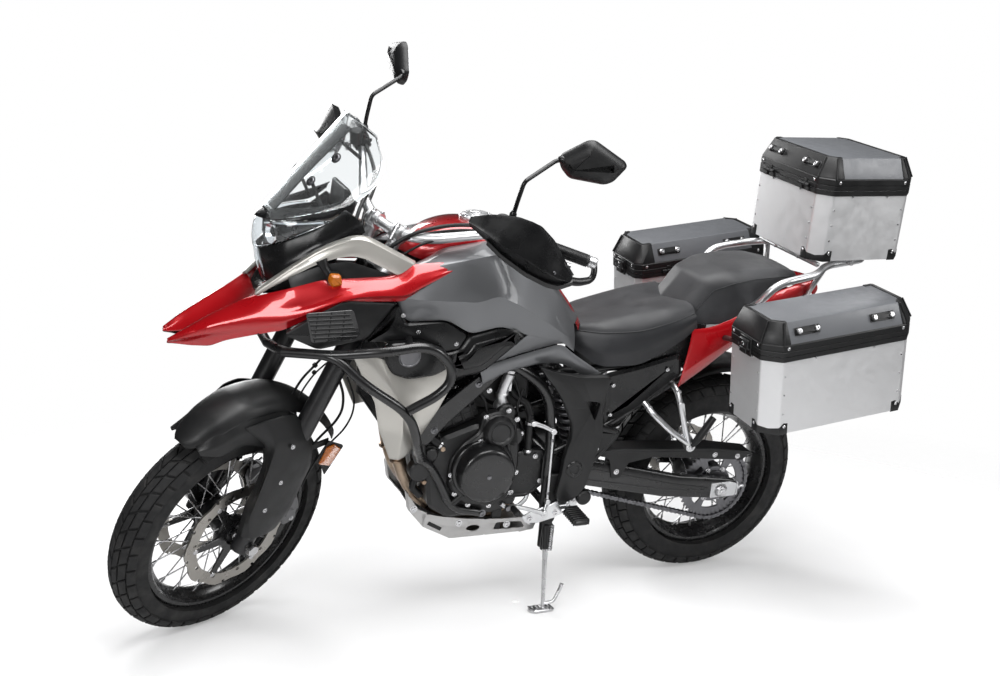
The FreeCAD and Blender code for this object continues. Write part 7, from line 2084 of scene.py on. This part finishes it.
def stand():
    """Side stand on its own joint: black fork at the top, leg, tang, foot and return spring."""
    top = np.array([574.0, 148, 300])
    foot = ground_point(600, 245)
    up = TURN @ Z
    base = foot + up * 6
    way = unit(top - base)
    fork_ = []
    for y in (138.5, 157.5):
        fork_.append(plate(rounded([(590, 318), (556, 318), (564, 250), (580, 196), (590, 200),
            (590, 260)], 6), y - 2.5, y + 2.5, 0.8))
    leg = tube([base, base + way * 70, top - way * 70, top - way * 40], [5.5, 6, 7.5, 9], 16, 40,
        0.1)
    knee = top - way * 64
    collar = bar(knee - way * 30, knee + way * 40, 9.5, 20, 2)
    turn = np.stack([unit(np.cross(Y, up)), np.cross(up, unit(np.cross(Y, up))), up])
    pad = rounded([(-30, -16), (-22, -22), (30, -22), (44, -10), (44, 10), (30, 22), (-22, 22),
        (-30, 16)], 6)
    shoe = layered(pad, (2, 0.4), (0, 2), (0, 7), (2, 9), plane="xy")
    ribs = []
    for x in range(-24, 48, 12):
        rib = rounded([(x, -15), (x + 5, -15), (x + 5, 15), (x, 15)], 1.5)
        ribs.append(stack([(rib, 9), (rib, 11.5)], "xy"))
    shoe = outward(put(join(shoe, *ribs), foot, turn))
    tang = tube([base + way * 14, base + way * 24 + (-26, 16, 0), base + way * 66 + (-44, 22, 0),
        base + way * 76 + (-46, 24, 0)], [5, 5, 5, 6], 10, 24, 0.2)
    piece("stand_leg", join(leg, shoe, tang), "steel", body="side_stand", cad=("side_stand",))
    piece("stand_fork", join(collar, *fork_, bar((574, 134, 300), (574, 162, 300), 19, 28, 2)),
        "black", body="side_stand")
    a, b = np.array([556.0, 152, 272]), base + way * 165 + (-12, 3, 0)
    t = np.linspace(0, 1, 220)[:, None]
    u = unit(np.cross(b - a, Y))
    wind = t * SPRING_TURNS * 2 * math.pi
    line = a + t * (b - a) + SPRING_R * (np.cos(wind) * u +
        np.sin(wind) * np.cross(unit(b - a), u))
    spring = wire(line, 1.5, 6, unit(np.cross(unit(np.gradient(line, axis=0)),
        unit((0.31, 0.2, 0.93)))))
    piece("stand_spring", join(spring, bar(a - (0, 12, 0), a + (0, 4, 0), 4, 12, 0.6),
        bar(b - (0, 8, 0), b + (10, 0, 0), 4, 12, 0.6)), "steel", body="side_stand")


def tail_end():
    """Rear mudguard with a bowed section, its tail and the holder for the number plate."""
    a = np.radians(np.linspace(72, 134, 40))
    share = np.array([-1, -0.96, -0.82, -0.5, 0, 0.5, 0.82, 0.96, 1.0])
    drop = np.array([14, 8, 3, 0.8, 0, 0.8, 3, 8, 14.0])
    r = 377 - drop[None] + 0 * a[:, None]
    points = np.stack([r * np.cos(a)[:, None], 90 * share[None] + 0 * a[:, None],
        REAR_TYRE_R + r * np.sin(a)[:, None]], -1)
    arch = facing(grid(points), Z)
    piece("rear_mudguard", arch, "black", wall=3, edge=0.8, cad=("rear_fender",))
    tail = plate(rounded([(-226, 610), (-250, 640), (-262, 895), (-226, 895), (-222, 640)], 5),
        -58, 58, 6)
    holder = plate(rounded([(-250, 780), (-340, 760), (-400, 620), (-392, 616), (-330, 748),
        (-250, 764)], 3), -60, 60, 2)
    ribs = [plate([(-262, 764), (-326, 746), (-380, 630), (-372, 630), (-318, 734), (-262, 744)],
        y - 2, y + 2, 0.6) for y in (-48, 0, 48)]
    lamp = block((-342, 0, 772), (26, 46, 16), 3)
    piece("plate_holder", join(tail, holder, *ribs, lamp), "black")
    normal = unit((-140, 0, 60))
    reflector = lathe([(0, 0), (0, 19), (3, 19), (5, 16), (5, 0)], normal * 4 + (-348, 0, 742),
        normal, 28)
    piece("tail_reflector", reflector, "red_lens")


def carriers():
    """Top rack with grab rails, feet, cross bars and a plate, with their screws."""
    rail = tube_pair([(-12, 126, 892), (-20, 152, 914), (-34, 178, 950), (-52, 186, 980),
        (-90, 188, 992), (-190, 180, 1006), (-246, 140, 1020), (-400, 112, 1028), (-420, 30, 1028),
        (-420, 0, 1028)], 11, 120, 0.1, 18)
    feet_ = [block((-12, 122, 888), (36, 14, 20), 4), bar((-214, 100, 896), (-236, 148, 1012), 7.5,
        14, 1)]
    outline = rounded([(-182, -108), (-182, 108), (-220, 120), (-440, 120), (-470, 96),
        (-470, -96), (-440, -120), (-220, -120)], 10)
    sheet = layered(outline, (1.2, 1037.5), (0, 1038.6), (0, 1044.4), (1.2, 1045.6), plane="xy")
    cross = [bar((x, -150, 1027), (x, 150, 1027), 7.5, 16, 1) for x in (-210, -330)]
    cross += [bar((-200, y, 1028), (-430, y, 1028), 7, 14, 1) for y in (-60, 60)]
    piece("rack_tubes", join(rail, both(*feet_), *cross), "alloy", cad=("luggage_rack",),
        smooth=50)
    piece("rack_sheet", sheet, "alloy")
    spots = [(x, y, 1045.6) for x in (-214, -436) for y in (-88, 88)]
    piece("rack_screws", join(bolts(spots, Z, 6, 3), both(bolts([(-16, 129, 886)], Y, 5, 3))),
        "steel")


def lamps():
    """Indicators: dark stalks and housings with amber lenses."""
    front_lens = rounded([(-19, -14), (8, -18), (17, -4), (12, 15), (-14, 13)], 6)
    dome = layered(front_lens, (0, -14), (0, 5), (2.5, 10), (6, 13))
    cup = layered(front_lens, (-1.5, -22), (-1.5, -5), (1, -4.5))
    base = (1226, 176, 1040)
    piece("front_indicator_lenses", both(put(dome, base)), "amber", cad=("turn_signals",))
    stalk = tube([(1236, 158, 1048), (1246, 156, 1062), (1254, 148, 1082)], [9, 10, 15], 14, 20)
    rear_base = np.array((-300, 138, 766.0))
    turn = np.array([[0, 1, 0], [1, 0, 0], [0, 0, 1.0]])
    rear_lens = rounded([(-24, -14), (22, -17), (28, 0), (20, 17), (-22, 15)], 7)
    lens = layered(rear_lens, (0, 0), (0, 10), (5, 17))
    back = outward(put((lens[0] * (1, -1, 1), lens[1]), rear_base + (2, 0, 0), turn))
    piece("rear_indicator_lenses", both(back), "amber")
    shell = outward(put((lens[0] * (0.98, 0.7, 0.98), lens[1]), rear_base + (3, 0, 0), turn))
    rod_ = tube([(-294, 118, 764), (-290, 86, 762), (-290, 62, 762)], 6, 12, 16)
    piece("indicator_stalks", both(put(cup, base), stalk, shell, rod_), "black")


def cap():
    """Filler ring with screws and the hinged cap with a blank key cover."""
    centre = np.array([800.0, 0, 1146])
    ring = ring_lathe([(-8, 36), (-8, 47), (4, 47), (6, 45), (6, 38), (4, 36)], centre, Z, 64)
    piece("filler_ring", ring, "alloy")
    t = np.radians(np.arange(8) * 45 + 22)
    spots = centre + np.stack([41.5 * np.cos(t), 41.5 * np.sin(t), 0 * t + 6], 1)
    piece("filler_screws", bolts(spots, Z, 3, 2), "steel")
    lid = lathe([(2.4, 0), (2.4, 33), (9, 33), (12, 31), (12.2, 12), (14, 11), (14, 0)], centre, Z,
        64)
    flap = block(centre + (4, 0, 15), (26, 12, 4), 1.2)
    ear = block(centre + (38, 0, 10), (16, 16, 5), 1.5)
    piece("filler_cap", join(lid, flap, ear), "alloy", body="fuel_cap", cad=("fuel_cap",))


# ---------------------------------------------------------------- luggage
PANNIER = dict(x0=-354.0, x1=116.0, y0=274.0, y1=480.0, z0=654.0, body=224.0, lid=86.0, cut=42.0,
    inner=20.0)
TOP_CASE = dict(x0=-488.0, x1=-166.0, y0=-180.0, y1=180.0, z0=1046.0, body=205.0, lid=88.0,
    cut=36.0, inner=36.0)
PANNIER_PITCH = math.radians(6.5)
SHEET, LID_GAP, LID_STEP, LID_IN = 3.0, 1.0, 0.4, 26.0
HINGE_R = 5.0


def pitched(shape):
    """The left box turned rear end up about its lower front edge."""
    p = shape[0] - (PANNIER["x1"], 0, PANNIER["z0"])
    c, s = math.cos(PANNIER_PITCH), math.sin(PANNIER_PITCH)
    turned = np.stack([p[:, 0] * c + p[:, 2] * s, p[:, 1], p[:, 2] * c - p[:, 0] * s], 1)
    return turned + (PANNIER["x1"], 0, PANNIER["z0"]), shape[1]


def box_plan(b, grow=0.0):
    """Plan of a box: its rectangle with the corners cut, moved outwards by grow."""
    x0, x1, y0, y1, cut, inner = (b[k] for k in ("x0", "x1", "y0", "y1", "cut", "inner"))
    plan = [(x1 - cut, y1), (x1, y1 - cut), (x1, y0 + inner), (x1 - inner, y0), (x0 + inner, y0),
        (x0, y0 + inner), (x0, y1 - cut), (x0 + cut, y1)]
    return inset(plan, -grow)


def flat(v, z=0.0):
    """A plan's point or direction with its height."""
    return np.array([*v, z])


def away(b, start, end):
    """Level direction square to an edge of a box's plan, pointing out of the box."""
    across = unit((end[1] - start[1], start[0] - end[0]))
    middle = np.array([b["x0"] + b["x1"], b["y0"] + b["y1"]]) / 2
    return flat(across if across @ ((start + end) / 2 - middle) > 0 else -across)


def shell_walls(levels, r):
    """Hollow box from outlines at heights, running down outside and up inside."""
    return stack([(rounded(plan, r, 3), z) for plan, z in levels], "xy")


def end_sheet(b, front, levels):
    """Cap over one end of a lid: rows round that end at each level's offset and height."""
    rows = []
    for grow, z, run in levels:
        plan = box_plan(b, grow)
        four = plan[:4] if front else plan[4:]
        x = b["x1"] - run if front else b["x0"] + run
        rows.append([(x, four[0][1], z), *[(*p, z) for p in four], (x, four[3][1], z)])
    return facing(grid(np.array(rows, float)), X if front else -X)


def corner_guard(b, k, z):
    """Plate round the foot of one cut corner, with an ear up each neighbouring wall."""
    plan = box_plan(b, 0.4)
    p, q = plan[k], plan[(k + 1) % 8]
    before, after = plan[k - 1], plan[(k + 2) % 8]
    back = p + unit(before - p) * min(26, 0.45 * np.linalg.norm(before - p))
    ahead = q + unit(after - q) * min(26, 0.45 * np.linalg.norm(after - q))
    middle = (p + q) / 2
    line = np.array([back, (back + p) / 2, p, middle, q, (ahead + q) / 2, ahead])
    high = np.array([30.0, 32, 20, 15, 20, 32, 30])
    rows = [np.column_stack([line, np.full(7, z - 1.5)]), np.column_stack([line, z + high * 0.5]),
        np.column_stack([line, z + high])]
    sheet = facing(grid(np.array(rows)), away(b, p, q))
    heads = [(flat((start + end) / 2, z + 24) + out * 2.6, out)
        for start, end, out in ((back, p, away(b, before, p)), (ahead, q, away(b, q, after)))]
    return sheet, heads


def lug(middle, along, out):
    """Tie-down lug: a waisted bar between two six-sided posts."""
    turn = np.stack([along, np.cross(out, along), out])
    posts = [lathe([(0, 0), (0, 10.5), (6.5, 10.5), (9.5, 7.5), (10, 0)], middle + along * s, out,
        6) for s in (-27, 27)]
    waist = stack([(rounded([(-24, -8), (-12, -5.2), (12, -5.2), (24, -8), (24, 8), (12, 5.2),
        (-12, 5.2), (-24, 8)], 3, 2), h) for h in (1.5, 8.5)], "xy")
    foot = block(middle + out * 1.2, (78, 22, 2.4), 1, turn)
    caps = bolts([middle + along * s + out * 9.5 for s in (-27, 27)], out, 5.5, 3)
    return caps, join(put(waist, middle, turn), foot, *posts)


LATCH_WIDE, LATCH_HIGH = 54.0, 50.0


def latch(middle, out, across):
    """Over-centre latch: base plate, folded lever with a raised grip, lock and hinge pin."""
    turn = np.stack([across, np.cross(out, across), out])
    up = turn[1] if turn[1][2] > 0 else -turn[1]
    wide, high = LATCH_WIDE, LATCH_HIGH
    parts = [block(middle + out * 2, (wide, high, 4), 1.5, turn),
        block(middle + out * 7 + up * high * 0.14, (wide * 0.8, high * 0.5, 9), 2.5, turn),
        block(middle + out * 9 - up * high * 0.24, (wide * 0.62, high * 0.34, 8), 2.5, turn),
        bar(middle + out * 8 - across * wide * 0.5 - up * high * 0.08,
            middle + out * 8 + across * wide * 0.5 - up * high * 0.08, 3.4, 10, 0.6)]
    lock = bar(middle + out * 9 + up * high * 0.14, middle + out * 13.5 + up * high * 0.14,
        6.0, 18, 0.8)
    return join(*parts), lock


def hinge(middle, out, across):
    """Box and lid halves of a hinge with interleaved barrels about one pin."""
    pin = middle + out * (HINGE_R + 1.5) + Z * (LID_GAP / 2 + 3)
    a, third = pin - across * 24, across * 16
    turn = np.stack([across, Z, np.cross(across, Z)])
    root = join(bar(a, a + third - across, HINGE_R, 16, 0.5), bar(pin + across * 9,
        pin + across * 24, HINGE_R, 16, 0.5), bar(a, pin + across * 24, 2.0, 8),
        *[block(pin - out * 3.4 - Z * 9 + across * s, (15, 17, 5.4), 0.8, turn)
        for s in (-16.5, 16.5)])
    lid = join(bar(pin - across * 7.5, pin + across * 7.5, HINGE_R, 16, 0.5),
        block(pin - out * 3.9 + Z * 8, (15, 15, 4.6), 0.8, turn))
    return root, lid


def make_box(b, name, lid_body, cad, turn, latches, hinges, lugs):
    """One aluminium box: folded shell, rim band, lid sheet with moulded end caps, latches, tie
    lugs, corner guards and rivets."""
    z0, z1 = b["z0"], b["z0"] + b["body"]
    z2 = z1 + LID_GAP
    rim, top = z2 + b["lid"] * LID_STEP, z2 + b["lid"]
    plan = box_plan(b)
    small = box_plan(b, -LID_IN)
    shell = shell_walls([(box_plan(b, -2), z0), (plan, z0 + 2), (plan, z1),
        (box_plan(b, -SHEET), z1), (box_plan(b, -SHEET), z0 + SHEET)], 5)
    piece(name + "_shell", turn(shell), "box", cad=cad[:1], smooth=30)
    band = closed_sheet([(box_plan(b, 0.3), z1 - 15), (box_plan(b, 3.2), z1 - 13.5),
        (box_plan(b, 3.2), z1 - 0.4), (box_plan(b, -SHEET - 1), z1 - 0.4),
        (box_plan(b, -SHEET - 1), z1 - 15)])
    root_black = [band]
    lid_sheet = shell_walls([(box_plan(b, -SHEET - LID_IN), top - SHEET),
        (box_plan(b, -SHEET), rim), (box_plan(b, -SHEET), z2), (plan, z2), (plan, rim),
        (small, top - 0.8), (box_plan(b, -LID_IN - 1.5), top)], 5)
    piece(name + "_lid_sheet", turn(lid_sheet), "lid", lid_body, cad=cad[1:], smooth=30)
    skirt = closed_sheet([(box_plan(b, 3.2), z2 + 0.2), (box_plan(b, 3.2), z2 + 12),
        (box_plan(b, 1.6), z2 + 13.2), (box_plan(b, 1.6), z2 + 15), (box_plan(b, 3.0), z2 + 16.2),
        (box_plan(b, 3.0), rim - 5), (box_plan(b, 0.4), rim - 1.5), (box_plan(b, -1.5), rim - 2),
        (box_plan(b, -1.5), z2 + 0.2)])
    lid_black = [skirt]
    for front in (True, False):
        reach = 62.0 if front else 56.0
        cap = end_sheet(b, front, ((1.0, rim - 6, reach), (1.2, rim + 1, reach),
            (0.8 - LID_IN, top + 1.6, reach), (-10 - LID_IN, top + 2.0, reach)))
        piece(name + ("_front" if front else "_rear") + "_lid_cap", turn(cap), "black", lid_body,
            wall=2.6, edge=0.8)
        rib_low, rib_high = box_plan(b, 3.4), box_plan(b, 3.0 - LID_IN)
        for k in ((0, 1) if front else (6, 7)):
            low, high = rib_low[k], rib_high[k]
            lid_black.append(bar((*low, rim - 3), (*high, top + 0.5), 2.6, 8, 0.8))
    steel, guards = [], []
    for k in (0, 2, 4, 6):
        sheet, heads = corner_guard(b, k, z0)
        guards.append(sheet)
        steel += [bolts(place, way, 3.4, 2.4) for place, way in heads]
    piece(name + "_corner_guards", turn(join(*guards)), "black", wall=2.4, edge=0.6)
    lid_steel = []
    for k in range(8):
        p, q = box_plan(b, 3.0)[k], box_plan(b, 3.0)[(k + 1) % 8]
        long = np.linalg.norm(q - p)
        way = away(b, p, q)
        if long > 80:
            for share in (14 / long, 1 - 14 / long):
                spot = flat(p + (q - p) * share, z2 + 23.0)
                lid_steel.append(bolts(spot, way, 3.2, 2.6))
            for share in (0.26, 0.74):
                spot = flat(p + (q - p) * share, z1 - 17.0) - way * 2.4
                steel.append(bolts(spot, way, 2.2, 1.4))
            for share in (10 / long, 1 - 10 / long):
                spots = [flat(p + (q - p) * share, z) - way * 2.9 for z in np.linspace(z0 + 60,
                    z1 - 55, 3)]
                steel.append(bolts(np.array(spots), way, 1.9, 1.2))
    for (x, y), along, way in lugs:
        out = unit(flat(np.multiply(way, top - rim), LID_IN))
        posts, waist = lug(np.array([x, y, (rim + top) / 2]), flat(along), out)
        lid_steel.append(posts)
        lid_black.append(waist)
    for (x, y), across, way in latches:
        body, lock = latch(np.array([x, y, z2 + 4.0]) + flat(way) * 3.4, flat(way), flat(across))
        lid_black.append(body)
        lid_steel.append(lock)
    for (x, y), across, way in hinges:
        root, lid = hinge(np.array([x, y, z1]), flat(way), flat(across))
        root_black.append(root)
        lid_black.append(lid)
    piece(name + "_rim_band", turn(join(*root_black)), "black", smooth=34)
    piece(name + "_lid_band", turn(join(*lid_black)), "black", lid_body, smooth=34)
    piece(name + "_rivets", turn(join(*steel)), "steel")
    piece(name + "_lid_fittings", turn(join(*lid_steel)), "steel", lid_body)


def closed_sheet(levels):
    """Ring-shaped band through plan outlines that end where they began."""
    rows = [np.column_stack([rounded(plan, 6, 3), np.full(len(plan) * 4, float(z))])
        for plan, z in levels]
    return outward(grid(np.stack(rows), wrap_u=True, wrap_v=True))


def make_luggage():
    """The two side boxes, the top case and the fittings of the racks."""
    b = PANNIER
    middle = (b["x0"] + b["x1"]) / 2
    slope_out, slope_in = b["y1"] - LID_IN / 2, b["y0"] + LID_IN / 2
    side = dict(latches=[((b["x1"], 372.0), (0, 1), (1, 0)), ((b["x0"], 372.0), (0, 1), (-1, 0))],
        hinges=[((x, b["y0"]), (1, 0), (0, -1)) for x in (b["x0"] + 110, b["x1"] - 110)],
        lugs=[((middle + s * 118, slope_out), (1, 0), (0, 1)) for s in (-1, 1)] +
        [((middle + s * 118, slope_in), (1, 0), (0, -1)) for s in (-1, 1)])
    for name, turn in (("left", pitched), ("right", lambda shape: mirrored(pitched(shape)))):
        make_box(b, "pannier_" + name, "pannier_lid_" + name, ("pannier_" + name,
            "pannier_lid_" + name), turn, **side)
    t = TOP_CASE
    make_box(t, "top_box", "top_case_lid", ("top_case", "top_case_lid"), lambda shape: shape,
        latches=[((t["x0"], s * 96.0), (0, 1), (-1, 0)) for s in (-1, 1)],
        hinges=[((t["x1"], s * 90.0), (0, 1), (1, 0)) for s in (-1, 1)], lugs=[((x, s * 88.0),
        (0, 1), (w, 0)) for s in (-1, 1) for x, w in ((t["x1"] - LID_IN / 2, 1),
        (t["x0"] + LID_IN / 2, -1))])
    hooks = join(*[block((x, y, 1044), (34, 26, 6), 1.5) for x in (-230, -430)
        for y in (-108, 108)])
    piece("top_box_mounts", hooks, "black")


KEPT_NODES = {
    "fork": ("fork_legs",),
    "frame": ("pannier_racks",),
    "alloy": ("triple_clamps",),
    "disc": ("front_discs", "rear_disc"),
    "rubber": ("brake_hoses",),
}


# ---------------------------------------------------------------- settings
def degrees(value, name, description):
    return FloatProperty(name=name, description=description, default=math.radians(value),
        subtype="ANGLE", unit="ROTATION")


def tone(value, name, description):
    return FloatVectorProperty(name=name, description=description, default=value, size=3,
        subtype="COLOR", min=0.0, max=1.0)


class PaintSettings(bpy.types.PropertyGroup):
    """Paint colours, as linear values."""
    red: tone((0.41, 0.002, 0.006), "Red", "Colour of the tank top, beak and tail")
    grey: tone((0.152, 0.156, 0.163), "Grey", "Colour of the tank sides")
    silver: tone((0.50, 0.485, 0.45), "Silver", "Colour of the arches and lower fairings")


class WheelSettings(bpy.types.PropertyGroup):
    """Tyre pattern and rim details."""
    front_pitches: IntProperty(name="Front blocks", default=38, min=12, max=90,
        description="Tread blocks round the front tyre in each row")
    rear_pitches: IntProperty(name="Rear blocks", default=42, min=12, max=90,
        description="Tread blocks round the rear tyre in each row")
    groove: FloatProperty(name="Groove", default=0.006, min=0.001, max=0.02, unit="LENGTH",
        description="Depth of the tread grooves")


class StageSettings(bpy.types.PropertyGroup):
    """Lights and camera."""
    sky: FloatProperty(name="Sky", default=0.5, min=0.0, max=3.0,
        description="Strength of the even light from all round")
    gloss: FloatProperty(name="Mirrored sky", default=0.15, min=0.0, max=1.0,
        description="Share of the even light that shiny surfaces mirror")
    key: FloatProperty(name="Key light", default=215.0, min=0.0, max=2000.0, unit="POWER",
        description="Power of the overhead light")
    lens: FloatProperty(name="Lens", default=43.8, min=10.0, max=300.0, unit="CAMERA",
        description="Focal length of the camera")
    azimuth: degrees(158.18, "Azimuth", "Way round the machine that the camera stands")
    elevation: degrees(9.08, "Elevation", "Angle of the camera above level")
    roll: degrees(0.85, "Roll", "Tilt of the camera about its own line of sight")
    eye: FloatVectorProperty(name="Eye", default=(1.3078, 3.1126, 1.3156), size=3,
        subtype="TRANSLATION", unit="LENGTH", description="Place of the camera")


class MotorcycleStep(bpy.types.Operator):
    """One step of the machine's build."""
    bl_idname = "motorcycle.step"
    bl_label = "Step"
    bl_options = {"REGISTER", "UNDO"}


class MOTORCYCLE_OT_finishes(MotorcycleStep):
    """Mix every paint, plastic, metal, rubber and lens."""
    bl_idname = "motorcycle.finishes"
    bl_label = "Finishes"

    def execute(self, context):
        FINISHES.update(make_finishes(context.scene.paint_settings))
        return {"FINISHED"}


class MOTORCYCLE_OT_stage(MotorcycleStep):
    """Lay the floor and set up the lights and the camera."""
    bl_idname = "motorcycle.stage"
    bl_label = "Stage"

    def execute(self, context):
        make_stage(context.scene.stage_settings)
        return {"FINISHED"}


class MOTORCYCLE_OT_wheels(MotorcycleStep):
    """Make both spoked wheels with their tyres."""
    bl_idname = "motorcycle.wheels"
    bl_label = "Wheels"

    def execute(self, context):
        make_wheels(context.scene.wheel_settings)
        return {"FINISHED"}


class MOTORCYCLE_OT_tank(MotorcycleStep):
    """Make the red tank top and the grey tank sides."""
    bl_idname = "motorcycle.tank"
    bl_label = "Tank"

    def execute(self, context):
        make_tank()
        return {"FINISHED"}


class MOTORCYCLE_OT_beak(MotorcycleStep):
    """Make the two-pronged beak and the silver arches."""
    bl_idname = "motorcycle.beak"
    bl_label = "Beak"

    def execute(self, context):
        make_beak()
        return {"FINISHED"}


class MOTORCYCLE_OT_cowl(MotorcycleStep):
    """Make the head lamp, its cowl, the dash and the clear screen."""
    bl_idname = "motorcycle.cowl"
    bl_label = "Lamp and Screen"

    def execute(self, context):
        make_cowl()
        return {"FINISHED"}


class MOTORCYCLE_OT_fairings(MotorcycleStep):
    """Make the intakes, side bands and silver lower fairings."""
    bl_idname = "motorcycle.fairings"
    bl_label = "Fairings"

    def execute(self, context):
        make_fairings()
        return {"FINISHED"}


class MOTORCYCLE_OT_seats(MotorcycleStep):
    """Make the rider and passenger seats."""
    bl_idname = "motorcycle.seats"
    bl_label = "Seats"

    def execute(self, context):
        make_seats()
        return {"FINISHED"}


class MOTORCYCLE_OT_side_panels(MotorcycleStep):
    """Make the frame covers, rear panels, tail panels and tail lamp."""
    bl_idname = "motorcycle.side_panels"
    bl_label = "Side Panels"

    def execute(self, context):
        make_side_panels()
        return {"FINISHED"}


class MOTORCYCLE_OT_front_end(MotorcycleStep):
    """Make the front fender, fork details, calipers, hoses and cables."""
    bl_idname = "motorcycle.front_end"
    bl_label = "Fork and Fender"

    def execute(self, context):
        make_front_end()
        return {"FINISHED"}


class MOTORCYCLE_OT_bars(MotorcycleStep):
    """Make the handlebar clamps, grips, levers, hand guards and mirrors."""
    bl_idname = "motorcycle.bars"
    bl_label = "Handlebar"

    def execute(self, context):
        make_bars()
        return {"FINISHED"}


class MOTORCYCLE_OT_engine(MotorcycleStep):
    """Make the engine with its covers, hoses, radiator, exhaust and skid plate."""
    bl_idname = "motorcycle.engine"
    bl_label = "Engine"

    def execute(self, context):
        make_engine()
        return {"FINISHED"}


class MOTORCYCLE_OT_running_gear(MotorcycleStep):
    """Make the chain, sprockets, swingarm details, foot rests and side stand."""
    bl_idname = "motorcycle.running_gear"
    bl_label = "Running Gear"

    def execute(self, context):
        make_running_gear()
        return {"FINISHED"}


class MOTORCYCLE_OT_luggage(MotorcycleStep):
    """Make the three aluminium boxes, their lids and the rack details."""
    bl_idname = "motorcycle.luggage"
    bl_label = "Luggage"

    def execute(self, context):
        make_luggage()
        return {"FINISHED"}


class MOTORCYCLE_OT_refinish(MotorcycleStep):
    """Give the pieces that stay as packed their finishes."""
    bl_idname = "motorcycle.refinish"
    bl_label = "Other Finishes"

    def execute(self, context):
        for finish, nodes in KEPT_NODES.items():
            refinish(FINISHES[finish], *nodes)
        return {"FINISHED"}


STEPS = ("finishes", "stage", "wheels", "tank", "beak", "cowl", "fairings", "seats", "side_panels",
    "front_end", "bars", "engine", "running_gear", "luggage", "refinish")
SETTINGS = {"paint_settings": PaintSettings, "wheel_settings": WheelSettings,
    "stage_settings": StageSettings}


class MOTORCYCLE_PT_panel(bpy.types.Panel):
    """Sizes, colours and steps of the motorcycle."""
    bl_label = "Motorcycle"
    bl_idname = "MOTORCYCLE_PT_panel"
    bl_space_type = "VIEW_3D"
    bl_region_type = "UI"
    bl_category = "Motorcycle"

    def draw(self, context):
        for settings, group in SETTINGS.items():
            box = self.layout.box()
            for name in group.__annotations__:
                box.prop(getattr(context.scene, settings), name)
        for step in STEPS:
            self.layout.operator("motorcycle." + step)


CLASSES = (*SETTINGS.values(), *(globals()["MOTORCYCLE_OT_" + step] for step in STEPS),
    MOTORCYCLE_PT_panel)


def register():
    for cls in CLASSES:
        bpy.utils.register_class(cls)
    for name, group in SETTINGS.items():
        setattr(bpy.types.Scene, name, PointerProperty(type=group))


def unregister():
    for name in SETTINGS:
        delattr(bpy.types.Scene, name)
    for cls in reversed(CLASSES):
        bpy.utils.unregister_class(cls)


def main():
    """Registers the classes, runs the steps in order and writes the two boxes."""
    register()
    for step in STEPS:
        getattr(bpy.ops.motorcycle, step)()
    boxes = {"cad": CAD_BOX, "visual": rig.bounds()}
    with open("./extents.json", "w") as out:
        json.dump({k: [[round(float(c), 5) for c in corner] for corner in box]
                   for k, box in boxes.items()}, out)


if __name__ == "__main__":
    main()
